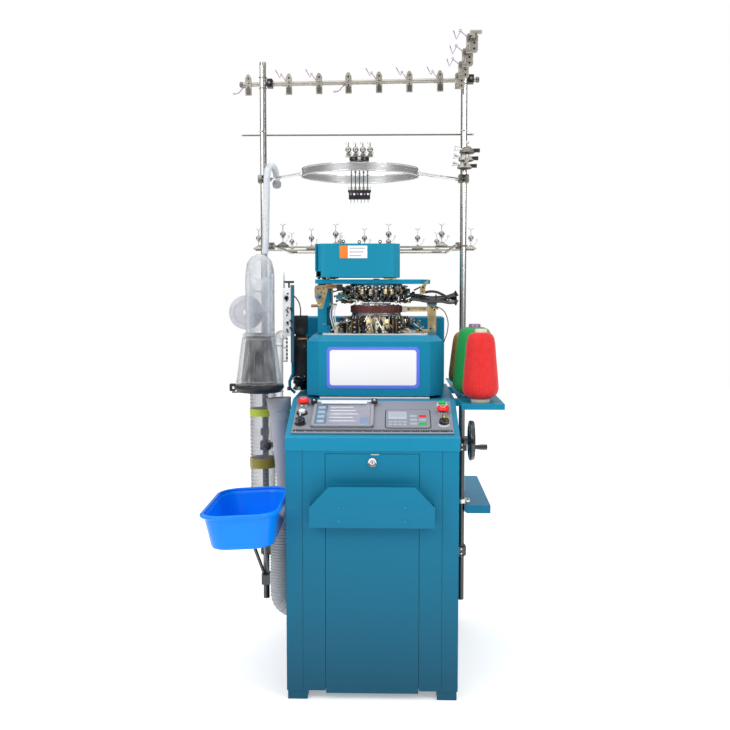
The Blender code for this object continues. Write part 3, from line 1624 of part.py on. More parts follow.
def make_cones():
    z = CONE_PLATE_Z + GAP
    for name, (x, y), radius, height, look in (
        ("red_cone", (0.340, 0.215), 0.0575, 0.232, RED),
        ("green_cone", (0.332, 0.360), 0.0715, 0.243, GREEN),
        ("orange_cone", (0.336, 0.700), 0.0700, 0.215, ORANGE),
    ):
        turned(name, (x, y, z), cone_profile(radius, height), look, 12, closed=True)


def make_lower_shelf():
    x0, x1 = SHELF_X
    y0, y1 = SHELF_Y
    z = SHELF_Z
    top = box("lower_shelf", (x0, y0, z - 0.003), (x1, y1, z), TEAL)
    post_face = RIGHT_POST_X + POST_RADIUS + GAP
    pieces = [
        box("front_lip", (x0, y0, z - SHELF_LIP), (x1, y0 + 0.003, z - 0.001)),
        box("right_lip", (x1 - 0.003, y0, z - SHELF_LIP), (x1, y1, z - 0.001)),
        box("left_lip", (x0, y0, z - SHELF_LIP), (x0 + 0.003, y1, z - 0.001)),
        box("clamp", (post_face, y0 + 0.001, z - 0.024), (x0 + 0.001, POST_Y + 0.012, z - 0.001)),
        box("rear_bracket", (CABINET_WIDTH / 2 + GAP, 0.740, z - 0.024), (x0 + 0.020, 0.752, z - 0.001)),
    ]
    fuse(top, pieces)


# ---------------------------------------------------------------- sock take-off
def make_hopper():
    centre = (*HOPPER_CENTRE, 0)
    z0 = HOPPER_BASE_Z
    z1 = z0 + HOPPER_BASE_HEIGHT
    base = turned(
        "hopper_base",
        centre,
        [
            (HOPPER_RADIUS + 0.002, z1), (
                HOPPER_RADIUS + 0.006, z1 - 0.004,
            ), (HOPPER_RADIUS + 0.006, z1 - 0.010),
            (HOPPER_RADIUS - 0.004, z0), (TRAP_BORE, z0), (TRAP_BORE, z1),
        ],
        BLACK,
        20,
        closed=True,
    )
    hx = HOPPER_CENTRE[0] - HOPPER_RADIUS
    lug = box(
        "clip",
        (hx - 0.020, HOPPER_CENTRE[1] - 0.012, z1 - 0.022),
        (hx - 0.002, HOPPER_CENTRE[1] + 0.012, z1 + 0.002),
    )
    fuse(base, [lug])
    top = HOPPER_TOP
    wall = 0.002
    r0, r1 = HOPPER_RADIUS - 0.001, 0.046
    turned(
        "hopper_cover",
        centre,
        [
            (r1 + 0.004, top), (r1 + 0.008, top - 0.020), (r0, z1 + GAP), (r0 - wall, z1 + GAP),
            (r1 + 0.008 - wall, top - 0.020), (r1 + 0.004 - wall, top - 0.011),
            (DUCT_RADIUS + DUCT_SEAT, top - 0.011), (DUCT_RADIUS + DUCT_SEAT, top),
        ],
        CLEAR,
        16,
        closed=True,
    )
    turned(
        "mesh_cone",
        centre,
        [
            (0.0405, top - 0.013), (
                0.058, z1 + GAP + 0.003,
            ), (0.062, z1 + GAP), (0.054, z1 + GAP), (0.0385, top - 0.013),
        ],
        MESH_GREY,
        16,
        closed=True,
    )
    make_trap_flap()


def make_trap_flap():
    """The disc that closes the hopper from below, with the tab that its hinge runs through."""
    x, y = HOPPER_CENTRE
    top = HOPPER_BASE_Z - GAP
    hinge_x = x - HOPPER_RADIUS - 0.010
    middle = top - TRAP_SHEET / 2
    flap = rod("trap_flap", (x, y, middle), TRAP_BORE + 0.004, TRAP_SHEET, look=MESH_GREY, sides=24)
    fuse(flap, [box("tab", (hinge_x - 0.003, y - 0.009, top - TRAP_SHEET), (x - 0.030, y + 0.009, top))])
    move_origin(flap, (hinge_x, y, middle))


def bend_points(radius, centre, steps, start, end):
    """Points in the y-z plane along an arc."""
    return [
        (
            centre[0],
            centre[1] + radius * math.cos(start + (end - start) * i / steps),
            centre[2] + radius * math.sin(start + (end - start) * i / steps),
        )
        for i in range(steps + 1)
    ]


def make_duct():
    """The clear inverted U that brings the sock over and down into the hopper, with its round disc."""
    front_x, front_y = HOPPER_CENTRE
    rear_x, rear_y = TAKE_OFF_X, TAKE_OFF_Y
    radius = (rear_y - front_y) / 2
    arc_z = DUCT_TOP - DUCT_RADIUS - radius
    foot = HOPPER_TOP - 0.010
    rear_foot = TAKE_OFF_Z[1] + 0.004
    steps = 6

    def route(extra):
        points = [(front_x, front_y, foot - extra), (front_x, front_y, arc_z)]
        for i in range(1, steps):
            turn = math.pi * i / steps
            share = i / steps
            points.append(
                (
                    front_x + (rear_x - front_x) * share,
                    front_y + radius * (1 - math.cos(turn)),
                    arc_z + radius * math.sin(turn),
                )
            )
        points += [(rear_x, rear_y, arc_z), (rear_x, rear_y, rear_foot - extra)]
        return points

    duct = wire("u_duct", route(0.0), DUCT_RADIUS, CLEAR, sides=2)
    cut(duct, wire("duct_room", route(0.01), DUCT_RADIUS - DUCT_WALL, sides=2))
    x, y, z = DISC_CENTRE
    disc = rod("disc", (x, y, z), DISC_RADIUS, 0.004, "Y", sides=20)
    hub = rod("disc_hub", (x, y + 0.004, z), 0.010, 0.012, "Y", sides=8)
    pin = wire(
        "disc_pin", [(x, y + 0.006, z), (x + 0.006, y + 0.024, z), (x + 0.016, TAKE_OFF_Y - 0.026, z)], 0.004,
    )
    fuse(duct, [disc, hub, pin])


def make_take_off_tube():
    """The ribbed clear tube up the left post, with an elbow from the cabinet's side below the cylinder."""
    x, y = TAKE_OFF_X, TAKE_OFF_Y
    z0, z1 = TAKE_OFF_Z
    profile = []
    count = int((z1 - z0 - 0.04) / TAKE_OFF_RIB)
    z = z1
    profile.append((TAKE_OFF_RADIUS - 0.001, z))
    z -= 0.02
    for _ in range(count // 2):
        profile.append((TAKE_OFF_RADIUS - 0.0016, z))
        profile.append((TAKE_OFF_RADIUS, z - TAKE_OFF_RIB))
        z -= 2 * TAKE_OFF_RIB
    profile.append((TAKE_OFF_RADIUS - 0.001, z0))
    inner = TAKE_OFF_RADIUS - 0.004
    profile += [(inner, z0), (inner, z1)]
    tube = turned("take_off_tube", (x, y, 0), profile, CLEAR, 14, closed=True)
    elbow_radius = 0.055
    side = -CABINET_WIDTH / 2 - GAP
    points = [(x, y, z0 + 0.004)]
    for i in range(1, 4):
        turn = math.pi / 2 * i / 4
        points.append((x + elbow_radius * (1 - math.cos(turn)), y, z0 - elbow_radius * math.sin(turn)))
    points += [(x + elbow_radius, y, z0 - elbow_radius), (side, y, z0 - elbow_radius)]
    elbow = wire("elbow", points, TAKE_OFF_RADIUS - 0.0005, sides=2)
    fuse(tube, [elbow])
    inner_points = [(x, y, z0 + 0.010), *points[:-1], (side + 0.01, y, z0 - elbow_radius)]
    cut(tube, wire("elbow_room", inner_points, inner - 0.0005, sides=2))


def make_funnel_and_hose():
    top = Vector(FUNNEL_TOP)
    foot = Vector(FUNNEL_FOOT)
    lean = (top - foot).to_track_quat("Z", "Y").to_euler()
    length = (top - foot).length
    spot = frame_at("funnel_frame", foot, lean, MACHINE)
    funnel = turned(
        "suction_hose",
        (0, 0, 0),
        [
            (0.0415, length), (0.0385, length - 0.042), (0.0350, length - 0.046), (0.0345, length - 0.076),
            (
                0.0320, length - 0.080,
            ), (0.0260, 0.0), (0.0230, 0.0), (0.0290, length - 0.080), (0.0380, length),
        ],
        HOSE_GREY,
        14,
        parent=spot,
        closed=True,
    )
    side = -CABINET_WIDTH / 2 - GAP
    bend = 0.046
    x, y = HOSE_X, FUNNEL_FOOT[1]
    z = foot.z + 0.006
    points = [
        (foot.x, y, z),
        (foot.x - 0.001, y, z - 0.026),
        (x + 0.002, y, z - 0.066),
        (x, y, z - 0.116),
        (x, y, HOSE_PORT_Z + bend),
    ]
    steps = 4
    for i in range(1, steps + 1):
        turn = math.pi / 2 * i / steps
        points.append((x + bend * (1 - math.cos(turn)), y, HOSE_PORT_Z + bend - bend * math.sin(turn)))
    points += [(side, y, HOSE_PORT_Z)]
    fuse(funnel, [wire("hose", points, HOSE_RADIUS, sides=2)])


def make_lint_hose():
    """The white lint hose: it stands in a socket on the duct, and hooks over the guide ring's left arm."""
    x = LEFT_POST_X + POST_RADIUS
    points = [
        (TAKE_OFF_X + 0.010, TAKE_OFF_Y + 0.012, DUCT_TOP + 0.004),
        (x + 0.002, 0.468, 1.410),
        (x + 0.003, 0.474, 1.480),
        (x + 0.004, 0.478, 1.560),
        (x + 0.005, 0.480, 1.625),
        (x + 0.008, 0.486, 1.655),
        (x + 0.016, 0.502, 1.671),
        (x + 0.025, 0.519, 1.668),
        (x + 0.031, 0.530, 1.650),
        (x + 0.033, 0.534, 1.620),
    ]
    hose = wire("lint_hose", points, 0.0115, WHITE, sides=2)
    nozzle = ball("nozzle", (x + 0.033, 0.535, 1.610), 0.0155, sides=10)
    fuse(hose, [nozzle])


def make_basin():
    """A laundry basin: drafted walls with round corners, and a rolled rim."""
    tilt = frame_at("basin_frame", (*BASIN_CENTRE, BASIN_RIM), (0, BASIN_TILT, 0), MACHINE)
    work = bmesh.new()
    rings = []

    def ring(share, z, radius, shrink=0.0):
        half_x = BASIN_WIDTH / 2 * share - shrink
        half_y = BASIN_LENGTH / 2 - BASIN_WIDTH / 2 * (1 - share) - shrink
        return [
            work.verts.new((a, b, z))
            for a, b in rounded((-half_x, -half_y), (half_x, half_y), radius, 3)
        ]

    wall = BASIN_WALL
    shape = [
        (0.76, -BASIN_HEIGHT, 0.030, 0.0),
        (0.80, -BASIN_HEIGHT + 0.010, 0.036, 0.0),
        (0.915, -0.014, 0.044, 0.0),
        (1.0, -0.014, 0.052, 0.0),
        (1.0, -0.003, 0.052, 0.0),
        (0.985, 0.0, 0.051, 0.0),
        (0.930, 0.0, 0.046, 0.0),
        (0.915, -0.006, 0.044, wall),
        (0.80, -BASIN_HEIGHT + 0.014, 0.034, wall),
        (0.76, -BASIN_HEIGHT + 0.006, 0.028, wall),
    ]
    for share, z, radius, shrink in shape:
        rings.append(ring(share, z, radius, shrink))
    for low, high in zip(rings, rings[1:]):
        for i in range(len(low)):
            j = (i + 1) % len(low)
            work.faces.new((low[i], low[j], high[j], high[i]))
    work.faces.new(list(reversed(rings[0])))
    work.faces.new(rings[-1])
    bmesh.ops.recalc_face_normals(work, faces=work.faces)
    mesh = bpy.data.meshes.new("basin")
    work.to_mesh(mesh)
    work.free()
    basin = bpy.data.objects.new("basin", mesh)
    bpy.context.scene.collection.objects.link(basin)
    settle(basin, "basin", BLUE, tilt)
    smooth(basin)
    return tilt


def basin_bracket(tilt):
    """Bearer plate under the basin, carried by two struts from the left post."""
    seat = -BASIN_HEIGHT - GAP
    z = BASIN_RIM - BASIN_HEIGHT - 0.008
    x = LEFT_POST_X
    y = BASIN_CENTRE[1]
    struts = [
        wire(
            "strut",
            [
                (x + side * 0.030, y - 0.060, z),
                (x + side * 0.030, y + 0.160, z),
                (x + side * 0.004, POST_Y - 0.010, 0.235),
            ],
            0.0065,
            sides=1,
        )
        for side in (-1, 1)
    ]
    return [
        box("bearer", (-0.070, -0.140, seat - 0.004), (0.070, 0.165, seat), parent=tilt),
        box("strut_foot", (x - 0.015, POST_Y - 0.022, 0.205), (x + 0.015, POST_Y + 0.015, 0.245)),
        *struts,
    ]


# ---------------------------------------------------------------- assembly
def stand_on_origin():
    """Moves the machine's frame so that the middle of its footprint is the world origin."""
    bpy.context.view_layer.update()
    graph = bpy.context.evaluated_depsgraph_get()
    low = [math.inf, math.inf]
    high = [-math.inf, -math.inf]
    for item in bpy.data.collections[PARTS_NAME].objects:
        seen = item.evaluated_get(graph)
        for corner in seen.bound_box:
            point = seen.matrix_world @ Vector(corner)
            for i in range(2):
                low[i] = min(low[i], point[i])
                high[i] = max(high[i], point[i])
    MACHINE.location.x -= (low[0] + high[0]) / 2
    MACHINE.location.y -= (low[1] + high[1]) / 2


def build():
    make_cabinet()
    make_door()
    slope = slope_frame()
    make_console(slope)
    make_panel(slope)
    make_display(slope)
    make_controls(slope)
    make_bed()
    make_bed_plate()
    make_rear_cabinet()
    make_needle_cylinder()
    make_cam_ring()
    make_selectors()
    make_rings()
    make_dial()
    make_head_frame()
    make_top_cover()
    make_yarn_fingers()
    make_brackets()
    make_air_tubes()
    make_handwheel()
    make_motor()
    make_valve_unit()
    basin_frame = make_basin()
    make_posts(basin_frame)
    make_crossbar()
    make_side_arm()
    make_guide_rod()
    make_guide_ring()
    make_ring_tension()
    make_rear_creel()
    make_side_tension()
    make_cone_plate()
    make_cones()
    make_lower_shelf()
    make_hopper()
    make_duct()
    make_take_off_tube()
    make_funnel_and_hose()
    make_lint_hose()
    stand_on_origin()


clear_scene()
MACHINE = frame_at("machine_frame", (0, 0, 0))
build()
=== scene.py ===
"""Looks of the circular knitting machine: materials, detailed pieces, light, floor and camera."""

import math

import bpy
from mathutils import Matrix, Vector


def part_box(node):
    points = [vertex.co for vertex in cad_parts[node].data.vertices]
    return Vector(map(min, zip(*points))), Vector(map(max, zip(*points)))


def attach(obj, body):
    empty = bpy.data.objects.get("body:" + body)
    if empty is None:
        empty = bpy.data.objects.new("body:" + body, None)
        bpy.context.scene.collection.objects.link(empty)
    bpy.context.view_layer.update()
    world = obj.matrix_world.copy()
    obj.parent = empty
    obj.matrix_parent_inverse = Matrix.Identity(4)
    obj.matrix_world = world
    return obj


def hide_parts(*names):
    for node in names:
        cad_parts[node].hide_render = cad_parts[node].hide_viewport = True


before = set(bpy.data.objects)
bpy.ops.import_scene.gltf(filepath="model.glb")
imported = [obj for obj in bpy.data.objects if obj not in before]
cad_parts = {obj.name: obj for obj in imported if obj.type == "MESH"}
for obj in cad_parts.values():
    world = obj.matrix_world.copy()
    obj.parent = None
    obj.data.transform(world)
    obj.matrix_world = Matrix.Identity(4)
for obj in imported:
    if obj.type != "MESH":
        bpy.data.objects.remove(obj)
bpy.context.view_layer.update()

low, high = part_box("cabinet_body")
ORIGIN = Vector(((low.x + high.x) / 2, low.y, 0.0))   # middle of the cabinet's front, on the floor
POSTS = (-0.386, 0.303)                               # the two posts of the creel, across
POST_Y = 0.52                                         # and from the cabinet's front
FRONT = (0, -1, 0)                                    # the way that faces the operator
PARTS = []                                            # parts of the piece that is being made


# ---------------------------------------------------------------- shader groups
def new_group(name, inputs, outputs):
    """An empty shader group with float inputs and float or vector outputs."""
    tree = bpy.data.node_groups.new(name, "ShaderNodeTree")
    for title, value in inputs:
        socket = tree.interface.new_socket(name=title, in_out="INPUT", socket_type="NodeSocketFloat")
        socket.default_value = value
    for title, kind in outputs:
        tree.interface.new_socket(name=title, in_out="OUTPUT", socket_type=kind)
    return tree, tree.nodes.new("NodeGroupInput"), tree.nodes.new("NodeGroupOutput")


def set_inputs(node, values):
    """Constants on a node's own inputs; an underscore in a title stands for a space."""
    for title, value in values.items():
        node.inputs[title.replace("_", " ")].default_value = value
    return node


def add_node(tree, kind, **values):
    return set_inputs(tree.nodes.new("ShaderNode" + kind), values)


def math_node(tree, operation, first, second=None, third=None):
    node = add_node(tree, "Math")
    node.operation = operation
    for socket, value in zip(node.inputs, (first, second, third)):
        if value is None:
            continue
        if isinstance(value, (int, float)):
            socket.default_value = value
        else:
            tree.links.new(value, socket)
    return node.outputs[0]


def make_wear_and_highlight_group():
    """Broad patches, fine grain, worn edges that also carry painted highlight, and settled dust."""
    tree, given, out = new_group(
        "surface_wear_and_edge_highlight",
        [("Broad scale", 8.0), ("Grain scale", 900.0), ("Edge width", 0.001)],
        [("Patches", "NodeSocketFloat"), ("Grain", "NodeSocketFloat"), ("Edges", "NodeSocketFloat"),
         ("Dust", "NodeSocketFloat"), ("Soft normal", "NodeSocketVector")],
    )
    links = tree.links
    place = add_node(tree, "TexCoord")
    patches = add_node(tree, "TexNoise", Detail=4.0)
    grain = add_node(tree, "TexNoise", Detail=2.0)
    links.new(place.outputs["Object"], patches.inputs["Vector"])
    links.new(place.outputs["Object"], grain.inputs["Vector"])
    links.new(given.outputs["Broad scale"], patches.inputs["Scale"])
    links.new(given.outputs["Grain scale"], grain.inputs["Scale"])
    soft = add_node(tree, "Bevel")
    soft.samples = 4
    links.new(given.outputs["Edge width"], soft.inputs["Radius"])
    geometry = add_node(tree, "NewGeometry")
    dot = add_node(tree, "VectorMath")
    dot.operation = "DOT_PRODUCT"
    links.new(soft.outputs["Normal"], dot.inputs[0])
    links.new(geometry.outputs["Normal"], dot.inputs[1])
    # The softened normal leans away from the true one along the edges; this mask serves both worn edges and
    # painted edge highlight.
    turned = math_node(tree, "SUBTRACT", 1.0, dot.outputs["Value"])
    edges = math_node(tree, "MULTIPLY", turned, 6.0)
    broken = math_node(tree, "MULTIPLY", edges, patches.outputs["Fac"])
    lit_worn_edges = math_node(tree, "MINIMUM", broken, 1.0)
    parts = add_node(tree, "SeparateXYZ")
    links.new(geometry.outputs["Normal"], parts.inputs[0])
    flat = math_node(tree, "MAXIMUM", parts.outputs["Z"], 0.0)
    settled = math_node(tree, "MULTIPLY", flat, patches.outputs["Fac"])
    links.new(patches.outputs["Fac"], out.inputs["Patches"])
    links.new(grain.outputs["Fac"], out.inputs["Grain"])
    links.new(lit_worn_edges, out.inputs["Edges"])
    links.new(settled, out.inputs["Dust"])
    links.new(soft.outputs["Normal"], out.inputs["Soft normal"])
    return tree


def about_axis(tree, given):
    """The place on the object, its X, Y and Z, and its bearing round Centre X, Centre Y."""
    place = add_node(tree, "TexCoord")
    parts = add_node(tree, "SeparateXYZ")
    tree.links.new(place.outputs["Object"], parts.inputs[0])
    x = math_node(tree, "SUBTRACT", parts.outputs["X"], given.outputs["Centre X"])
    y = math_node(tree, "SUBTRACT", parts.outputs["Y"], given.outputs["Centre Y"])
    return place, parts, math_node(tree, "ARCTAN2", y, x)


def make_winding_group():
    """Yarn wound crosswise on a cone that stands at Centre X, Centre Y."""
    tree, given, out = new_group(
        "yarn_winding",
        [("Centre X", 0.0), ("Centre Y", 0.0), ("Rows", 1500.0), ("Turns", 18.0)],
        [("Thread", "NodeSocketFloat"), ("Shade", "NodeSocketFloat")],
    )
    place, parts, bearing = about_axis(tree, given)
    rise = math_node(tree, "MULTIPLY", parts.outputs["Z"], given.outputs["Rows"])
    turn = math_node(tree, "MULTIPLY", bearing, given.outputs["Turns"])
    one = math_node(tree, "SINE", math_node(tree, "ADD", rise, turn))
    two = math_node(tree, "SINE", math_node(tree, "SUBTRACT", rise, turn))
    thread = math_node(tree, "MAXIMUM", one, two)
    noise = add_node(tree, "TexNoise", Scale=60.0)
    tree.links.new(place.outputs["Object"], noise.inputs["Vector"])
    tree.links.new(thread, out.inputs["Thread"])
    tree.links.new(noise.outputs["Fac"], out.inputs["Shade"])
    return tree


def make_brush_group():
    """Fine lines along one axis, as on drawn or brushed metal."""
    tree, given, out = new_group(
        "brushed_lines",
        [("Across X", 900.0), ("Across Y", 900.0), ("Across Z", 20.0)],
        [("Lines", "NodeSocketFloat")],
    )
    links = tree.links
    place = add_node(tree, "TexCoord")
    scale = add_node(tree, "CombineXYZ")
    for axis in "XYZ":
        links.new(given.outputs["Across " + axis], scale.inputs[axis])
    stretch = add_node(tree, "VectorMath")
    stretch.operation = "MULTIPLY"
    links.new(place.outputs["Object"], stretch.inputs[0])
    links.new(scale.outputs[0], stretch.inputs[1])
    noise = add_node(tree, "TexNoise", Scale=1.0, Detail=2.0)
    links.new(stretch.outputs[0], noise.inputs["Vector"])
    links.new(noise.outputs["Fac"], out.inputs["Lines"])
    return tree


def make_mesh_group():
    """Round holes in staggered rows about an upright axis."""
    tree, given, out = new_group(
        "punched_holes",
        [("Centre X", 0.0), ("Centre Y", 0.0), ("Rows", 1400.0), ("Columns", 60.0)],
        [("Metal", "NodeSocketFloat")],
    )
    _, parts, bearing = about_axis(tree, given)
    row = math_node(tree, "SINE", math_node(tree, "MULTIPLY", parts.outputs["Z"], given.outputs["Rows"]))
    column = math_node(tree, "SINE", math_node(tree, "MULTIPLY", bearing, given.outputs["Columns"]))
    hole = math_node(tree, "MULTIPLY", row, column)
    metal = math_node(tree, "LESS_THAN", hole, 0.12)
    tree.links.new(metal, out.inputs["Metal"])
    return tree


WEAR_AND_HIGHLIGHT = make_wear_and_highlight_group()
WINDING = make_winding_group()
BRUSH = make_brush_group()
HOLES = make_mesh_group()


# ---------------------------------------------------------------- materials
def start_material(name):
    made = bpy.data.materials.new(name)
    made.use_nodes = True
    return made, made.node_tree, made.node_tree.nodes["Principled BSDF"]


def place_group(tree, group, **values):
    node = add_node(tree, "Group")
    node.node_tree = group
    return set_inputs(node, values)


def mix_colours(tree, mask, first, second):
    node = add_node(tree, "Mix")
    node.data_type = "RGBA"
    tree.links.new(mask, node.inputs["Factor"])
    for socket, colour in ((node.inputs["A"], first), (node.inputs["B"], second)):
        if isinstance(colour, tuple):
            socket.default_value = (*colour, 1.0)
        else:
            tree.links.new(colour, socket)
    return node.outputs["Result"]


def spread(tree, mask, low_value, high_value):
    node = add_node(tree, "MapRange", From_Min=0.25, From_Max=0.75, To_Min=low_value, To_Max=high_value)
    tree.links.new(mask, node.inputs["Value"])
    return node.outputs["Result"]


def finish(name, colour, rough=0.4, metallic=0.0, vary=0.12, bump=0.05, grain=900.0, broad=8.0,
        edge_wear_and_highlight=None, edge_width=0.0009, dust=0.0, coat=0.0, lines=None, low=None, shine=0.5, **constants):
    """A finish with patches, grain, edges lightened by wear and painted highlight, and dust; low is (low z,
    high z, colour at the foot), painted shade that darkens the finish towards the foot.
    """
    made, tree, shader = start_material(name)
    wear = place_group(tree, WEAR_AND_HIGHLIGHT, Broad_scale=broad, Grain_scale=grain, Edge_width=edge_width)
    dark = tuple(c * (1 - vary) for c in colour)
    light = tuple(min(1.0, c * (1 + vary)) for c in colour)
    base = mix_colours(tree, wear.outputs["Patches"], dark, light)
    if lines:
        brush = place_group(tree, BRUSH, Across_X=lines[0], Across_Y=lines[1], Across_Z=lines[2])
        shade = spread(tree, brush.outputs["Lines"], 0.0, 0.5)
        base = mix_colours(tree, shade, base, tuple(c * 0.62 for c in colour))
        tree.links.new(spread(tree, brush.outputs["Lines"], rough * 0.75, rough * 1.35),
                shader.inputs["Roughness"])
    else:
        tree.links.new(spread(tree, wear.outputs["Patches"], rough * 0.85, rough * 1.2),
                shader.inputs["Roughness"])
    # Painted shade: the colour darkens from high z down to low z, towards the foot.
    if low:
        place = add_node(tree, "TexCoord")
        parts = add_node(tree, "SeparateXYZ")
        tree.links.new(place.outputs["Object"], parts.inputs[0])
        rise = add_node(tree, "MapRange", From_Min=low[0], From_Max=low[1])
        tree.links.new(parts.outputs["Z"], rise.inputs["Value"])
        base = mix_colours(tree, rise.outputs["Result"], low[2], base)
    # Edges lighter than the face: wear and painted highlight along the softened edges.
    if edge_wear_and_highlight:
        base = mix_colours(tree, wear.outputs["Edges"], base, edge_wear_and_highlight)
    if dust:
        settled = math_node(tree, "MULTIPLY", wear.outputs["Dust"], dust)
        base = mix_colours(tree, settled, base, (0.6, 0.6, 0.58))
    tree.links.new(base, shader.inputs["Base Color"])
    relief = add_node(tree, "Bump", Strength=bump, Distance=0.0004)
    tree.links.new(wear.outputs["Grain"], relief.inputs["Height"])
    tree.links.new(wear.outputs["Soft normal"], relief.inputs["Normal"])
    tree.links.new(relief.outputs["Normal"], shader.inputs["Normal"])
    shader.inputs["Metallic"].default_value = metallic
    shader.inputs["Coat Weight"].default_value = coat
    shader.inputs["Coat Roughness"].default_value = 0.12
    shader.inputs["Specular IOR Level"].default_value = shine
    set_inputs(shader, constants)
    return made


def clear_plastic(name, colour, thin=0.16, thick=0.72, rough=0.08):
    """Clear plastic: thin seen square on and denser seen along the wall, with haze in patches."""
    made, tree, shader = start_material(name)
    wear = place_group(tree, WEAR_AND_HIGHLIGHT, Broad_scale=14.0, Grain_scale=240.0, Edge_width=0.0004)
    facing = add_node(tree, "LayerWeight", Blend=0.42)
    haze = spread(tree, wear.outputs["Patches"], -0.05, 0.07)
    rim = add_node(tree, "MapRange", To_Min=thin, To_Max=thick)
    tree.links.new(facing.outputs["Facing"], rim.inputs["Value"])
    tree.links.new(math_node(tree, "ADD", rim.outputs["Result"], haze), shader.inputs["Alpha"])
    base = mix_colours(tree, wear.outputs["Patches"], tuple(0.82 * c for c in colour), colour)
    tree.links.new(base, shader.inputs["Base Color"])
    tree.links.new(spread(tree, wear.outputs["Patches"], rough, rough * 2.2), shader.inputs["Roughness"])
    relief = add_node(tree, "Bump", Strength=0.15, Distance=0.0006)
    tree.links.new(wear.outputs["Grain"], relief.inputs["Height"])
    tree.links.new(relief.outputs["Normal"], shader.inputs["Normal"])
    shader.inputs["Coat Weight"].default_value = 0.6
    shader.inputs["Coat Roughness"].default_value = 0.04
    return made


def yarn(name, colour, x, y):
    """Wound yarn on the cone that stands at x, y."""
    made, tree, shader = start_material(name)
    wound = place_group(tree, WINDING, Centre_X=ORIGIN.x + x, Centre_Y=ORIGIN.y + y)
    base = mix_colours(tree, spread(tree, wound.outputs["Thread"], 0.0, 1.0), tuple(0.66 * c for c in colour),
            colour)
    shaded = mix_colours(tree, spread(tree, wound.outputs["Shade"], 0.0, 0.35), base,
            tuple(0.7 * c for c in colour))
    tree.links.new(shaded, shader.inputs["Base Color"])
    relief = add_node(tree, "Bump", Strength=0.28, Distance=0.0008)
    tree.links.new(wound.outputs["Thread"], relief.inputs["Height"])
    tree.links.new(relief.outputs["Normal"], shader.inputs["Normal"])
    tree.links.new(spread(tree, wound.outputs["Shade"], 0.55, 0.8), shader.inputs["Roughness"])
    shader.inputs["Sheen Weight"].default_value = 0.25
    shader.inputs["Sheen Roughness"].default_value = 0.4
    return made


def punched_steel(name, colour, x, y):
    """Dark sheet with small round holes, round the axis at x, y."""
    made, tree, shader = start_material(name)
    wear = place_group(tree, WEAR_AND_HIGHLIGHT, Broad_scale=30.0)
    holes = place_group(tree, HOLES, Centre_X=ORIGIN.x + x, Centre_Y=ORIGIN.y + y)
    tree.links.new(holes.outputs["Metal"], shader.inputs["Alpha"])
    base = mix_colours(tree, wear.outputs["Patches"], tuple(0.6 * c for c in colour), colour)
    tree.links.new(base, shader.inputs["Base Color"])
    tree.links.new(spread(tree, wear.outputs["Patches"], 0.35, 0.55), shader.inputs["Roughness"])
    shader.inputs["Metallic"].default_value = 0.6
    return made
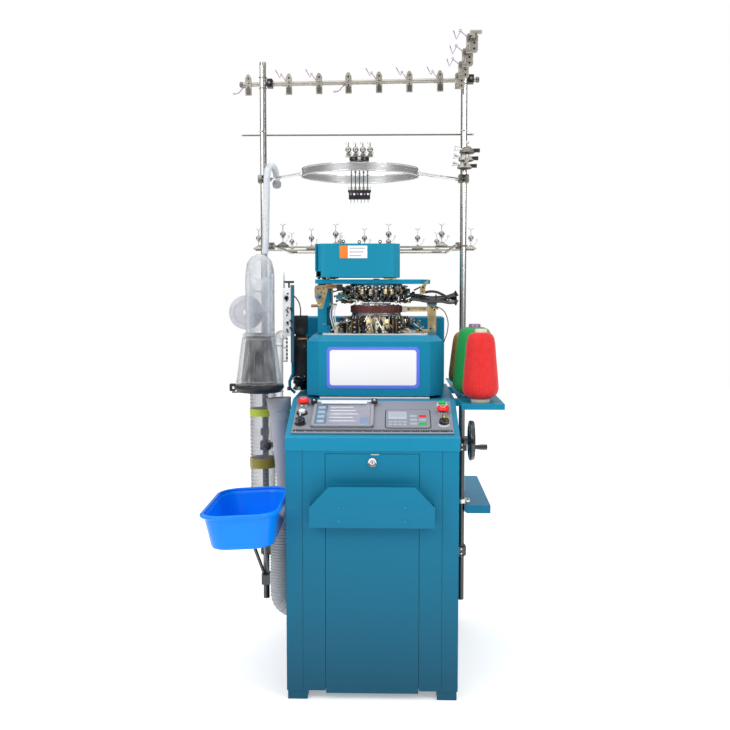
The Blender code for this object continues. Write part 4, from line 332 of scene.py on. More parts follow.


# The edge colours are lighter tints of each finish: wear and painted highlight together.
LOOK = {
    "enamel": finish("machine_enamel", (0.01, 0.25, 0.42), 0.3, vary=0.05, bump=0.05, grain=420.0, broad=2.2,
                     edge_wear_and_highlight=(0.16, 0.52, 0.68), dust=0.03, shine=0.16),
    "cover": finish("cover_enamel", (0.016, 0.275, 0.425), 0.2, vary=0.05, bump=0.02, grain=420.0, broad=2.2,
                    edge_wear_and_highlight=(0.2, 0.56, 0.7), dust=0.03, coat=0.35, shine=0.2, Coat_Roughness=0.06),
    # The cabinet's low colour is painted shade that darkens it towards the floor.
    "cabinet": finish("cabinet_enamel_painted_shade", (0.009, 0.212, 0.365), 0.36, vary=0.06, bump=0.06, grain=420.0,
    broad=1.4,
                      edge_wear_and_highlight=(0.08, 0.36, 0.5), dust=0.02, shine=0.14, low=(0.05, 0.72, (0.011, 0.088, 0.15))),
    # The posts' low colour is painted shade that darkens the steel towards the foot.
    "post": finish("post_steel_painted_shade", (0.84, 0.82, 0.79), 0.22, 1.0, vary=0.08, bump=0.02,
    lines=(260.0, 260.0, 9.0),
                   low=(0.7, 1.25, (0.085, 0.085, 0.085))),
    "white": finish("white_enamel", (0.92, 0.93, 0.94), 0.35, vary=0.02, edge_wear_and_highlight=(0.97, 0.97, 0.97)),
    "grey": finish("fascia_grey", (0.285, 0.3, 0.345), 0.5, metallic=0.1, vary=0.05, bump=0.12, grain=1500.0),
    "steel": finish("bright_steel", (0.74, 0.725, 0.69), 0.2, 1.0, vary=0.1, bump=0.03,
    lines=(260.0, 260.0, 9.0)),
    "dark_steel": finish("dull_steel", (0.24, 0.225, 0.2), 0.36, 1.0, vary=0.15, bump=0.05,
    lines=(260.0, 260.0, 9.0)),
    "ball": finish("ball_steel", (0.4, 0.39, 0.37), 0.16, 1.0, vary=0.1, bump=0.01),
    "band": finish("ring_band_steel", (0.6, 0.6, 0.6), 0.44, 1.0, vary=0.08, bump=0.02,
    lines=(20.0, 20.0, 900.0)),
    "chrome": finish("polished_chrome", (0.66, 0.66, 0.67), 0.08, 1.0, vary=0.05, bump=0.01),
    "zinc": finish("cream_zinc", (0.5, 0.47, 0.41), 0.38, 0.75, vary=0.14, bump=0.08, grain=700.0,
    broad=30.0),
    "gold": finish("gold_zinc", (0.7, 0.55, 0.3), 0.3, 0.75, vary=0.18, bump=0.05, broad=34.0,
                   edge_wear_and_highlight=(0.85, 0.72, 0.45)),
    "bronze": finish("bronze", (0.36, 0.2, 0.09), 0.34, 0.9, vary=0.15, broad=40.0),
    "brown": finish("brown_ring", (0.12, 0.036, 0.034), 0.38, 0.25, vary=0.18, bump=0.06, broad=26.0,
                    edge_wear_and_highlight=(0.3, 0.14, 0.12)),
    "black": finish("black_plastic", (0.012, 0.012, 0.014), 0.42, vary=0.3, bump=0.12, grain=1300.0,
                    edge_wear_and_highlight=(0.05, 0.05, 0.055)),
    "gloss_black": finish("gloss_black", (0.008, 0.008, 0.009), 0.14, vary=0.3, bump=0.02, coat=0.7),
    "dark": finish("dark_iron", (0.04, 0.04, 0.044), 0.36, 0.75, vary=0.3, bump=0.1, broad=40.0,
                   edge_wear_and_highlight=(0.16, 0.16, 0.17)),
    "teal_block": finish("teal_block", (0.02, 0.15, 0.22), 0.3, vary=0.15, broad=30.0, coat=0.3),
    "ivory": finish("ivory_plastic", (0.82, 0.76, 0.58), 0.4, vary=0.08, broad=20.0),
    "pale": finish("pale_plastic", (0.82, 0.84, 0.87), 0.42, vary=0.06, bump=0.08, grain=700.0, broad=20.0,
                   Subsurface_Weight=0.1),
    "red": finish("red_button", (0.88, 0.02, 0.012), 0.25, vary=0.06, shine=0.35),
    "green": finish("green_button", (0.004, 0.56, 0.1), 0.24, vary=0.06, shine=0.3),
    "yellow": finish("yellow_plastic", (0.78, 0.56, 0.03), 0.35, vary=0.06),
    "orange": finish("orange_label", (0.92, 0.22, 0.02), 0.45, vary=0.05),
    "paper": finish("label_paper", (0.97, 0.97, 0.98), 0.5, vary=0.01, grain=1500.0),
    "violet": finish("plate_border", (0.13, 0.2, 0.92), 0.4, vary=0.05),
    "pink": finish("violet_wire", (0.38, 0.2, 0.38), 0.3, 0.2, vary=0.2),
    "core": finish("cream_core", (0.8, 0.72, 0.58), 0.55, vary=0.06),
    "basin": finish("blue_basin", (0.0006, 0.245, 1.0), 0.16, vary=0.04, bump=0.02, broad=5.0, shine=0.24),
    "hose": finish("grey_hose", (0.43, 0.435, 0.455), 0.5, vary=0.08, bump=0.08, broad=8.0),
    "screen": finish("screen_grey", (0.27, 0.27, 0.36), 0.18, vary=0.1, broad=20.0, shine=0.3),
    "screen_blue": finish("screen_blue", (0.02, 0.16, 0.3), 0.18, vary=0.1, broad=20.0, shine=0.3),
    "key": finish("key_grey", (0.42, 0.45, 0.52), 0.4, vary=0.05),
    "window": finish("keypad_window", (0.44, 0.54, 0.66), 0.25, vary=0.05, coat=0.5),
    "copper": finish("copper_wire", (0.5, 0.22, 0.1), 0.35, 0.9, vary=0.2),
    "blue": finish("blue_knob", (0.02, 0.17, 0.42), 0.3, vary=0.1, coat=0.4),
    "olive": finish("olive_band", (0.3, 0.24, 0.03), 0.45, vary=0.2, broad=30.0),
    "lime": finish("lime_band", (0.52, 0.62, 0.06), 0.45, vary=0.2, broad=30.0),
    "duct": clear_plastic("clear_duct", (0.8, 0.84, 0.9), 0.1, 0.62),
    "tube": clear_plastic("clear_tube", (0.31, 0.325, 0.36), 0.34, 0.84, 0.12),
    "cone": clear_plastic("clear_cone", (0.8, 0.84, 0.88), 0.02, 0.42),
    "disc": clear_plastic("violet_disc", (0.5, 0.5, 0.6), 0.4, 0.8, 0.12),
    "flap": clear_plastic("clear_flap", (0.8, 0.83, 0.9), 0.03, 0.22),
}


# ---------------------------------------------------------------- modelling
def clear_selection():
    if bpy.context.object and bpy.context.object.mode != "OBJECT":
        bpy.ops.object.mode_set(mode="OBJECT")
    bpy.ops.object.select_all(action="DESELECT")


def settle():
    """The object's place, turn and scale go into its mesh."""
    bpy.ops.object.transform_apply(location=True, rotation=True, scale=True)


def at(x, y, z):
    """A point given from the middle of the cabinet's front, in the frame of the model."""
    return ORIGIN + Vector((x, y, z))


def keep(look):
    """The part just made takes its finish and joins the piece that is being made."""
    part = bpy.context.object
    part.data.materials.clear()
    part.data.materials.append(LOOK[look])
    PARTS.append(part)
    return part


def soften(amount, steps=2):
    bpy.ops.object.mode_set(mode="EDIT")
    bpy.ops.mesh.select_all(action="SELECT")
    bpy.ops.mesh.bevel(offset=amount, segments=steps, affect="EDGES", clamp_overlap=True)
    bpy.ops.object.mode_set(mode="OBJECT")


def block(look, x, y, z, soft=0.001, turn=(0.0, 0.0, 0.0), steps=2):
    """A box with softened edges between two limits on each axis, turned in degrees about its middle."""
    clear_selection()
    middle = at((x[0] + x[1]) / 2, (y[0] + y[1]) / 2, (z[0] + z[1]) / 2)
    angles = tuple(math.radians(a) for a in turn)
    bpy.ops.mesh.primitive_cube_add(size=1.0, location=middle, rotation=angles)
    bpy.ops.transform.resize(value=(x[1] - x[0], y[1] - y[0], z[1] - z[0]), orient_type="LOCAL")
    settle()
    if soft:
        soften(soft, steps)
    return keep(look)


def aim(start, end):
    """Middle, length and turn of a round bar between two points."""
    first, last = at(*start), at(*end)
    way = last - first
    return (first + last) / 2, way.length, way.to_track_quat("Z", "Y").to_euler()


def bar(look, start, end, radius, tip=None, sides=20, soft=0.0):
    """A round bar or a cone between two points."""
    clear_selection()
    middle, length, turn = aim(start, end)
    bpy.ops.mesh.primitive_cone_add(vertices=sides, radius1=radius, radius2=radius if tip is None else tip,
            depth=length, location=middle, rotation=turn)
    settle()
    if soft:
        clear_selection()
        bpy.context.object.select_set(True)
        bevel = bpy.context.object.modifiers.new("soft_edge", "BEVEL")
        bevel.width = soft
        bevel.segments = 2
        bevel.limit_method = "ANGLE"
        bpy.ops.object.modifier_apply(modifier=bevel.name)
    return keep(look)


def ball(look, centre, radius, squash=(1.0, 1.0, 1.0), sides=20):
    clear_selection()
    bpy.ops.mesh.primitive_uv_sphere_add(segments=sides, ring_count=sides // 2, radius=radius,
            location=at(*centre))
    bpy.ops.transform.resize(value=squash)
    settle()
    return keep(look)


def ring(look, centre, radius, wire, axis=(0, 0, 1), sides=40, wire_sides=10):
    clear_selection()
    turn = Vector(axis).to_track_quat("Z", "Y").to_euler()
    bpy.ops.mesh.primitive_torus_add(major_segments=sides, minor_segments=wire_sides, major_radius=radius,
            minor_radius=wire, location=at(*centre), rotation=turn)
    settle()
    return keep(look)


def turned(look, centre, profile, axis=(0, 0, 1), sides=48, closed=False):
    """A turned form: one vertex is drawn along the profile of (reach, rise) and spun about the axis."""
    clear_selection()
    bpy.ops.mesh.primitive_plane_add(size=0.01, location=(0, 0, 0))
    bpy.ops.object.mode_set(mode="EDIT")
    bpy.ops.mesh.select_all(action="SELECT")
    bpy.ops.mesh.merge(type="CENTER")
    bpy.ops.mesh.select_all(action="SELECT")
    path = list(profile) + ([profile[0]] if closed else [])
    bpy.ops.transform.translate(value=(path[0][0], 0.0, path[0][1]))
    for last, point in zip(path, path[1:]):
        bpy.ops.mesh.extrude_region_move(
            TRANSFORM_OT_translate={"value": (point[0] - last[0], 0.0, point[1] - last[1])})
    bpy.ops.mesh.select_all(action="SELECT")
    bpy.ops.mesh.spin(steps=sides, angle=2 * math.pi, center=(0, 0, 0), axis=(0, 0, 1))
    bpy.ops.mesh.select_all(action="SELECT")
    bpy.ops.mesh.remove_doubles(threshold=0.000004)
    bpy.ops.mesh.normals_make_consistent(inside=False)
    bpy.ops.object.mode_set(mode="OBJECT")
    made = bpy.context.object
    made.rotation_euler = Vector(axis).to_track_quat("Z", "Y").to_euler()
    made.location = at(*centre)
    settle()
    return keep(look)


def mesh_from(curve):
    """The curve's form as a mesh, which is the active object."""
    made = bpy.data.objects.new(curve.name, curve)
    bpy.context.scene.collection.objects.link(made)
    made.select_set(True)
    bpy.context.view_layer.objects.active = made
    bpy.ops.object.convert(target="MESH")


def pipe(look, points, radius, sides=3, smooth=True, resolution=8, closed=False, hollow=0.0):
    """A bent bar or hose through the points; hollow gives an open tube with that wall."""
    clear_selection()
    curve = bpy.data.curves.new("bent_bar", "CURVE")
    curve.dimensions = "3D"
    curve.bevel_depth = radius
    curve.bevel_resolution = sides
    curve.resolution_u = resolution
    curve.use_fill_caps = not closed and not hollow
    if smooth:
        spline = curve.splines.new("BEZIER")
        spline.bezier_points.add(len(points) - 1)
        for knot, point in zip(spline.bezier_points, points):
            knot.co = at(*point)
            knot.handle_left_type = "AUTO"
            knot.handle_right_type = "AUTO"
    else:
        spline = curve.splines.new("POLY")
        spline.points.add(len(points) - 1)
        for knot, point in zip(spline.points, points):
            knot.co = (*at(*point), 1.0)
    spline.use_cyclic_u = closed
    mesh_from(curve)
    if hollow:
        wall = bpy.context.object.modifiers.new("wall", "SOLIDIFY")
        wall.thickness = hollow
        bpy.ops.object.modifier_apply(modifier=wall.name)
    return keep(look)


def filled_outline(outline, half=0.0, soft=0.0):
    """A flat mesh of the outline's form; half is its thickness to each side, and soft its rounded edge."""
    clear_selection()
    curve = bpy.data.curves.new("outline", "CURVE")
    curve.dimensions = "2D"
    curve.fill_mode = "BOTH"
    curve.extrude = half
    curve.bevel_depth = soft
    curve.bevel_resolution = 1
    spline = curve.splines.new("POLY")
    spline.points.add(len(outline) - 1)
    for knot, point in zip(spline.points, outline):
        knot.co = (point[0], point[1], 0.0, 1.0)
    spline.use_cyclic_u = True
    mesh_from(curve)


def sheet_shape(look, outline, place, thick, soft=0.0005):
    """A flat plate of the outline's form; place takes its local points into the model."""
    filled_outline(outline, max(thick / 2 - soft, 0.00005), soft)
    bpy.context.object.matrix_world = place
    settle()
    return keep(look)


def rounded(width, height, corner, steps=6, centre=(0.0, 0.0)):
    """Outline of a rectangle with round corners."""
    points = []
    for turn, (sx, sy) in enumerate(((1, 1), (-1, 1), (-1, -1), (1, -1))):
        for step in range(steps + 1):
            angle = math.radians(90 * turn + 90 * step / steps)
            points.append((centre[0] + sx * (width / 2 - corner) + corner * math.cos(angle),
                    centre[1] + sy * (height / 2 - corner) + corner * math.sin(angle)))
    return points


def facing_front(x, y, z):
    """Local X to the right, local Y up, seen from the front."""
    return Matrix.Translation(at(x, y, z)) @ Matrix.Rotation(math.radians(90), 4, "X")


def piece(name, body, slot, *nodes, angle=32.0):
    """Everything made since the last piece becomes one object at the origin that rides on the body."""
    clear_selection()
    for part in PARTS:
        part.select_set(True)
    bpy.context.view_layer.objects.active = PARTS[0]
    if len(PARTS) > 1:
        bpy.ops.object.join()
    PARTS.clear()
    made = bpy.context.object
    made.name = name
    made.data.name = name
    settle()
    bpy.ops.object.shade_smooth_by_angle(angle=math.radians(angle))
    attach(made, body)
    if nodes:
        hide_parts(*nodes)


# ---------------------------------------------------------------- finishes on the CAD nodes
SLOT_LOOK = {
    "teal_paint": "enamel", "plain_steel": "steel", "bright_chrome": "chrome", "cream_steel": "zinc",
    "gold_zinc": "gold", "brown_ring": "brown", "black_plastic": "black", "black_gloss": "gloss_black",
    "grey_panel": "grey", "white_plastic": "pale", "white_steel": "white", "red_plastic": "red",
    "green_plastic": "green", "red_yarn": "core", "green_yarn": "core", "orange_yarn": "core",
    "blue_plastic": "basin", "clear_plastic": "duct", "dark_mesh": "dark", "grey_hose": "hose",
}
NODE_LOOK = {
    "cabinet_body": "cabinet", "front_door": "cabinet", "top_cover": "cover", "left_post": "post",
    "right_post": "post", "take_off_tube": "tube", "hopper_cover": "cone",
    "display_flap": "flap", "console_housing": "enamel", "hopper_base": "dark",
}


def finish_nodes():
    """Every CAD node takes the finish of its slot, or its own where it has one."""
    for name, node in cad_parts.items():
        for slot in node.material_slots:
            slot.material = LOOK[NODE_LOOK.get(name) or SLOT_LOOK[slot.material.name]]


finish_nodes()


# ---------------------------------------------------------------- sloping console
SLOPE = math.radians(18.98)
SLOPE_FOOT = Vector((0.0, 0.0189, 0.8135))


def on_slope(u, v, height):
    """A point of the machine given across, up and square off the sloping panel."""
    return (u, SLOPE_FOOT.y + v * math.cos(SLOPE) - height * math.sin(SLOPE),
            SLOPE_FOOT.z + v * math.sin(SLOPE) + height * math.cos(SLOPE))


def slab(look, u, v, height, corner=0.002, soft=0.0004):
    """A flat plate on the slope between two limits across, up and off it."""
    middle = on_slope((u[0] + u[1]) / 2, (v[0] + v[1]) / 2, (height[0] + height[1]) / 2)
    place = Matrix.Translation(at(*middle)) @ Matrix.Rotation(SLOPE, 4, "X")
    thick = height[1] - height[0]
    return sheet_shape(look, rounded(u[1] - u[0], v[1] - v[0], corner), place, thick, min(soft, thick / 3))


def stud(look, u, v, profile, sides=32):
    """A turned form that stands square off the slope."""
    return turned(look, on_slope(u, v, 0.0), profile, (0, -math.sin(SLOPE), math.cos(SLOPE)), sides)


def make_hinge_strip():
    """The toothed piano hinge along the panel's lower edge."""
    pitch = 0.00754
    teeth = 64
    outline = [(-0.241, -0.0035)]
    outline.append((0.2416, -0.0035))
    for tooth in range(teeth):
        x = 0.2416 - tooth * pitch
        outline += [(x, 0.003), (x - pitch * 0.5, 0.018)]
    outline.append((-0.241, 0.003))
    place = Matrix.Translation(at(*on_slope(0.0, 0.0065, 0.0042))) @ Matrix.Rotation(SLOPE, 4, "X")
    sheet_shape("black", outline, place, 0.0014, 0.0002)
    for spot in range(17):
        u = -0.232 + spot * 0.029
        stud("steel", u, 0.0065, [(0, 0.0058), (0.0016, 0.0056), (0.0022, 0.0049)], 12)
    piece("panel_hinge_strip", "panel", "black_plastic")


def make_display_unit():
    """The display in its frame, with rows and keys on the screen, and the clear cover that lifts off it."""
    u, v, top = -0.093, 0.118, 0.0113
    slab("grey", (u - 0.095, u + 0.095), (v - 0.084, v + 0.084), (0.0036, 0.007), 0.004)
    for side in (-1, 1):
        slab("grey", (u + side * 0.0905 - 0.0045, u + side * 0.0905 + 0.0045), (v - 0.084, v + 0.084),
                (0.006, top), 0.002)
        slab("grey", (u - 0.095, u + 0.095), (v + side * 0.0795 - 0.0045, v + side * 0.0795 + 0.0045),
                (0.006, top), 0.002)
    slab("black", (u - 0.086, u + 0.086), (v - 0.075, v + 0.075), (0.0066, 0.0076), 0.002)
    slab("screen", (u - 0.05, u + 0.083), (v - 0.07, v + 0.071), (0.0072, 0.0082), 0.002)
    slab("screen_blue", (u - 0.083, u - 0.054), (v - 0.07, v + 0.071), (0.0072, 0.0083), 0.002)
    for row in range(5):
        slab("paper", (u - 0.042, u + 0.03 + 0.008 * (row % 3)),
                (v + 0.048 - row * 0.024, v + 0.052 - row * 0.024),
                (0.008, 0.0084), 0.001)
    for row in range(4):
        slab("window", (u - 0.079, u - 0.058), (v + 0.04 - row * 0.032, v + 0.056 - row * 0.032),
                (0.008, 0.0085), 0.002)
    slab("blue", (u + 0.055, u + 0.078), (v - 0.062, v - 0.02), (0.008, 0.0085), 0.002)
    piece("display_unit", "panel", "black_plastic", "display")
    lid = 0.0116
    slab("flap", (u - 0.093, u + 0.093), (v - 0.088, v + 0.082), (lid, lid + 0.002), 0.005)
    slab("paper", (u - 0.072, u + 0.072), (v + 0.066, v + 0.078), (lid + 0.0018, lid + 0.003), 0.002)
    for side in (-1, 1):
        x = u + side * 0.096
        slab("black", (x - 0.009, x + 0.009), (v + 0.068, v + 0.092), (lid, lid + 0.008), 0.004, 0.001)
        stud("chrome", x, v + 0.08, [(0, lid + 0.0105), (0.003, lid + 0.01), (0.0042, lid + 0.008)], 16)
    slab("pale", (u - 0.099, u + 0.099), (v + 0.079, v + 0.087), (lid + 0.0006, lid + 0.0045), 0.002, 0.001)
    piece("display_cover", "flap", "clear_plastic", "display_flap")


def make_keypad():
    """The raised keypad with its window, six large keys and two rows of small ones."""
    u, v = 0.108, 0.096
    slab("black", (u - 0.07, u + 0.07), (v - 0.065, v + 0.065), (0.0036, 0.0049), 0.011)
    slab("grey", (u - 0.0675, u + 0.0675), (v - 0.0625, v + 0.0625), (0.004, 0.0054), 0.009)
    slab("window", (u - 0.06, u - 0.004), (v - 0.004, v + 0.046), (0.005, 0.0059), 0.004)
    slab("key", (u - 0.056, u - 0.008), (v + 0.01, v + 0.04), (0.0056, 0.0062), 0.003)
    for column in range(2):
        for row in range(3):
            x, y = u + 0.006 + column * 0.028, v - 0.044 + row * 0.026
            look = "red" if (column, row) == (1, 2) else ("green" if (column, row) == (1, 0) else "key")
            slab(look, (x, x + 0.022), (y, y + 0.014), (0.0048, 0.0066), 0.003, 0.0006)
    for column in range(4):
        x = u - 0.059 + column * 0.0145
        slab("key", (x, x + 0.011), (v - 0.048, v - 0.038), (0.0048, 0.0064), 0.002, 0.0005)
        slab("key", (x, x + 0.011), (v - 0.03, v - 0.02), (0.0048, 0.0064), 0.002, 0.0005)
    piece("keypad_face", "panel", "grey_panel")


def make_controls():
    """The six buttons and knobs at the panel's sides, on their collars."""
    left, right, base = -0.2225, 0.2175, 0.0036
    dome = [(0, 0.024), (0.006, 0.0237), (0.0125, 0.0225), (0.0172, 0.0202), (0.0195, 0.0172), (0.02, 0.015),
            (0.0192, 0.0132), (0.012, 0.0124), (0.01, 0.012), (0.01, 0.004)]
    for name, body, u, v in (("left_stop_head", "left_stop", left, 0.196),
            ("right_stop_head", "right_stop", right, 0.14)):
        stud("red", u, v, [(r, h + base) for r, h in dome])
        ring("white", on_slope(u, v, base + 0.0236), 0.0085, 0.0006, (0, -math.sin(SLOPE), math.cos(SLOPE)),
                24, 6)
        piece(name, body, "red_plastic", body + "_button")
    collar = [(0.0125, 0.0074), (0.0158, 0.0074), (0.0166, 0.0064), (0.0168, 0.0012), (0.018, 0.0004),
            (0.018, 0.0)]
    for u, v, look in ((left, 0.196, "chrome"), (left, 0.132, "black"), (left, 0.062, "black"),
            (right, 0.196, "pale"), (right, 0.14, "chrome"), (right, 0.058, "pale")):
        scale = 0.56 if look == "black" and v < 0.1 else 0.8
        stud(look, u, v, [(r, h * scale + base - 0.0004) for r, h in collar])
    piece("button_collars", "panel", "bright_chrome")
    button = [(0, 0.014), (0.005, 0.0138), (0.0085, 0.013), (0.0104, 0.0112), (0.0106, 0.005), (0.0106, 0.0)]
    for name, body, look, u, v, node in (("reset_cap", "reset", "white", left, 0.132, "reset_button"),
            ("start_cap", "start", "green", right, 0.196, "start_button")):
        stud(look, u, v, [(r, h + base) for r, h in button])
        piece(name, body, "white_plastic" if look == "white" else "green_plastic", node)
    skirt = [(0, 0.0182), (0.0128, 0.0182), (0.0146, 0.0172), (0.0152, 0.015), (0.016, 0.005),
            (0.016, 0.0044)]
    for name, body, look, u, v, reach, node in (("rotary_grip", "selector", "black", left, 0.062, 0.019,
            "selector_knob"),
            ("mode_grip", "mode", "yellow", right, 0.058, 0.0145, "mode_selector")):
        stud("gloss_black", u, v, [(r, h + base) for r, h in skirt], 28)
        slab("black", (u - 0.0046, u + 0.0046), (v - reach, v + reach), (base + 0.016, base + 0.0262), 0.004,
                0.0012)
        slab("white" if look == "black" else "yellow", (u - 0.0012, u + 0.0012),
                (v + 0.001, v + reach - 0.001),
                (base + 0.0258, base + 0.0266), 0.0006, 0.0002)
        if look == "yellow":
            stud("yellow", u, v, [(0, base + 0.0272), (0.004, base + 0.027), (0.0044, base + 0.0262)], 20)
        piece(name, body, "black_plastic", node)


def make_lock():
    """The chrome cam lock of the door, with its key slot and tongue."""
    x, z = 0.0, 0.731
    face = [(0, 0.0), (0.006, 0.0), (0.0064, 0.0006), (0.011, 0.001), (0.0126, 0.0002), (0.0138, 0.0016),
            (0.014, 0.0078)]
    turned("chrome", (x, -0.0082, z), [(r, -h) for r, h in face], FRONT, 40)
    block("black", (x - 0.0011, x + 0.0011), (-0.0086, -0.0078), (z - 0.0044, z + 0.0044), 0.0003)
    bar("chrome", (x, -0.004, z), (x, 0.021, z), 0.0108, sides=28)
    block("steel", (-0.008, 0.029), (0.0206, 0.0234), (z - 0.0068, z + 0.0068), 0.0008)
    piece("cam_lock", "lock", "bright_chrome", "door_lock")


def make_door_details():
    """The rivets of the door's pocket and the gasket at the foot of the bed."""
    block("ivory", (-0.004, 0.02), (-0.001, 0.0008), (0.753, 0.7552), 0.0004)
    for x in (-0.098, 0.098):
        for z in (0.563, 0.604):
            turned("enamel", (x, -0.0516, z), [(0, 0.0012), (0.003, 0.0009), (0.0042, 0.0)], FRONT, 16)
    piece("door_fittings", "door", "teal_paint")
    block("pale", (-0.176, 0.18), (0.262, 0.2695), (0.8936, 0.899), 0.0008)
    piece("bed_gasket", "machine", "white_plastic")


make_hinge_strip()
make_display_unit()
make_keypad()
make_controls()
make_lock()
make_door_details()


# ---------------------------------------------------------------- bed and nameplate
def make_nameplate():
    """A plain white plate with a blue border and no lettering."""
    x, z = -0.003, 0.994
    sheet_shape("violet", rounded(0.3, 0.134, 0.014), facing_front(x, 0.269, z), 0.002, 0.0005)
    sheet_shape("paper", rounded(0.28, 0.114, 0.009), facing_front(x, 0.2678, z), 0.0016, 0.0004)
    piece("nameplate", "machine", "white_plastic")


def make_bed_details():
    """Socket screws in the corners of the bed plate."""
    for x, y in ((-0.158, 0.342), (0.16, 0.342), (-0.158, 0.614), (0.16, 0.614)):
        turned("steel", (x, y, 1.101), [(0, 0.0034), (0.0036, 0.0034), (0.0044, 0.0026), (0.0044, 0.0)],
                sides=20)
        block("black", (x - 0.0014, x + 0.0014), (y - 0.0014, y + 0.0014), (1.104, 1.1046), 0.0)
    piece("bed_screws", "machine", "plain_steel")


make_nameplate()
make_bed_details()


# ---------------------------------------------------------------- yarn cones
# piece, body, node, slot, colour of the yarn, place across and back, radius, height, finish of the core
CONES = (
    ("red_yarn_cone", "cone_red", "red_cone", "red_yarn", (0.92, 0.014, 0.014), 0.34, 0.215, 0.0575, 0.232,
        "core"),
    ("green_yarn_cone", "cone_green", "green_cone", "green_yarn", (0.004, 0.42, 0.085), 0.332, 0.36, 0.0715,
        0.243, "pink"),
    ("orange_yarn_cone", "cone_orange", "orange_cone", "orange_yarn", (0.98, 0.34, 0.03), 0.336, 0.7, 0.07,
        0.215, "core"),
)
CONE_PLATE_TOP = 0.8902


def make_yarn_cones():
    """Three wound cones on their cores, and the pegs they stand over."""
    for name, body, node, slot, look, x, y, radius, height, band in CONES:
        wound = name.replace("_cone", "")
        LOOK[wound] = yarn(wound, look, x, y)
        z = CONE_PLATE_TOP + 0.0001
        body_profile = [
            (0.0195, height - 0.012), (radius * 0.42, height - 0.011), (radius * 0.62, height - 0.017),
            (radius * 0.735, height - 0.029), (radius * 0.79, height - 0.045), (radius * 0.84, height * 0.66),
            (radius * 0.9, height * 0.5), (radius * 0.955, height * 0.35), (radius * 0.992, height * 0.24),
            (radius, height * 0.19), (radius * 0.975, height * 0.145), (radius * 0.9, height * 0.105),
            (radius * 0.68, 0.015), (radius * 0.55, 0.0105), (0.029, 0.01),
        ]
        turned(wound, (x, y, z), body_profile, sides=56)
        core = [(0.029, 0.013), (0.03, 0.01), (0.0305, 0.002), (0.03, 0.0), (0.027, 0.0),
                (0.016, height - 0.0004), (0.018, height), (0.0192, height - 0.002), (0.0196, height - 0.013)]
        turned(band, (x, y, z), core, sides=40)
        piece(name, body, slot, node, angle=60)
    for *_, x, y, _, _, _ in CONES:
        turned("steel", (x, y, CONE_PLATE_TOP), [(0, 0.03), (0.003, 0.029), (0.006, 0.004), (0.012, 0.001),
                (0.012, 0.0)], sides=24)
    for x in (0.3, 0.345, 0.39):
        turned("steel", (x, 0.166, 0.8868), [(0, -0.006), (0.005, -0.006), (0.0058, -0.005), (0.0058, 0.0)],
                sides=6)
    piece("cone_pegs", "machine", "plain_steel")


make_yarn_cones()


# ---------------------------------------------------------------- sock take-off at the left
HOPPER = (-0.3775, 0.3)
TAKE_OFF = (-0.386, 0.45)


def ribs(look, points, radius, wire, pitch, first=0.0):
    """Rings round a path of straight runs, at an even pitch."""
    spots = [Vector(p) for p in points]
    travelled, due = 0.0, first
    for start, end in zip(spots, spots[1:]):
        way = end - start
        length = way.length
        while due <= travelled + length:
            place = start + way * ((due - travelled) / length)
            ring(look, tuple(place), radius, wire, tuple(way), 28, 6)
            due += pitch
        travelled += length


def arc(centre, radius, start, end, steps, axis="x"):
    """Points on an arc; the first co-ordinate runs along the given axis and the second is up."""
    points = []
    for step in range(steps + 1):
        turn = math.radians(start + (end - start) * step / steps)
        reach, rise = radius * math.cos(turn), radius * math.sin(turn)
        if axis == "x":
            points.append((centre[0] + reach, centre[1], centre[2] + rise))
        else:
            points.append((centre[0], centre[1] + reach, centre[2] + rise))
    return points


def make_duct():
    """The clear inverted U with its beads, and the round disc on its pin."""
    radius = 0.075
    arc_z = 1.365 - 0.043 - radius
    front, rear = (HOPPER[0], HOPPER[1], 1.096), (TAKE_OFF[0], TAKE_OFF[1], 1.102)
    points = [front, (front[0], front[1], 1.17), (front[0], front[1], arc_z)]
    for step in range(1, 12):
        turn = math.pi * step / 12
        points.append((front[0] + (rear[0] - front[0]) * step / 12, front[1] + radius * (1 - math.cos(turn)),
                arc_z + radius * math.sin(turn)))
    points += [(rear[0], rear[1], arc_z), (rear[0], rear[1], 1.17), rear]
    pipe("duct", points, 0.043, 5, False, hollow=0.0022)
    ring("duct", (front[0], front[1], 1.176), 0.0432, 0.002, sides=40, wire_sides=8)
    ring("duct", (front[0], front[1], 1.1), 0.0436, 0.0022, sides=40, wire_sides=8)
    ring("duct", (rear[0], rear[1], 1.24), 0.0432, 0.002, sides=40, wire_sides=8)
    x, y, z = -0.43, 0.378, 1.17
    turned("disc", (x, y, z), [(0, 0.002), (0.012, 0.003), (0.054, 0.0026), (0.0574, 0.0008),
            (0.0574, -0.0012),
            (0.054, -0.002), (0, -0.002)], FRONT, 48)
    ring("disc", (x, y - 0.0016, z), 0.04, 0.001, (0, 1, 0), 48, 6)
    turned("pale", (x, y - 0.003, z), [(0, 0.004), (0.007, 0.0036), (0.0092, 0.001), (0.0092, 0.0)], FRONT,
            24)
    bar("steel", (x, y, z), (x + 0.006, y + 0.03, z), 0.0042)
    bar("steel", (x + 0.006, y + 0.03, z), (x + 0.016, 0.424, z), 0.0042)
    piece("clear_return_duct", "machine", "clear_plastic", "u_duct", angle=50)


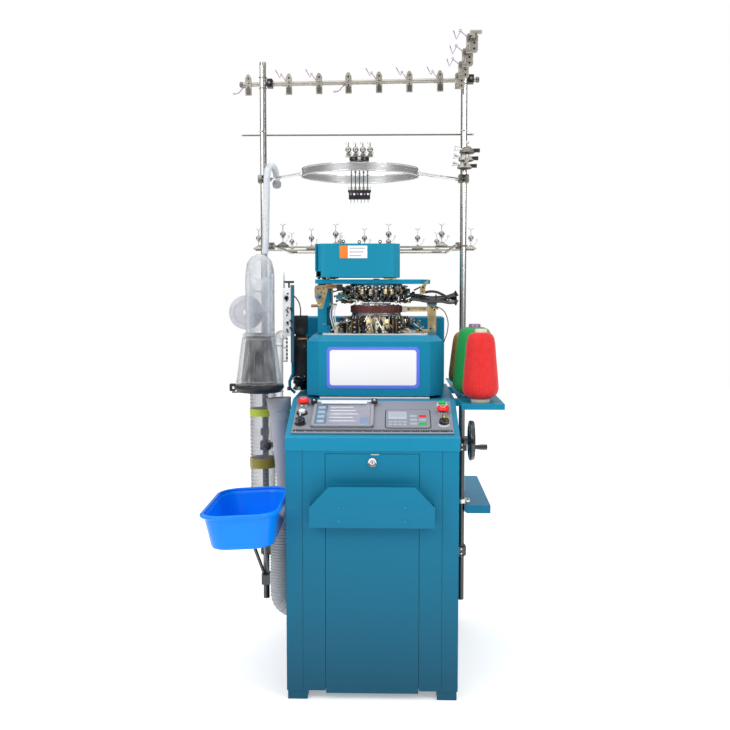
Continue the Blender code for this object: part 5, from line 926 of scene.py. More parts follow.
def make_hopper():
    """The clear outer cone, the punched inner cone and the black ring that carries both."""
    x, y = HOPPER
    z0, z1, top, radius = 0.912, 0.936, 1.105, 0.0765
    outer = [(radius - 0.0012, z1 + 0.0006), (radius - 0.0016, z1 + 0.008), (0.07, 0.976), (0.063, 1.03),
            (0.0566, 1.074), (0.0548, 1.085), (0.0515, 1.099), (0.049, top), (0.0448, top)]
    turned("cone", (x, y, 0), outer + [(0.0448, top - 0.01), (0.05, top - 0.012)] +
            [(r - 0.0018, z - 0.0004) for r, z in reversed(outer[:6])], sides=56, closed=True)
    for z, reach in ((0.948, 0.0742), (1.086, 0.0546), (1.099, 0.052)):
        ring("duct", (x, y, z), reach, 0.0014, sides=56, wire_sides=6)
    ring("dark", (x, y, 1.092), 0.046, 0.0012, sides=56, wire_sides=6)
    piece("clear_hopper_cone", "machine", "clear_plastic", "hopper_cover", angle=50)
    LOOK["punched"] = punched_steel("punched_cone", (0.03, 0.029, 0.028), x, y)
    turned("punched", (x, y, 0), [(0.0606, z1 + 0.001), (0.059, z1 + 0.006), (0.05, 1.02),
            (0.0412, top - 0.014)],
            sides=60)
    ring("dark_steel", (x, y, z1 + 0.0022), 0.0602, 0.0016, sides=56, wire_sides=8)
    ring("dark_steel", (x, y, top - 0.0148), 0.0408, 0.0012, sides=48, wire_sides=8)
    for turn in (20, 140, 260):
        c, s = math.cos(math.radians(turn)), math.sin(math.radians(turn))
        bar("dark_steel", (x + 0.0596 * c, y + 0.0596 * s, z1 + 0.004),
                (x + 0.0408 * c, y + 0.0408 * s, top - 0.016), 0.0011,
                sides=8)
    piece("punched_inner_cone", "machine", "dark_mesh", "mesh_cone", angle=50)
    turned("black", (x, y, 0), [
        (0.0566, z1), (radius + 0.001, z1), (radius + 0.004, z1 - 0.0016), (radius + 0.005, z1 - 0.006),
        (radius + 0.0044, z1 - 0.011), (radius - 0.001, z1 - 0.016), (radius - 0.005, z0), (0.049, z0),
        (0.049, z0 + 0.006), (0.056, z0 + 0.01)], sides=56, closed=True)
    hook = x - radius
    block("black", (hook - 0.02, hook - 0.002), (y - 0.012, y + 0.012), (z1 - 0.022, z1 + 0.002), 0.0022,
            steps=3)
    turned("white", (hook - 0.006, y - 0.0118, z1 - 0.01), [(0, 0.002), (0.004, 0.0016), (0.0052, 0.0)],
            FRONT, 20)
    for turn in (250, 275, 300, 330):
        c, s = math.cos(math.radians(turn)), math.sin(math.radians(turn))
        bar("dark", (x + 0.074 * c, y + 0.074 * s, z1 - 0.006), (x + 0.074 * c, y + 0.074 * s, z1 + 0.004),
                0.0032, sides=6)
    piece("hopper_base_ring", "machine", "black_plastic", "hopper_base")


def make_take_off():
    """The ribbed clear tube with its elbow and two coloured bands."""
    x, y = TAKE_OFF
    reach, z0, z1 = 0.0445, 0.47, 1.1
    profile = [(reach - 0.004, z1), (reach - 0.001, z1), (reach - 0.001, z1 - 0.018)]
    count = 48
    pitch = (z1 - 0.02 - z0) / count
    for step in range(count):
        z = z1 - 0.02 - step * pitch
        profile += [(reach - 0.0024, z), (reach - 0.0004, z - pitch * 0.3),
                (reach - 0.0004, z - pitch * 0.55),
                (reach - 0.0024, z - pitch * 0.85)]
    profile += [(reach - 0.0014, z0), (reach - 0.004, z0)]
    turned("tube", (x, y, 0), profile, sides=44)
    bend = 0.055
    route = [(x, y, z0 + 0.002)]
    route += arc((x + bend, y, z0), bend, 180, 270, 10)
    route.append((-0.2615, y, z0 - bend))
    pipe("tube", route, 0.0428, 5, False, hollow=0.002)
    ribs("tube", route[1:-1], 0.0432, 0.0011, 0.0132, 0.006)
    turned("lime", (x, y, 0), [(reach + 0.0002, 0.815), (reach + 0.0006, 0.818), (reach + 0.0006, 0.838),
            (reach + 0.0002, 0.84)], sides=44)
    turned("olive", (x, y, 0), [(reach + 0.0002, 0.636), (reach + 0.0008, 0.64), (reach + 0.0008, 0.666),
            (reach + 0.0002, 0.67)], sides=44)
    pipe("steel", [(x - 0.0345, y - 0.03, z0 + 0.02 + 0.04 * k) for k in range(16)], 0.0011, 1, False)
    piece("ribbed_take_off_tube", "machine", "clear_plastic", "take_off_tube", angle=60)


def make_suction():
    """The grey funnel and the ribbed hose below it, which bends into the cabinet."""
    top, foot = Vector((-0.322, 0.375, 0.885)), Vector((-0.3, 0.36, 0.575))
    length = (top - foot).length
    turned("hose", tuple(foot), [
        (0.038, length), (0.0406, length), (0.0415, length - 0.002), (0.0388, length - 0.041),
        (0.038, length - 0.043),
        (0.0352, length - 0.045), (0.0346, length - 0.075), (0.0338, length - 0.077),
        (0.0322, length - 0.079),
        (0.0262, 0.002), (0.023, 0.0)], tuple(top - foot), 44)
    ring("hose", tuple(top - (top - foot).normalized() * 0.0035), 0.0408, 0.0016, tuple(top - foot), 44, 8)
    x, y, port, bend = -0.3165, 0.36, 0.172, 0.046
    route = [(-0.3, y, 0.581), (-0.301, y, 0.555), (x + 0.002, y, 0.515), (x, y, 0.465), (x, y, 0.34),
            (x, y, port + bend)]
    route += arc((x + bend, y, port + bend), bend, 180, 270, 8)[1:]
    route.append((-0.2608, y, port))
    pipe("hose", route, 0.034, 5, False)
    ribs("hose", route, 0.0334, 0.0026, 0.0098, 0.004)
    piece("suction_funnel_and_hose", "machine", "grey_hose", "suction_hose", angle=50)


def make_side_fittings():
    """The clear side tube, the clamp with its black knob, and the elbow cap at the hopper's right."""
    x, y = -0.3275, 0.43
    pipe("duct", [(x, y, 1.06), (x, y, 0.93), (x + 0.001, y, 0.78), (x + 0.003, y, 0.64),
            (x + 0.006, y, 0.5)], 0.0155, 4,
            True, hollow=0.0015)
    pipe("duct", [(x, y, 1.06), (x + 0.001, y - 0.004, 1.078), (x + 0.008, y - 0.012, 1.092),
            (x + 0.018, y - 0.02, 1.094)],
            0.0165, 4, True, hollow=0.0015)
    for z in (1.055, 0.9, 0.72):
        ring("duct", (x + 0.0006, y, z), 0.016, 0.0016, sides=32, wire_sides=8)
    block("steel", (-0.345, -0.309), (0.386, 0.408), (0.7, 0.724), 0.0016)
    block("dark", (-0.316, -0.306), (0.382, 0.404), (0.702, 0.722), 0.001)
    turned("black", (-0.332, 0.3855, 0.712), [(0, 0.003), (0.004, 0.003), (0.0048, 0.002), (0.0048, 0.0)],
            FRONT, 20)
    turned("black", (-0.362, 0.395, 0.716), [(0, 0.016), (0.009, 0.0155), (0.0125, 0.012), (0.013, 0.002),
            (0.01, 0.0)],
            FRONT, 10)
    bar("steel", (-0.362, 0.395, 0.712), (-0.34, 0.395, 0.712), 0.0035)
    piece("side_tube_and_clamp", "machine", "clear_plastic", angle=50)


def make_lint_hose():
    """The ribbed white hose up the left post, with its bulb at the end."""
    x = -0.386 + 0.011
    route = [(-0.376, 0.462, 1.369), (x + 0.002, 0.468, 1.41), (x + 0.003, 0.474, 1.48),
            (x + 0.004, 0.478, 1.56),
            (x + 0.005, 0.48, 1.625), (x + 0.008, 0.486, 1.655), (x + 0.016, 0.502, 1.671),
            (x + 0.025, 0.519, 1.668),
            (x + 0.031, 0.53, 1.65), (x + 0.033, 0.534, 1.62)]
    pipe("pale", route, 0.0104, 4, False)
    ribs("pale", route, 0.0102, 0.0013, 0.0052, 0.002)
    turned("hose", (x + 0.033, 0.535, 1.61), [(0, 0.015), (0.01, 0.013), (0.0148, 0.007), (0.0155, 0.0),
            (0.014, -0.008),
            (0.009, -0.013), (0, -0.015)], sides=32)
    piece("lint_hose_ribbed", "machine", "white_plastic", "lint_hose", angle=50)


def make_basin():
    """A drawn tub: round-cornered floor, drafted walls, a step and a rolled rim."""
    tilt = Matrix.Rotation(math.radians(-3.0), 4, "Y")
    place = Matrix.Translation(at(-0.388, 0.075, 0.6)) @ tilt
    width, length = 0.236, 0.43
    rings = ((0.755, -0.108), (0.785, -0.1065), (0.8, -0.1), (0.905, -0.022), (0.915, -0.015),
            (0.945, -0.012))
    outline = rounded(width, length, 0.072, 12)
    filled_outline(outline)
    bpy.ops.object.mode_set(mode="EDIT")
    bpy.ops.mesh.select_all(action="SELECT")
    bpy.ops.mesh.remove_doubles(threshold=0.00001)

    def share_of(share):
        return share, 1 - (width / length) * (1 - share)

    last_x, last_y = share_of(rings[0][0])
    bpy.ops.transform.resize(value=(last_x, last_y, 1.0))
    bpy.ops.transform.translate(value=(0, 0, rings[0][1]))
    height = rings[0][1]
    bpy.ops.mesh.extrude_region_move(TRANSFORM_OT_translate={"value": (0, 0, 0)})
    for share, rise in rings[1:]:
        now_x, now_y = share_of(share)
        bpy.ops.transform.translate(value=(0, 0, rise - height))
        bpy.ops.transform.resize(value=(now_x / last_x, now_y / last_y, 1.0))
        last_x, last_y, height = now_x, now_y, rise
        bpy.ops.mesh.extrude_region_move(TRANSFORM_OT_translate={"value": (0, 0, 0)})
    bpy.ops.mesh.delete(type="FACE")
    bpy.ops.mesh.select_all(action="SELECT")
    bpy.ops.mesh.remove_doubles(threshold=0.00001)
    bpy.ops.mesh.normals_make_consistent(inside=False)
    bpy.ops.object.mode_set(mode="OBJECT")
    wall = bpy.context.object.modifiers.new("wall", "SOLIDIFY")
    wall.thickness = 0.0028
    wall.offset = -1.0
    bpy.ops.object.modifier_apply(modifier=wall.name)
    bpy.context.object.matrix_world = place
    settle()
    keep("basin")
    for reach, rise, wire in ((0.975, -0.0085, 0.005), (0.95, -0.007, 0.0052)):
        share_x, share_y = share_of(reach)
        rim = [(a * share_x, b * share_y, rise) for a, b in outline]
        spots = [tuple((place @ Vector(p)) - ORIGIN) for p in rim]
        pipe("basin", spots, wire, 4, False, closed=True)
    piece("laundry_basin_tub", "laundry_basin", "blue_plastic", "basin", angle=55)


make_duct()
make_hopper()
make_take_off()
make_suction()
make_side_fittings()
make_lint_hose()
make_basin()


# ---------------------------------------------------------------- knitting head
AXIS = (0.005, 0.44)


def on_ring(reach, degrees, rise):
    """A point round the needle axis; 0 degrees is to the right and -90 is at the front."""
    turn = math.radians(degrees)
    return (AXIS[0] + reach * math.cos(turn), AXIS[1] + reach * math.sin(turn), rise)


def upright_block(look, reach, degrees, size, rise, soft=0.0008):
    """A block that stands at a bearing round the needle axis; size is depth, width."""
    x, y, _ = on_ring(reach, degrees, 0)
    return block(look, (x - size[0] / 2, x + size[0] / 2), (y - size[1] / 2, y + size[1] / 2), rise, soft,
            (0, 0, degrees))


def make_gear_ring():
    """Brown toothed ring over its silver sinker ring."""
    low, high = 1.1698, 1.1918
    turned("brown", (*AXIS, 0), [(0.06, low), (0.0838, low), (0.085, low + 0.0012), (0.085, high - 0.0012),
            (0.0838, high), (0.06, high)], sides=72, closed=True)
    for tooth in range(72):
        upright_block("brown", 0.0857, tooth * 5.0, (0.003, 0.0036), (low + 0.0012, high - 0.003), 0.0006)
    piece("toothed_ring", "machine", "brown_ring")
    turned("chrome", (*AXIS, 0), [(0.0835, high - 0.0004), (0.0845, high + 0.0016), (0.07, high + 0.003),
            (0.061, high + 0.001)], sides=64)
    for spot in range(12):
        x, y, _ = on_ring(0.076, spot * 30 + 10, 0)
        turned("dark", (x, y, high + 0.0016), [(0, 0.003), (0.0026, 0.0028), (0.0032, 0.0)], sides=12)
    turned("steel", (*AXIS, 0), [(0.06, 1.1572), (0.082, 1.1572), (0.0842, 1.1584), (0.0842, 1.1628),
            (0.08, 1.164),
            (0.08, 1.166), (0.0832, 1.167), (0.0832, 1.1694), (0.06, 1.1694)], sides=72, closed=True)
    piece("ring_trim", "machine", "plain_steel")


def make_cylinder():
    """Needle cylinder with its grooves, needles and hooked tops."""
    x, y = AXIS
    turned("steel", (x, y, 0), [(0.0402, 1.102), (0.047, 1.102), (0.047, 1.1985), (0.0462, 1.1998),
            (0.0402, 1.1998)],
            sides=96, closed=True)
    for needle in range(84):
        turn = 360 * needle / 84
        bar("chrome", on_ring(0.0474, turn, 1.103), on_ring(0.0474, turn, 1.2008), 0.00075, sides=6)
    piece("grooved_cylinder", "cylinder", "bright_chrome", "needle_cylinder")


def make_dial():
    """The dial with its slots, on its shaft."""
    x, y = AXIS
    turned("steel", (x, y, 0), [(0, 1.2122), (0.03, 1.2122), (0.044, 1.2112), (0.0462, 1.209),
            (0.0462, 1.2046),
            (0.044, 1.2036), (0, 1.2036)], sides=72)
    for slot in range(48):
        turn = 360 * slot / 48
        bar("dark", on_ring(0.03, turn, 1.212), on_ring(0.0455, turn, 1.2108), 0.0007, sides=6)
    turned("chrome", (x, y, 0), [(0, 1.2838), (0.01, 1.2838), (0.0108, 1.283), (0.0108, 1.23), (0.015, 1.228),
            (0.021, 1.22), (0.0215, 1.2122)], sides=40)
    piece("dial_and_shaft", "dial_plate", "plain_steel", "dial")


def make_finger_carrier():
    """The fixed cap ring over the dial with its many small fingers, springs and clamps."""
    x, y = AXIS
    turned("teal_block", (x, y, 0), [(0.06, 1.2538), (0.088, 1.2538), (0.0884, 1.2546), (0.0884, 1.2648),
            (0.0876, 1.2656), (0.06, 1.2656)], sides=64, closed=True)
    turned("enamel", (x, y, 0), [(0.024, 1.2656), (0.056, 1.259), (0.06, 1.2538), (0.06, 1.25)], sides=48)
    looks = ("chrome", "gold", "dark", "chrome", "dark_steel", "gold", "black", "steel")
    for spot in range(27):
        turn = -176 + spot * 6.6
        look = looks[spot * 5 % 8]
        lean = 0.006 * math.sin(spot * 2.1)
        reach = 0.0905 + 0.0035 * (spot % 3)
        high = 1.261 - 0.004 * (spot % 2)
        upright_block(looks[(spot * 3 + 1) % 8], reach, turn, (0.0075, 0.006), (high - 0.016, high), 0.001)
        bar(look, on_ring(reach + 0.001, turn, high - 0.01),
                on_ring(0.07, turn + lean * 300, 1.219 + 0.002 * (spot % 3)),
                0.0017, sides=8)
        bar("chrome", on_ring(reach + 0.005, turn, high - 0.003), on_ring(reach + 0.0105, turn, high - 0.004),
                0.0022,
                sides=12)
        if spot % 2:
            ring("copper" if spot % 4 == 1 else "chrome", on_ring(0.08, turn, 1.23), 0.0036, 0.0006,
                    (math.cos(math.radians(turn)), math.sin(math.radians(turn)), 0.3), 16, 6)
        if spot % 3 == 0:
            bar("dark_steel", on_ring(0.086, turn + 4, 1.253), on_ring(0.093, turn + 5, 1.218), 0.0013,
                    sides=6)
    for turn in (-150, -118, -100, -72, -58, -30):
        upright_block("gold", 0.0985, turn, (0.004, 0.011), (1.232, 1.248), 0.0008)
        upright_block("dark", 0.0965, turn + 5, (0.006, 0.007), (1.222, 1.24), 0.001)
    for turn in range(-170, 0, 17):
        bar("black", on_ring(0.09, turn, 1.216), on_ring(0.096, turn + 9, 1.2075), 0.0021, sides=8)
        bar("steel", on_ring(0.074, turn, 1.212), on_ring(0.09, turn - 7, 1.1985), 0.0012, sides=8)
    piece("finger_carrier_ring", "machine", "teal_paint", "finger_carrier")
    for spot, turn in ((1, -130), (2, -90), (3, -50)):
        pivot = on_ring(0.078, turn, 1.2417)
        bar("chrome", on_ring(0.074, turn, 1.2417), on_ring(0.083, turn, 1.2417), 0.0052, sides=20,
                soft=0.0006)
        bar("gold", pivot, on_ring(0.064, turn + 2, 1.218), 0.0026, 0.0014, 12)
        bar("gold", pivot, on_ring(0.09, turn - 3, 1.248), 0.0022, 0.0016, 12)
        ring("chrome", on_ring(0.063, turn + 2, 1.2165), 0.0018, 0.0005, (1, 0, 0), 16, 6)
        piece("feed_finger_%d" % spot, "finger_%d" % spot, "bright_chrome")


def make_cam_ring():
    """Gold cam blocks with levers, springs and screws round the cylinder's foot."""
    z0, z1 = 1.1016, 1.1567
    turned("dark_steel", (*AXIS, 0), [(0.05, z0), (0.096, z0), (0.096, z0 + 0.006), (0.078, z0 + 0.01),
            (0.064, z1 - 0.012), (0.064, z1), (0.05, z1)], sides=60, closed=True)
    for turn, width, look in ((-172, 0.02, "dark"), (-150, 0.018, "gold"), (-128, 0.022, "dark"),
            (-108, 0.019, "gold"),
            (-90, 0.017, "ivory"), (-72, 0.019, "gold"), (-52, 0.022, "dark"), (-30, 0.018, "gold"),
            (-8, 0.02, "dark"), (30, 0.03, "gold"), (80, 0.03, "dark"), (130, 0.03, "gold")):
        upright_block(look, 0.07, turn, (0.018, width), (z0 + 0.004, z1 - 0.002), 0.0014)
        upright_block("gold" if look == "dark" else "steel", 0.086, turn, (0.016, width * 0.8),
                (z0 + 0.002, z0 + 0.02), 0.0012)
        bar("steel", on_ring(0.079, turn, 1.142), on_ring(0.0815, turn, 1.142), 0.0036, sides=6)
        bar("dark", on_ring(0.079, turn + 3, 1.129), on_ring(0.083, turn + 3, 1.129), 0.0028, sides=14)
    piece("cam_blocks", "machine", "gold_zinc", "cam_ring")
    for spot, (turn, lean) in enumerate(((-168, -9), (-158, -10), (-146, -10), (-137, -8), (-124, -7),
            (-113, 6), (-101, -5),
            (-84, 5), (-77, 6), (-64, 8), (-55, 9), (-43, 9), (-34, 8), (-22, 9), (-12, 8))):
        look = ("black", "chrome", "steel", "dark", "gold")[spot % 5]
        bar(look, on_ring(0.108, turn + lean, 1.115), on_ring(0.083, turn - lean, 1.153), 0.0026, 0.0018, 10)
        bar("chrome", on_ring(0.099, turn, 1.14), on_ring(0.088, turn + lean * 0.5, 1.159), 0.0014, sides=8)
        ball("steel" if spot % 2 else "dark", on_ring(0.1085, turn + lean, 1.115), 0.004, sides=12)
        upright_block(("ivory", "dark", "gold", "black")[spot % 4], 0.104, turn, (0.008, 0.0075),
                (1.103, 1.119 + 0.004 * (spot % 3)), 0.001)
    for turn in (-140, -95, -40):
        spring = [on_ring(0.093 + 0.0022 * math.cos(k * 1.57), turn + 1.4 * math.sin(k * 1.57),
                1.123 + 0.0008 * k)
                for k in range(32)]
        pipe("chrome", spring, 0.00045, 1, True, 3)
    piece("cam_levers", "machine", "plain_steel")


def make_selectors():
    """Stacked selector fingers in their comb blocks."""
    for turn in (-155, -125, -55, -25, 60, 120):
        upright_block("dark", 0.121, turn, (0.013, 0.022), (1.1018, 1.151), 0.0012)
        upright_block("gold" if turn in (-125, -55) else "steel", 0.112, turn, (0.005, 0.019), (1.103, 1.148),
                0.0006)
        for row in range(8):
            rise = 1.1075 + row * 0.0052
            bar("chrome" if row % 2 else "steel", on_ring(0.115, turn - 2.0, rise),
                    on_ring(0.101, turn - 1.5, rise + 0.0006),
                    0.0011, sides=6)
            upright_block("ivory" if row % 3 == 0 else "dark", 0.1285, turn + 2.0, (0.003, 0.006),
                    (rise - 0.0015, rise + 0.0015), 0.0003)
        bar("copper", on_ring(0.128, turn - 3, 1.145), on_ring(0.13, turn - 3, 1.106), 0.0012, sides=8)
    piece("selector_stacks", "machine", "black_plastic", "selector_units")


def make_left_mechanism():
    """Gold lever plate, its knobs, and the small linkages beside the pillar."""
    outline = [(-0.195, 1.26), (-0.158, 1.26), (-0.155, 1.244), (-0.161, 1.224), (-0.166, 1.206),
            (-0.172, 1.185),
            (-0.182, 1.184), (-0.19, 1.204), (-0.197, 1.222), (-0.198, 1.248)]
    sheet_shape("gold", outline, facing_front(0.0, 0.353, 0.0), 0.005, 0.0008)
    for x, z, reach in ((-0.186, 1.25, 0.0032), (-0.168, 1.252, 0.003), (-0.176, 1.238, 0.0026),
            (-0.164, 1.233, 0.0024)):
        turned("dark", (x, 0.3506, z), [(0, 0.0016), (reach * 0.8, 0.0014), (reach, 0.0)], FRONT, 14)
    turned("blue", (-0.183, 0.35, 1.223), [(0, 0.011), (0.005, 0.0104), (0.0078, 0.008), (0.0082, 0.0)],
            FRONT, 24)
    turned("black", (-0.18, 0.3496, 1.2215), [(0, 0.0125), (0.003, 0.0122), (0.0042, 0.01)], FRONT, 16)
    bar("bronze", (-0.209, 0.346, 1.193), (-0.188, 0.346, 1.193), 0.0052, 0.0046, 20, 0.001)
    bar("gold", (-0.188, 0.346, 1.193), (-0.176, 0.35, 1.198), 0.0034, sides=14)
    piece("lever_plate", "machine", "gold_zinc", "left_bracket")
    block("bronze", (-0.162, -0.125), (0.35, 0.37), (1.25, 1.264), 0.0012)
    block("black", (-0.1245, -0.106), (0.352, 0.374), (1.242, 1.264), 0.0012)
    bar("dark", (-0.106, 0.364, 1.252), (-0.082, 0.37, 1.244), 0.005, sides=16, soft=0.0008)
    for spot in range(16):
        x = -0.146 + 0.0068 * (spot * 5 % 11)
        z = 1.198 + 0.0052 * (spot * 7 % 11)
        look = ("chrome", "black", "ivory", "dark_steel", "gold", "teal_block")[spot % 6]
        bar(look, (x, 0.374 + 0.004 * (spot % 5), z), (x + 0.02, 0.38, z + 0.01 * math.sin(spot * 1.7)),
                0.0024, 0.0018, 10)
        turned(("gold", "steel", "black")[spot % 3], (x, 0.37 + 0.004 * (spot % 4), z),
                [(0, 0.0026), (0.0034, 0.0024), (0.0042, 0.0), (0.0042, -0.004)], FRONT, 14)
    block("teal_block", (-0.128, -0.09), (0.378, 0.392), (1.214, 1.23), 0.002)
    block("dark", (-0.112, -0.072), (0.38, 0.396), (1.201, 1.209), 0.0014)
    for k in range(3):
        pipe("pale", [(-0.14 + 0.006 * k, 0.396, 1.196), (-0.148 + 0.007 * k, 0.384, 1.172),
                (-0.144 + 0.007 * k, 0.38, 1.14),
                (-0.134 + 0.006 * k, 0.384, 1.108)], 0.0017, 2)
    for k in range(5):
        bar("dark" if k % 2 else "steel", (-0.145 + 0.009 * k, 0.372, 1.11 + 0.006 * k),
                (-0.108 + 0.01 * k, 0.36, 1.142 + 0.005 * (k % 3)),
                0.0024, 0.0016, 10)
    for k in range(4):
        upright_block(("dark", "black", "ivory", "dark_steel")[k], 0.146, -176 + 11 * k, (0.012, 0.016),
                (1.102, 1.12 + 0.009 * (k % 3)), 0.0014)
    piece("left_linkages", "machine", "plain_steel")


def make_right_mechanism():
    """Gold column and arm, the angled plate, and the levers beside them."""
    block("gold", (0.178, 0.207), (0.405, 0.435), (1.1022, 1.196), 0.0012)
    block("enamel", (0.1765, 0.2085), (0.4036, 0.4364), (1.195, 1.204), 0.0012)
    block("gold", (0.138, 0.18), (0.406, 0.434), (1.1022, 1.113), 0.0012)
    block("gold", (0.098, 0.18), (0.408, 0.432), (1.173, 1.189), 0.001)
    block("ivory", (0.092, 0.108), (0.406, 0.42), (1.171, 1.191), 0.0012)
    block("gold", (0.12, 0.15), (0.403, 0.408), (1.176, 1.188), 0.0008)
    for x in (0.114, 0.138, 0.166):
        turned("steel", (x, 0.4078, 1.1812), [(0, 0.0032), (0.0034, 0.003), (0.0042, 0.002), (0.0042, 0.0)],
                FRONT, 18)
        turned("black", (x, 0.4046, 1.1812), [(0, 0.0002), (0.0018, 0.0002), (0.0018, -0.0006)], FRONT, 6)
    for x, z in ((0.1925, 1.186), (0.201, 1.179), (0.187, 1.116), (0.15, 1.1085)):
        turned("dark", (x, 0.4048, z), [(0, 0.0022), (0.0026, 0.002), (0.0032, 0.0)], FRONT, 14)
    bar("gold", (0.207, 0.42, 1.185), (0.214, 0.42, 1.185), 0.006, sides=18, soft=0.0008)
    piece("gold_column", "machine", "gold_zinc", "right_bracket")
    outline = [(0.15, 1.232), (0.166, 1.234), (0.168, 1.256), (0.178, 1.278), (0.158, 1.262), (0.15, 1.248)]
    sheet_shape("gold", outline, facing_front(0.0, 0.344, 0.0), 0.003, 0.0006)
    turned("black", (0.16, 0.3424, 1.254), [(0, 0.0008), (0.003, 0.0008), (0.0036, 0.0)], FRONT, 16)
    turned("black", (0.159, 0.3424, 1.24), [(0, 0.0008), (0.002, 0.0008), (0.0026, 0.0)], FRONT, 16)
    bar("black", (0.13, 0.35, 1.244), (0.154, 0.346, 1.256), 0.0024, sides=10)
    for spot in range(14):
        x = 0.092 + 0.0056 * (spot * 5 % 11)
        z = 1.108 + 0.0034 * (spot * 7 % 12)
        look = ("chrome", "teal_block", "ivory", "dark_steel", "black", "steel")[spot % 6]
        bar(look, (x, 0.366 + 0.005 * (spot % 4), z), (x + 0.016, 0.372, z + 0.016 * math.sin(spot * 1.3)),
                0.0024, 0.0018, 10)
        turned(("dark", "steel", "chrome")[spot % 3], (x, 0.364 + 0.005 * (spot % 3), z + 0.01),
                [(0, 0.0026), (0.0036, 0.0024), (0.0044, 0.0), (0.0044, -0.004)], FRONT, 14)
    block("ivory", (0.098, 0.124), (0.372, 0.39), (1.102, 1.119), 0.0016)
    block("dark", (0.11, 0.132), (0.376, 0.396), (1.118, 1.13), 0.0014)
    pipe("black", [(0.203, 0.4, 1.19), (0.226, 0.392, 1.18), (0.243, 0.388, 1.15), (0.244, 0.39, 1.11),
            (0.232, 0.396, 1.07)], 0.0016, 2)
    piece("right_linkages", "machine", "plain_steel")


def make_air_tubes():
    """Black air tubes that run from the head and splay at their ends, with joints along them."""
    for dy, dz, end in ((0.0, 0.0, 1.23), (0.012, 0.005, 1.217), (-0.01, -0.006, 1.206)):
        start = (0.096, 0.395 + dy, 1.222 + dz * 0.4)
        points = [start, (0.14, 0.391 + dy, 1.217 + dz + 0.004), (0.185, 0.388 + dy, 1.214 + dz),
                (0.225, 0.386 + dy * 0.8, 1.215 + dz),
                (0.246, 0.384 + dy, 1.216 + dz + (end - 1.216) * 0.5), (0.266, 0.382 + dy * 1.3, end)]
        pipe("gloss_black", points, 0.007, 3)
        bar("black", points[-1], (0.2745, points[-1][1] - 0.001, end + (end - 1.216) * 0.35), 0.0062, 0.011,
                20)
        for x in (0.118, 0.16, 0.205):
            ring("black", (x, 0.3905 + dy, 1.218 + dz * 0.8), 0.0066, 0.0024, (1, -0.06, -0.05), 20, 8)
    pipe("black", [(0.16, 0.384, 1.236), (0.196, 0.376, 1.24), (0.226, 0.376, 1.23), (0.25, 0.378, 1.214)],
            0.0042, 2)
    piece("air_tube_bundle", "machine", "black_plastic", "air_tubes")
    for spot in range(14):
        bar(("black", "dark", "steel")[spot % 3],
                (0.075 + 0.01 * (spot % 5), 0.38 + 0.004 * (spot % 4), 1.206 + 0.004 * (spot % 6)),
                (0.094 + 0.009 * (spot % 5), 0.374, 1.208 + 0.004 * (spot * 3 % 7)), 0.004, 0.0028, 12)
        ball("black" if spot % 2 else "chrome",
                (0.08 + 0.0085 * (spot % 6), 0.372 + 0.004 * (spot % 3), 1.211 + 0.005 * (spot % 5)),
                0.004, (1, 1, 1), 12)
    piece("air_valves", "machine", "black_plastic")


def make_cover():
    """Details of the top cover: the plain label, its hooks and the gold strip under the right end."""
    y = 0.3296
    block("orange", (-0.114, -0.087), (y - 0.001, y + 0.0004), (1.349, 1.39), 0.0006)
    block("paper", (-0.087, -0.023), (y - 0.001, y + 0.0004), (1.349, 1.39), 0.0006)
    for row in range(3):
        block("key", (-0.081, -0.03 - 0.006 * row), (y - 0.0016, y - 0.0004),
                (1.38 - row * 0.012, 1.383 - row * 0.012), 0.0002)
    for x, y1 in ((-0.104, 0.38), (-0.052, 0.42), (0.018, 0.4)):
        bar("dark", (x, y1, 1.3965), (x, y1, 1.404), 0.003, sides=14)
        ring("dark", (x, y1, 1.406), 0.0046, 0.0014, (0, 1, 0), 20, 8)
    block("enamel", (-0.195, -0.1905), (0.334, 0.56), (1.308, 1.395), 0.001)
    piece("cover_fittings", "cover", "teal_paint")
    block("gold", (0.03, 0.074), (0.344, 0.362), (1.2808, 1.2858), 0.0008)
    for k, (x, look) in enumerate(((-0.184, "black"), (-0.17, "dark"), (-0.156, "ivory"), (-0.146, "chrome"),
            (-0.134, "black"))):
        bar(look, (x, 0.36, 1.2808), (x, 0.36, 1.2868 + 0.0002 * k), 0.0052, 0.0044, 16)
    bar("chrome", (-0.15, 0.366, 1.284), (-0.12, 0.36, 1.284), 0.0018, sides=10)
    turned("enamel", (*AXIS, 0), [(0, 1.2658), (0.056, 1.2658), (0.057, 1.254)], sides=48)
    piece("plate_fittings", "machine", "plain_steel")


def make_pillar_details():
    """Screws and a slotted cover on the front of the pillar."""
    x = -0.1695
    for z in (1.13, 1.24):
        turned("steel", (x, 0.3996, z), [(0, 0.0028), (0.003, 0.0028), (0.004, 0.0018), (0.004, 0.0)], FRONT,
                18)
    block("black", (-0.154, -0.1465), (0.3992, 0.4008), (1.128, 1.188), 0.0004)
    for k in range(3):
        bar("chrome", (-0.1505, 0.399, 1.136 + 0.02 * k), (-0.1505, 0.395, 1.136 + 0.02 * k), 0.0022,
                sides=12)
    piece("pillar_fittings", "machine", "plain_steel")


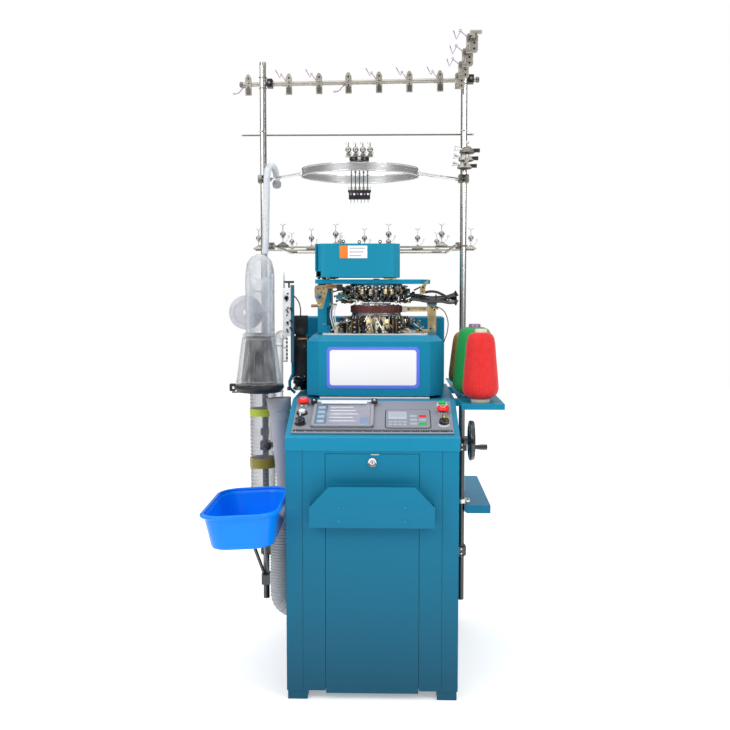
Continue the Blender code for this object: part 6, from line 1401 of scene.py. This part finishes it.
def make_rear_mechanism():
    """Dark carriers and small parts behind the dial and the cams, on both sides of the needle axis."""
    for spot in range(26):
        turn = 14 + spot * 6
        look = ("dark", "black", "dark_steel", "teal_block", "black", "gold")[spot % 6]
        upright_block(look, 0.106 + 0.006 * (spot % 3), turn, (0.014, 0.015),
                (1.202 + 0.004 * (spot % 4), 1.25), 0.0014)
        bar(("chrome", "black", "steel")[spot % 3], on_ring(0.118, turn, 1.204 + 0.005 * (spot % 5)),
                on_ring(0.096, turn + 7, 1.23 + 0.004 * (spot % 3)), 0.0024, 0.0018, 8)
    for spot in range(9):
        turn = 5 + spot * 21
        upright_block(("dark", "black", "dark_steel")[spot % 3], 0.102, turn, (0.016, 0.022), (1.12, 1.156),
                0.0014)
    for spot in range(13):
        turn = -176 + spot * 4.4 if spot < 6 else -30 + (spot - 6) * 4.6
        look = ("black", "dark", "teal_block", "dark_steel", "gold")[spot % 5]
        reach = 0.112 + 0.007 * (spot % 3)
        upright_block(look, reach, turn, (0.01, 0.009),
                (1.201 + 0.006 * (spot % 3), 1.228 + 0.004 * (spot % 4)), 0.0014)
        bar("chrome" if spot % 2 else "dark", on_ring(reach + 0.01, turn, 1.21 + 0.004 * (spot % 5)),
                on_ring(0.094, turn + 3, 1.224), 0.0022, 0.0018, 8)
    piece("rear_linkages", "machine", "plain_steel")


def make_front_cams():
    """The large gold and black cam housings that face the operator."""
    for turn, width, top, look in ((-103, 0.022, 1.148, "gold"), (-121, 0.015, 1.152, "black"),
            (-87, 0.013, 1.142, "ivory"),
            (-69, 0.023, 1.149, "gold"), (-53, 0.015, 1.152, "black"), (-139, 0.018, 1.136, "gold"),
            (-37, 0.018, 1.136, "gold")):
        upright_block(look, 0.093, turn, (0.013, width), (1.103, top), 0.002)
        for rise in (1.112, 1.133):
            bar("dark" if look != "black" else "chrome", on_ring(0.099, turn, rise),
                    on_ring(0.1012, turn, rise), 0.003, sides=14)
    for turn, lean in ((-112, 8), (-95, -7), (-79, 7), (-61, -8)):
        bar("chrome", on_ring(0.103, turn, 1.106), on_ring(0.096, turn + lean, 1.15), 0.0022, 0.0016, 10)
        bar("black", on_ring(0.102, turn + 3, 1.108), on_ring(0.095, turn + 3 + lean, 1.146), 0.0024, 0.0018,
                10)
    piece("front_cam_housings", "machine", "gold_zinc")


make_rear_mechanism()
make_front_cams()
make_gear_ring()
make_cylinder()
make_dial()
make_finger_carrier()
make_cam_ring()
make_selectors()
make_left_mechanism()
make_right_mechanism()
make_air_tubes()
make_cover()
make_pillar_details()


# ---------------------------------------------------------------- drive and handwheel
def make_motor():
    """The drive motor with fins, fan box and screws, and the belt pulley under it."""
    x0, x1, y0, y1 = -0.283, -0.2325, 0.445, 0.535
    block("black", (x0, x1), (y0, y1), (0.937, 1.086), 0.003)
    block("dark", (x0 + 0.001, x1 - 0.001), (y0 - 0.0016, y0 + 0.004), (0.942, 1.06), 0.001)
    block("black", (x0 + 0.004, x1 - 0.002), (y0 + 0.008, y1 - 0.008), (1.094, 1.157), 0.002)
    block("dark", (x0 + 0.009, x1 - 0.007), (y0 + 0.0066, y0 + 0.01), (1.104, 1.15), 0.001)
    block("black", (x0 + 0.01, x1 - 0.008), (y0 + 0.014, y1 - 0.014), (1.082, 1.098), 0.001)
    for fin in range(9):
        y = y0 + 0.006 + fin * 0.0098
        block("black", (x0 - 0.0024, x0 + 0.003), (y - 0.0018, y + 0.0018), (0.956, 1.07), 0.0006)
    block("black", (x0 + 0.004, -0.2212), (y0 + 0.004, y1 - 0.004), (0.9335, 0.9465), 0.001)
    bar("bronze", (-0.264, 0.442, 1.078), (-0.228, 0.442, 1.078), 0.0046, 0.004, 18, 0.0008)
    for x in (-0.275, -0.241):
        for z in (0.95, 1.052):
            turned("steel", (x, y0 - 0.0016, z), [(0, 0.002), (0.0022, 0.0019), (0.0028, 0.0)], FRONT, 12)
    pipe("black", [(-0.292, 0.41, 1.232), (-0.278, 0.412, 1.228), (-0.262, 0.424, 1.212),
            (-0.254, 0.444, 1.184), (-0.254, 0.452, 1.158)],
            0.002, 2)
    piece("motor_housing", "machine", "black_plastic", "drive_motor")
    top = 0.931
    profile = [(0, top), (0.02, top), (0.021, top - 0.0006), (0.0262, top - 0.0012), (0.027, top - 0.004),
            (0.0266, top - 0.008), (0.021, top - 0.0116), (0.021, top - 0.018), (0.0266, top - 0.024),
            (0.027, top - 0.028), (0.025, top - 0.03), (0, top - 0.03)]
    turned("black", (-0.25775, 0.49, 0), profile, sides=48)
    ring("chrome", (-0.25775, 0.49, top + 0.0002), 0.0205, 0.0012, sides=40, wire_sides=8)
    piece("belt_pulley", "pulley", "black_plastic", "motor_pulley")


def make_valve_details():
    """The white and teal stack of valves with its levers, sight glass and oil cup."""
    block("white", (-0.309, -0.2812), (0.398, 0.424), (1.09, 1.252), 0.0014)
    block("teal_block", (-0.283, -0.2722), (0.398, 0.424), (1.0, 1.262), 0.001)
    for k in range(6):
        z = 1.106 + 0.024 * k
        block("paper", (-0.306, -0.29), (0.3968, 0.3984), (z, z + 0.014), 0.0004)
        turned("black", (-0.295 + 0.003 * (k % 2), 0.3972, z + 0.007),
                [(0, 0.002), (0.0026, 0.0018), (0.0032, 0.0)], FRONT, 14)
    turned("gloss_black", (-0.296, 0.398, 1.218),
            [(0, 0.009), (0.005, 0.0088), (0.0076, 0.007), (0.008, 0.0)], FRONT, 24)
    for z, tilt in ((1.186, 0.012), (1.144, 0.01), (1.12, 0.012)):
        bar("black", (-0.284, 0.396, z), (-0.279 + tilt * 0.3, 0.394, z - tilt), 0.0034, 0.0024, 12)
        bar("black", (-0.296, 0.396, z - 0.006), (-0.29, 0.393, z - 0.006 - tilt), 0.0026, 0.002, 12)
    bar("black", (-0.306, 0.411, 1.272), (-0.272, 0.411, 1.272), 0.0036, sides=14)
    bar("black", (-0.289, 0.411, 1.252), (-0.289, 0.411, 1.272), 0.003, sides=14)
    bar("steel", (-0.3055, 0.411, 1.25), (-0.3055, 0.411, 1.306), 0.0036, 0.0006, 14)
    bar("duct", (-0.304, 0.411, 1.005), (-0.304, 0.411, 1.095), 0.007, sides=24)
    for z in (1.004, 1.05, 1.092):
        ring("steel", (-0.304, 0.411, z), 0.0072, 0.0016, sides=28, wire_sides=8)
    for k in range(12):
        block("black" if k % 2 else "white", (-0.299, -0.293), (0.398, 0.3996),
                (1.006 + 0.0066 * k, 1.0126 + 0.0066 * k), 0.0)
    pipe("enamel", [(-0.2775, 0.415, 1.0), (-0.2775, 0.415, 0.962), (-0.289, 0.415, 0.935),
            (-0.288, 0.415, 0.912), (-0.27, 0.415, 0.896)],
            0.0052, 3, False)
    ring("chrome", (-0.26, 0.42, 0.945), 0.017, 0.002, (0.1, 0.5, 1), 32, 8)
    turned("dark", (-0.26, 0.42, 0.933), [(0, 0.008), (0.012, 0.0078), (0.016, 0.005), (0.016, 0.0)],
            sides=28)
    for x, look in ((-0.292, "bronze"), (-0.266, "chrome"), (-0.256, "ivory")):
        bar(look, (x, 0.405, 0.906), (x, 0.405, 0.918), 0.005, 0.0042, 14)
    piece("valve_stack", "machine", "white_plastic", "valve_unit")


def make_handwheel():
    """Round-rimmed wheel with dished spokes, a hub nut and the boss under the grip, all in one piece that
    rides on the wheel.
    """
    x, y, z, reach = 0.303, 0.12, 0.78, 0.0625
    ring("gloss_black", (x, y, z), reach - 0.0072, 0.007, (1, 0, 0), 72, 14)
    turned("gloss_black", (x, y, z), [(0, 0.01), (0.008, 0.01), (0.011, 0.008), (0.013, 0.0), (0.012, -0.022),
            (0.009, -0.03), (0.0078, -0.03), (0.0078, -0.042), (0, -0.042)], (1, 0, 0), 36)
    for spoke in range(3):
        turn = math.radians(198 + 120 * spoke)
        c, s = math.cos(turn), math.sin(turn)
        bar("gloss_black", (x - 0.004, y + 0.01 * c, z + 0.01 * s), (x, y + 0.052 * c, z + 0.052 * s), 0.0064,
                0.005, 20)
    turned("chrome", (x + 0.0096, y, z), [(0, 0.0034), (0.003, 0.0034), (0.005, 0.0026), (0.0056, 0.0)],
            (1, 0, 0), 6)
    turn = math.radians(198)
    gy, gz = y + 0.045 * math.cos(turn), z + 0.045 * math.sin(turn)
    turned("gloss_black", (x + 0.002, gy, gz), [(0, 0.006), (0.008, 0.006), (0.0096, 0.004), (0.01, 0.0)],
            (1, 0, 0), 28)
    piece("handwheel_rim", "wheel", "black_gloss")


def make_post_details():
    """Caps, clamp screws and collars of both posts."""
    for x, top in ((-0.386, 2.022), (0.303, 1.978)):
        turned("steel", (x, POST_Y, top - 0.004),
                [(0, 0.0046), (0.008, 0.0044), (0.0113, 0.003), (0.0113, -0.006)], sides=24)
        for z in (0.33, 0.7):
            for dz in (-0.008, 0.008):
                turned("steel", (x, 0.5028, z + dz),
                        [(0, 0.005), (0.0034, 0.0048), (0.0046, 0.003), (0.0046, 0.0)], FRONT, 6)
        for z in (0.31, 0.35):
            ring("dark_steel", (x, POST_Y, z), 0.0122, 0.002, sides=32, wire_sides=8)
    piece("post_fittings", "machine", "plain_steel")


make_motor()
make_valve_details()
make_handwheel()
make_post_details()


# ---------------------------------------------------------------- yarn detectors over the machine
def make_detector(x, y, z, tilt, dropped):
    """A pointed detector plate with its switch block, screws, eyelet and wire arm."""
    outline = [(-0.0095, -0.038), (0.0095, -0.038), (0.01, -0.03), (0.01, 0.019), (0.0042, 0.03),
            (0.002, 0.032),
            (-0.002, 0.032), (-0.0042, 0.03), (-0.01, 0.019), (-0.01, -0.03)]
    place = Matrix.Translation(at(x, y, z)) @ Matrix.Rotation(-tilt, 4,
            "Y") @ Matrix.Rotation(math.radians(90), 4, "X")
    sheet_shape("zinc", outline, place, 0.006, 0.001)
    sheet_shape("dark_steel", rounded(0.013, 0.02, 0.002, 3, (0.0, -0.025)),
            place @ Matrix.Translation((0, 0, 0.0042)), 0.005, 0.0008)
    turned("dark", (x, y - 0.0032, z + 0.018), [(0, 0.0008), (0.0024, 0.001), (0.0032, 0.0)], FRONT, 16)
    turned("chrome", (x, y - 0.0032, z + 0.003),
            [(0, 0.005), (0.0034, 0.0046), (0.0044, 0.002), (0.0044, 0.0)], FRONT, 16)
    turned("dark", (x, y - 0.0032, z - 0.01), [(0, 0.0016), (0.0022, 0.0014), (0.0028, 0.0)], FRONT, 12)
    side = x - 0.008
    if dropped:
        pipe("pink", [(side, y - 0.002, z - 0.01), (side - 0.012, y - 0.003, z - 0.016),
                (side - 0.024, y - 0.005, z - 0.03),
                (side - 0.038, y - 0.007, z - 0.035)], 0.0017, 2)
        ring("pink", (side - 0.04, y - 0.007, z - 0.034), 0.0034, 0.0009, (0.3, 1, 0), 18, 6)
    else:
        pipe("pink", [(side, y - 0.001, z + 0.004), (side - 0.017, y - 0.003, z + 0.028),
                (side - 0.023, y - 0.004, z + 0.018),
                (side - 0.037, y - 0.004, z + 0.044)], 0.0017, 2, False)
        ring("pink", (side - 0.018, y - 0.004, z + 0.029), 0.003, 0.0009, (0.2, 1, 0), 18, 6)
    pipe("dark_steel", [(side, y - 0.003, z - 0.004), (side - 0.01, y - 0.006, z - 0.012),
            (side - 0.016, y - 0.006, z - 0.007)], 0.0007, 1)


def make_crossbar():
    """The bar with seven detectors, its end plugs and its clamps on the posts."""
    tilt = math.radians(0.9)
    middle = sum(POSTS) / 2
    y, z = 0.541, 1.958

    def on_bar(x):
        return z + (x - middle) * math.tan(tilt)

    bar("zinc", (-0.465, y, on_bar(-0.465)), (0.352, y, on_bar(0.352)), 0.008, sides=28)
    for x, way in ((-0.465, -1), (0.352, 1)):
        turned("dark_steel", (x, y, on_bar(x)),
                [(0, 0.004), (0.007, 0.0036), (0.01, 0.001), (0.0103, -0.006), (0.0082, -0.008)],
                (way, 0, 0), 28)
    for spot, x in enumerate((-0.438, -0.298, -0.194, -0.093, 0.012, 0.116, 0.221)):
        make_detector(x, y - 0.0085, on_bar(x), tilt, spot in (0, 3))
    for x in (-0.363, 0.326):
        block("dark", (x - 0.01, x + 0.01), (y - 0.028, y + 0.01), (on_bar(x) - 0.014, on_bar(x) + 0.014),
                0.002)
        turned("steel", (x, y - 0.028, on_bar(x)),
                [(0, 0.004), (0.004, 0.0038), (0.0052, 0.002), (0.0052, 0.0)], FRONT, 6)
    piece("detector_bar", "machine", "cream_steel", "crossbar")
    for x in POSTS:
        for dz in (-0.018, 0.018):
            ring("dark_steel", (x, POST_Y, on_bar(x) + dz), 0.0118, 0.002, sides=32, wire_sides=8)
    piece("post_collars", "machine", "plain_steel")


def make_side_arm():
    """The arm at the right with four detectors."""
    x, z = 0.2847, 1.96
    block("zinc", (0.2777, 0.2917), (-0.06, 0.526), (z - 0.002, z + 0.012), 0.0014)
    block("zinc", (0.2777, 0.3117), (-0.06, -0.048), (z + 0.01, z + 0.02), 0.0014)
    for spot, y in enumerate((-0.045, 0.13, 0.3, 0.47)):
        outline = [(-0.0155, -0.04), (0.011, -0.04), (0.016, -0.034), (0.016, 0.006), (0.01, 0.012),
                (-0.012, 0.012),
                (-0.016, 0.006)]
        sheet_shape("zinc", outline, facing_front(x, y, z), 0.008, 0.001)
        block("dark_steel", (x - 0.012, x + 0.012), (y - 0.014, y - 0.003), (z - 0.006, z + 0.008), 0.0012)
        block("zinc", (x - 0.017, x - 0.006), (y - 0.012, y - 0.003), (z - 0.034, z - 0.014), 0.0012)
        for dx, dz in ((0.006, -0.014), (0.006, -0.03), (-0.005, 0.002)):
            turned("dark", (x + dx, y - (0.0142 if dz > 0 else 0.0042), z + dz),
                    [(0, 0.0024), (0.0026, 0.0022), (0.0034, 0.0)], FRONT, 14)
        turned("chrome", (x - 0.0115, y - 0.0122, z - 0.024), [(0, 0.005), (0.003, 0.0046), (0.004, 0.0)],
                FRONT, 16)
        if spot < 3:
            pipe("pink", [(x - 0.01, y - 0.008, z - 0.002), (x - 0.034, y - 0.014, z + 0.016),
                    (x - 0.046, y - 0.014, z - 0.006),
                    (x - 0.054, y - 0.014, z + 0.018)], 0.0017, 2, False)
            ring("pink", (x - 0.035, y - 0.014, z + 0.018), 0.0034, 0.0009, (0.2, 1, 0), 18, 6)
    piece("side_detector_arm", "machine", "cream_steel", "side_arm")


def make_guide_rod():
    y, z = 0.5342, 1.778
    bar("dark_steel", (-0.461, y, z), (0.336, y, z), 0.0028, sides=16)
    for x in (-0.461, 0.336):
        ball("chrome", (x, y, z), 0.0036, sides=12)
    for x in POSTS:
        block("steel", (x - 0.0045, x + 0.0045), (y - 0.002, y + 0.0032), (z - 0.004, z + 0.02), 0.001)
        turned("dark", (x, 0.5085, z + 0.01), [(0, 0.003), (0.0028, 0.0028), (0.0036, 0.0)], FRONT, 14)
        ring("steel", (x, POST_Y, z + 0.01), 0.0116, 0.0016, sides=32, wire_sides=8)
    piece("guide_rod_and_clips", "machine", "plain_steel", "guide_rod")


def make_guide_ring():
    """A satin band between two polished rims, with its arms, clamps and yarn eyelets."""
    x, y, reach, z0, z1 = -0.0505, 0.45, 0.195, 1.624, 1.652
    turned("band", (x, y, 0), [(reach, z0 + 0.002), (reach, z1 - 0.002), (reach - 0.0026, z1 - 0.002),
            (reach - 0.0026, z0 + 0.002)],
            sides=120, closed=True)
    for z in (z0 + 0.0022, z1 - 0.0022):
        ring("chrome", (x, y, z), reach - 0.0008, 0.0026, sides=140, wire_sides=12)
    for spot in range(24):
        turn = math.radians(spot * 15 + 7)
        px, py = x + (reach + 0.0006) * math.cos(turn), y + (reach + 0.0006) * math.sin(turn)
        turned("steel", (px, py, 1.638), [(0, 0.0016), (0.0018, 0.0014), (0.0024, 0.0)],
                (math.cos(turn), math.sin(turn), 0), 12)
    for side, post in ((-1, -0.386), (1, 0.303)):
        end = x + side * (reach - 0.002)
        pipe("chrome", [(end, y, 1.636), (end + side * 0.012, y + 0.004, 1.636),
                (end + side * 0.04, y + 0.022, 1.6335),
                (post - side * 0.022, POST_Y, 1.626)], 0.0052, 3)
        turned("chrome", (end + side * 0.004, y, 1.636),
                [(0, 0.006), (0.007, 0.0054), (0.009, 0.002), (0.009, -0.003)], (side, 0, 0), 28)
        block("dark_steel", (post - 0.018, post + 0.018), (0.502, 0.538), (1.612, 1.64), 0.003)
        for dz in (1.619, 1.633):
            turned("dark", (post, 0.5018, dz), [(0, 0.004), (0.0034, 0.0038), (0.0044, 0.002), (0.0044, 0.0)],
                    FRONT, 6)
        bar("steel", (post - side * 0.012, POST_Y, 1.626), (post - side * 0.028, POST_Y, 1.626), 0.0072,
                sides=22, soft=0.001)
    piece("yarn_guide_ring", "machine", "plain_steel", "guide_ring")


def make_ring_tension():
    """Four ball tensioners over the guide ring, and the yarn comb that hangs inside it."""
    cx, y, base = -0.0465, 0.245, 1.664
    block("steel", (cx - 0.044, cx + 0.044), (y - 0.005, y + 0.005), (base, base + 0.006), 0.0014)
    for k in range(4):
        x = cx - 0.0345 + 0.023 * k
        ball("ball", (x, y, base + 0.024), 0.0097, sides=28)
        bar("dark_steel", (x, y, base), (x, y, base + 0.046), 0.0016, sides=12)
        turned("dark_steel", (x, y, base + 0.006),
                [(0.002, 0.008), (0.005, 0.007), (0.008, 0.002), (0.0084, 0.0)], sides=24)
        ring("chrome", (x - 0.004, y, base + 0.044), 0.0042, 0.001, (0.3, 1, 0), 22, 8)
        ring("dark_steel", (x + 0.007, y - 0.004, base + 0.012), 0.0034, 0.0008, (0.3, 1, 0), 18, 6)
    for x in (cx - 0.018, cx + 0.018):
        block("dark", (x - 0.013, x + 0.013), (y - 0.006, y + 0.006), (1.653, base + 0.002), 0.0014)
        bar("steel", (x, y - 0.006, 1.659), (x, y - 0.009, 1.659), 0.0034, sides=6)
    hanger = 0.269
    block("steel", (cx - 0.01, cx + 0.01), (y - 0.002, hanger + 0.004), (1.656, 1.661), 0.001)
    block("dark_steel", (cx - 0.03, cx + 0.03), (hanger - 0.003, hanger + 0.003), (1.654, 1.66), 0.001)
    for k in range(5):
        x = cx - 0.026 + 0.013 * k
        bar("dark", (x, hanger, 1.56), (x, hanger, 1.658), 0.0015, sides=12)
        ring("steel", (x, hanger, 1.61 + 0.01 * (k % 2)), 0.0028, 0.0008, (0, 1, 0), 16, 6)
        ball("dark_steel", (x, hanger, 1.632 - 0.008 * (k % 3)), 0.0034, sides=14)
    block("black", (cx - 0.037, cx + 0.037), (hanger - 0.006, hanger + 0.006), (1.556, 1.564), 0.0014)
    block("dark", (cx - 0.034, cx + 0.034), (hanger - 0.01, hanger + 0.008), (1.534, 1.558), 0.0014)
    for k in range(6):
        x = cx - 0.0275 + 0.011 * k
        turned("white" if k % 2 else "pink", (x, hanger - 0.0102, 1.55),
                [(0, 0.001), (0.0026, 0.0012), (0.0034, 0.0)], FRONT, 16)
        bar("dark_steel", (x, hanger - 0.006, 1.534), (x, hanger - 0.006, 1.524), 0.001, sides=8)
        ring("white", (x, hanger - 0.006, 1.522), 0.0026, 0.0008, (0, 1, 0), 16, 6)
    for k in range(12):
        x = cx - 0.034 + 0.0062 * k
        bar("dark", (x, hanger, 1.563), (x, hanger - 0.001, 1.574), 0.0009, sides=6)
    piece("ring_tensioners", "machine", "plain_steel", "ring_tension")


def make_tension_unit(x, y, z, shade):
    """A cone-footed disc tensioner with its steel ball, washers and V eyelet."""
    turned(shade, (x, y, z), [(0, 0.0032), (0.021, 0.003), (0.022, 0.0042), (0.0214, 0.0056), (0.008, 0.015),
            (0.004, 0.018),
            (0, 0.0184)], sides=32)
    turned("black", (x, y, z), [(0, 0.001), (0.016, 0.0012), (0.02, 0.003)], sides=28)
    bar("steel", (x, y, z + 0.016), (x, y, z + 0.076), 0.0013, sides=10)
    turned("steel", (x, y, z + 0.03), [(0.0016, 0.0), (0.0078, 0.001), (0.0084, 0.0024), (0.0078, 0.003),
            (0.0016, 0.004)], sides=24)
    ball("ball", (x, y, z + 0.045), 0.0105, sides=24)
    for side in (-1, 1):
        pipe("dark_steel", [(x, y, z + 0.074), (x + side * 0.005, y, z + 0.079),
                (x + side * 0.01, y - 0.001, z + 0.081)], 0.0009, 1)
    pipe("steel", [(x + 0.004, y - 0.004, z + 0.014), (x + 0.016, y - 0.01, z + 0.022),
            (x + 0.022, y - 0.012, z + 0.034)], 0.0009, 1, False)
    ring("steel", (x + 0.0225, y - 0.0125, z + 0.0372), 0.0034, 0.0008, (0.4, 1, 0), 18, 6)


def make_rear_creel():
    """Three bars with thirteen tension units, on two arms clamped to the posts."""
    z = 1.397
    rows = ((0.6, -0.329, 0.233, 4), (0.87, -0.451, 0.357, 5), (1.14, -0.351, 0.24, 4))
    for x in (-0.35, 0.277):
        block("zinc", (x - 0.004, x + 0.004), (0.495, 1.16), (z - 0.004, z + 0.004), 0.001)
    for row, (y, first, last, count) in enumerate(rows):
        start, end = min(first - 0.012, -0.351), max(last + 0.012, 0.278)
        block("zinc", (start, end), (y - 0.004, y + 0.004), (z - 0.0035, z + 0.0035), 0.001)
        for k in range(count):
            make_tension_unit(first + (last - first) * k / (count - 1), y, z,
                    "zinc" if (k + row) % 2 else "dark_steel")
        for x in (-0.35, 0.277):
            turned("steel", (x, y, z + 0.0038), [(0, 0.003), (0.003, 0.0028), (0.004, 0.0)], sides=6)
    for x, post in ((-0.35, -0.386), (0.277, 0.303)):
        near = post + (0.0114 if x > post else -0.0114)
        start, end = sorted((x, near))
        block("dark_steel", (start, end), (0.508, 0.532), (z - 0.012, z + 0.012), 0.002)
        turned("steel", ((start + end) / 2, 0.508, z),
                [(0, 0.0044), (0.0036, 0.0042), (0.0048, 0.002), (0.0048, 0.0)], FRONT, 6)
        ring("dark_steel", (post, POST_Y, z), 0.0128, 0.0034, sides=32, wire_sides=8)
    piece("rear_creel_bars", "machine", "cream_steel", "rear_creel")


def make_side_tension():
    """The arm with three cone tensioners on the right post."""
    x, z, y0 = 0.303, 1.672, 0.36
    block("zinc", (x - 0.006, x + 0.006), (y0 - 0.02, 0.5086), (z - 0.004, z + 0.004), 0.0014)
    for k, drop in enumerate((-0.018, 0.0, 0.018)):
        y, z = y0 + 0.056 * k, 1.672 - drop
        if drop:
            bar("steel", (x, y, 1.672), (x, y, z), 0.0048, sides=16)
        turned("zinc" if k else "dark_steel", (x, y, z),
                [(0, 0.0022), (0.0256, 0.0024), (0.0262, 0.0044), (0.025, 0.0066), (0.011, 0.021),
                (0.009, 0.0226),
                (0, 0.023)], sides=40)
        turned("black", (x, y, z), [(0.006, -0.002), (0.02, -0.001), (0.025, 0.002)], sides=32)
        bar("steel", (x, y, z + 0.02), (x, y, z + 0.04), 0.003, sides=14)
        turned("chrome", (x, y, z + 0.034), [(0, 0.006), (0.004, 0.0056), (0.0062, 0.003), (0.0062, 0.0)],
                sides=20)
        bar("black", (x + 0.012, y, z + 0.01), (x + 0.041, y, z + 0.01), 0.006, 0.007, 22, 0.001)
        bar("chrome", (x - 0.018, y - 0.008, z + 0.012), (x - 0.04, y - 0.01, z + 0.016), 0.003, 0.0085, 20)
        ring("chrome", (x - 0.0402, y - 0.01, z + 0.0161), 0.0082, 0.001, (-1, -0.1, 0.2), 28, 6)
    piece("side_tensioners", "machine", "cream_steel", "side_tension")


def make_shelf_details():
    turned("steel", (0.303, POST_Y, 0.5), [(0.0112, 0.0), (0.02, 0.0), (0.02, 0.013), (0.018, 0.015),
            (0.0112, 0.015)], sides=36)
    block("steel", (0.316, 0.333), (0.512, 0.528), (0.501, 0.514), 0.0016)
    for z in (0.33, 0.7):
        block("steel", (0.262, 0.286), (0.504, 0.516), (z - 0.01, z + 0.01), 0.0014)
    piece("shelf_clamp", "machine", "plain_steel")


make_crossbar()
make_side_arm()
make_guide_rod()
make_guide_ring()
make_ring_tension()
make_rear_creel()
make_side_tension()
make_shelf_details()


# ---------------------------------------------------------------- camera, floor and light
def make_camera():
    """The camera, at chest height in front of the machine."""
    lens = bpy.data.cameras.new("camera")
    lens.lens = 49.3
    lens.sensor_width = 36.0
    lens.clip_start = 0.05
    camera = bpy.data.objects.new("camera", lens)
    bpy.context.scene.collection.objects.link(camera)
    camera.location = at(0.058, -2.96, 1.245)
    camera.rotation_euler = (math.radians(90 - 4.289), 0.0, math.radians(1.542))
    bpy.context.scene.camera = camera


def make_studio():
    """A plain pale floor, soft panels of light and a white surround."""
    clear_selection()
    bpy.ops.mesh.primitive_plane_add(size=14.0, location=(0, 2.0, -0.0005))
    floor = bpy.context.object
    floor.name = "floor"
    floor.data.materials.append(finish("floor_white", (0.95, 0.95, 0.95), 0.7, vary=0.01, bump=0.0, shine=0.0,
            Emission_Color=(1.0, 1.0, 1.0, 1.0), Emission_Strength=0.34))
    world = bpy.data.worlds.new("surround")
    world.use_nodes = True
    world.node_tree.nodes["Background"].inputs["Color"].default_value = (1.0, 1.0, 1.0, 1.0)
    tree = world.node_tree
    place = add_node(tree, "TexCoord")
    parts = add_node(tree, "SeparateXYZ")
    tree.links.new(place.outputs["Generated"], parts.inputs[0])
    bearing = math_node(tree, "ARCTAN2", parts.outputs["Y"], parts.outputs["X"])
    wave = math_node(tree, "SINE", math_node(tree, "MULTIPLY", bearing, 5.0))
    panels = math_node(tree, "MULTIPLY_ADD", wave, 0.42, 0.55)
    rise = add_node(tree, "MapRange", From_Min=0.1, From_Max=0.55)
    tree.links.new(parts.outputs["Z"], rise.inputs["Value"])
    above = math_node(tree, "MULTIPLY_ADD", rise.outputs["Result"], 0.75, 0.3)
    tree.links.new(math_node(tree, "MAXIMUM", math_node(tree, "MULTIPLY", panels, above),
            rise.outputs["Result"]),
            tree.nodes["Background"].inputs["Strength"])
    seen = add_node(tree, "LightPath")
    shown = add_node(tree, "Background", Color=(1.0, 1.0, 1.0, 1.0), Strength=1.0)
    either = add_node(tree, "MixShader")
    tree.links.new(seen.outputs["Is Camera Ray"], either.inputs[0])
    tree.links.new(tree.nodes["Background"].outputs[0], either.inputs[1])
    tree.links.new(shown.outputs[0], either.inputs[2])
    tree.links.new(either.outputs[0], tree.nodes["World Output"].inputs["Surface"])
    bpy.context.scene.world = world
    for name, place, size, power in (
            ("key", (-2.4, -2.6, 3.0), 2.2, 46.0),
            ("fill", (2.6, -2.4, 2.2), 1.2, 26.0),
            ("top", (0.0, 0.0, 4.0), 2.6, 18.0)):
        lamp = bpy.data.lights.new(name, "AREA")
        lamp.size = size
        lamp.energy = power
        light = bpy.data.objects.new(name, lamp)
        bpy.context.scene.collection.objects.link(light)
        light.location = at(*place)
        light.rotation_euler = (at(0.0, 0.3, 1.0) - light.location).to_track_quat("-Z", "Y").to_euler()
    bpy.context.scene.view_settings.view_transform = "Standard"


make_camera()
make_studio()
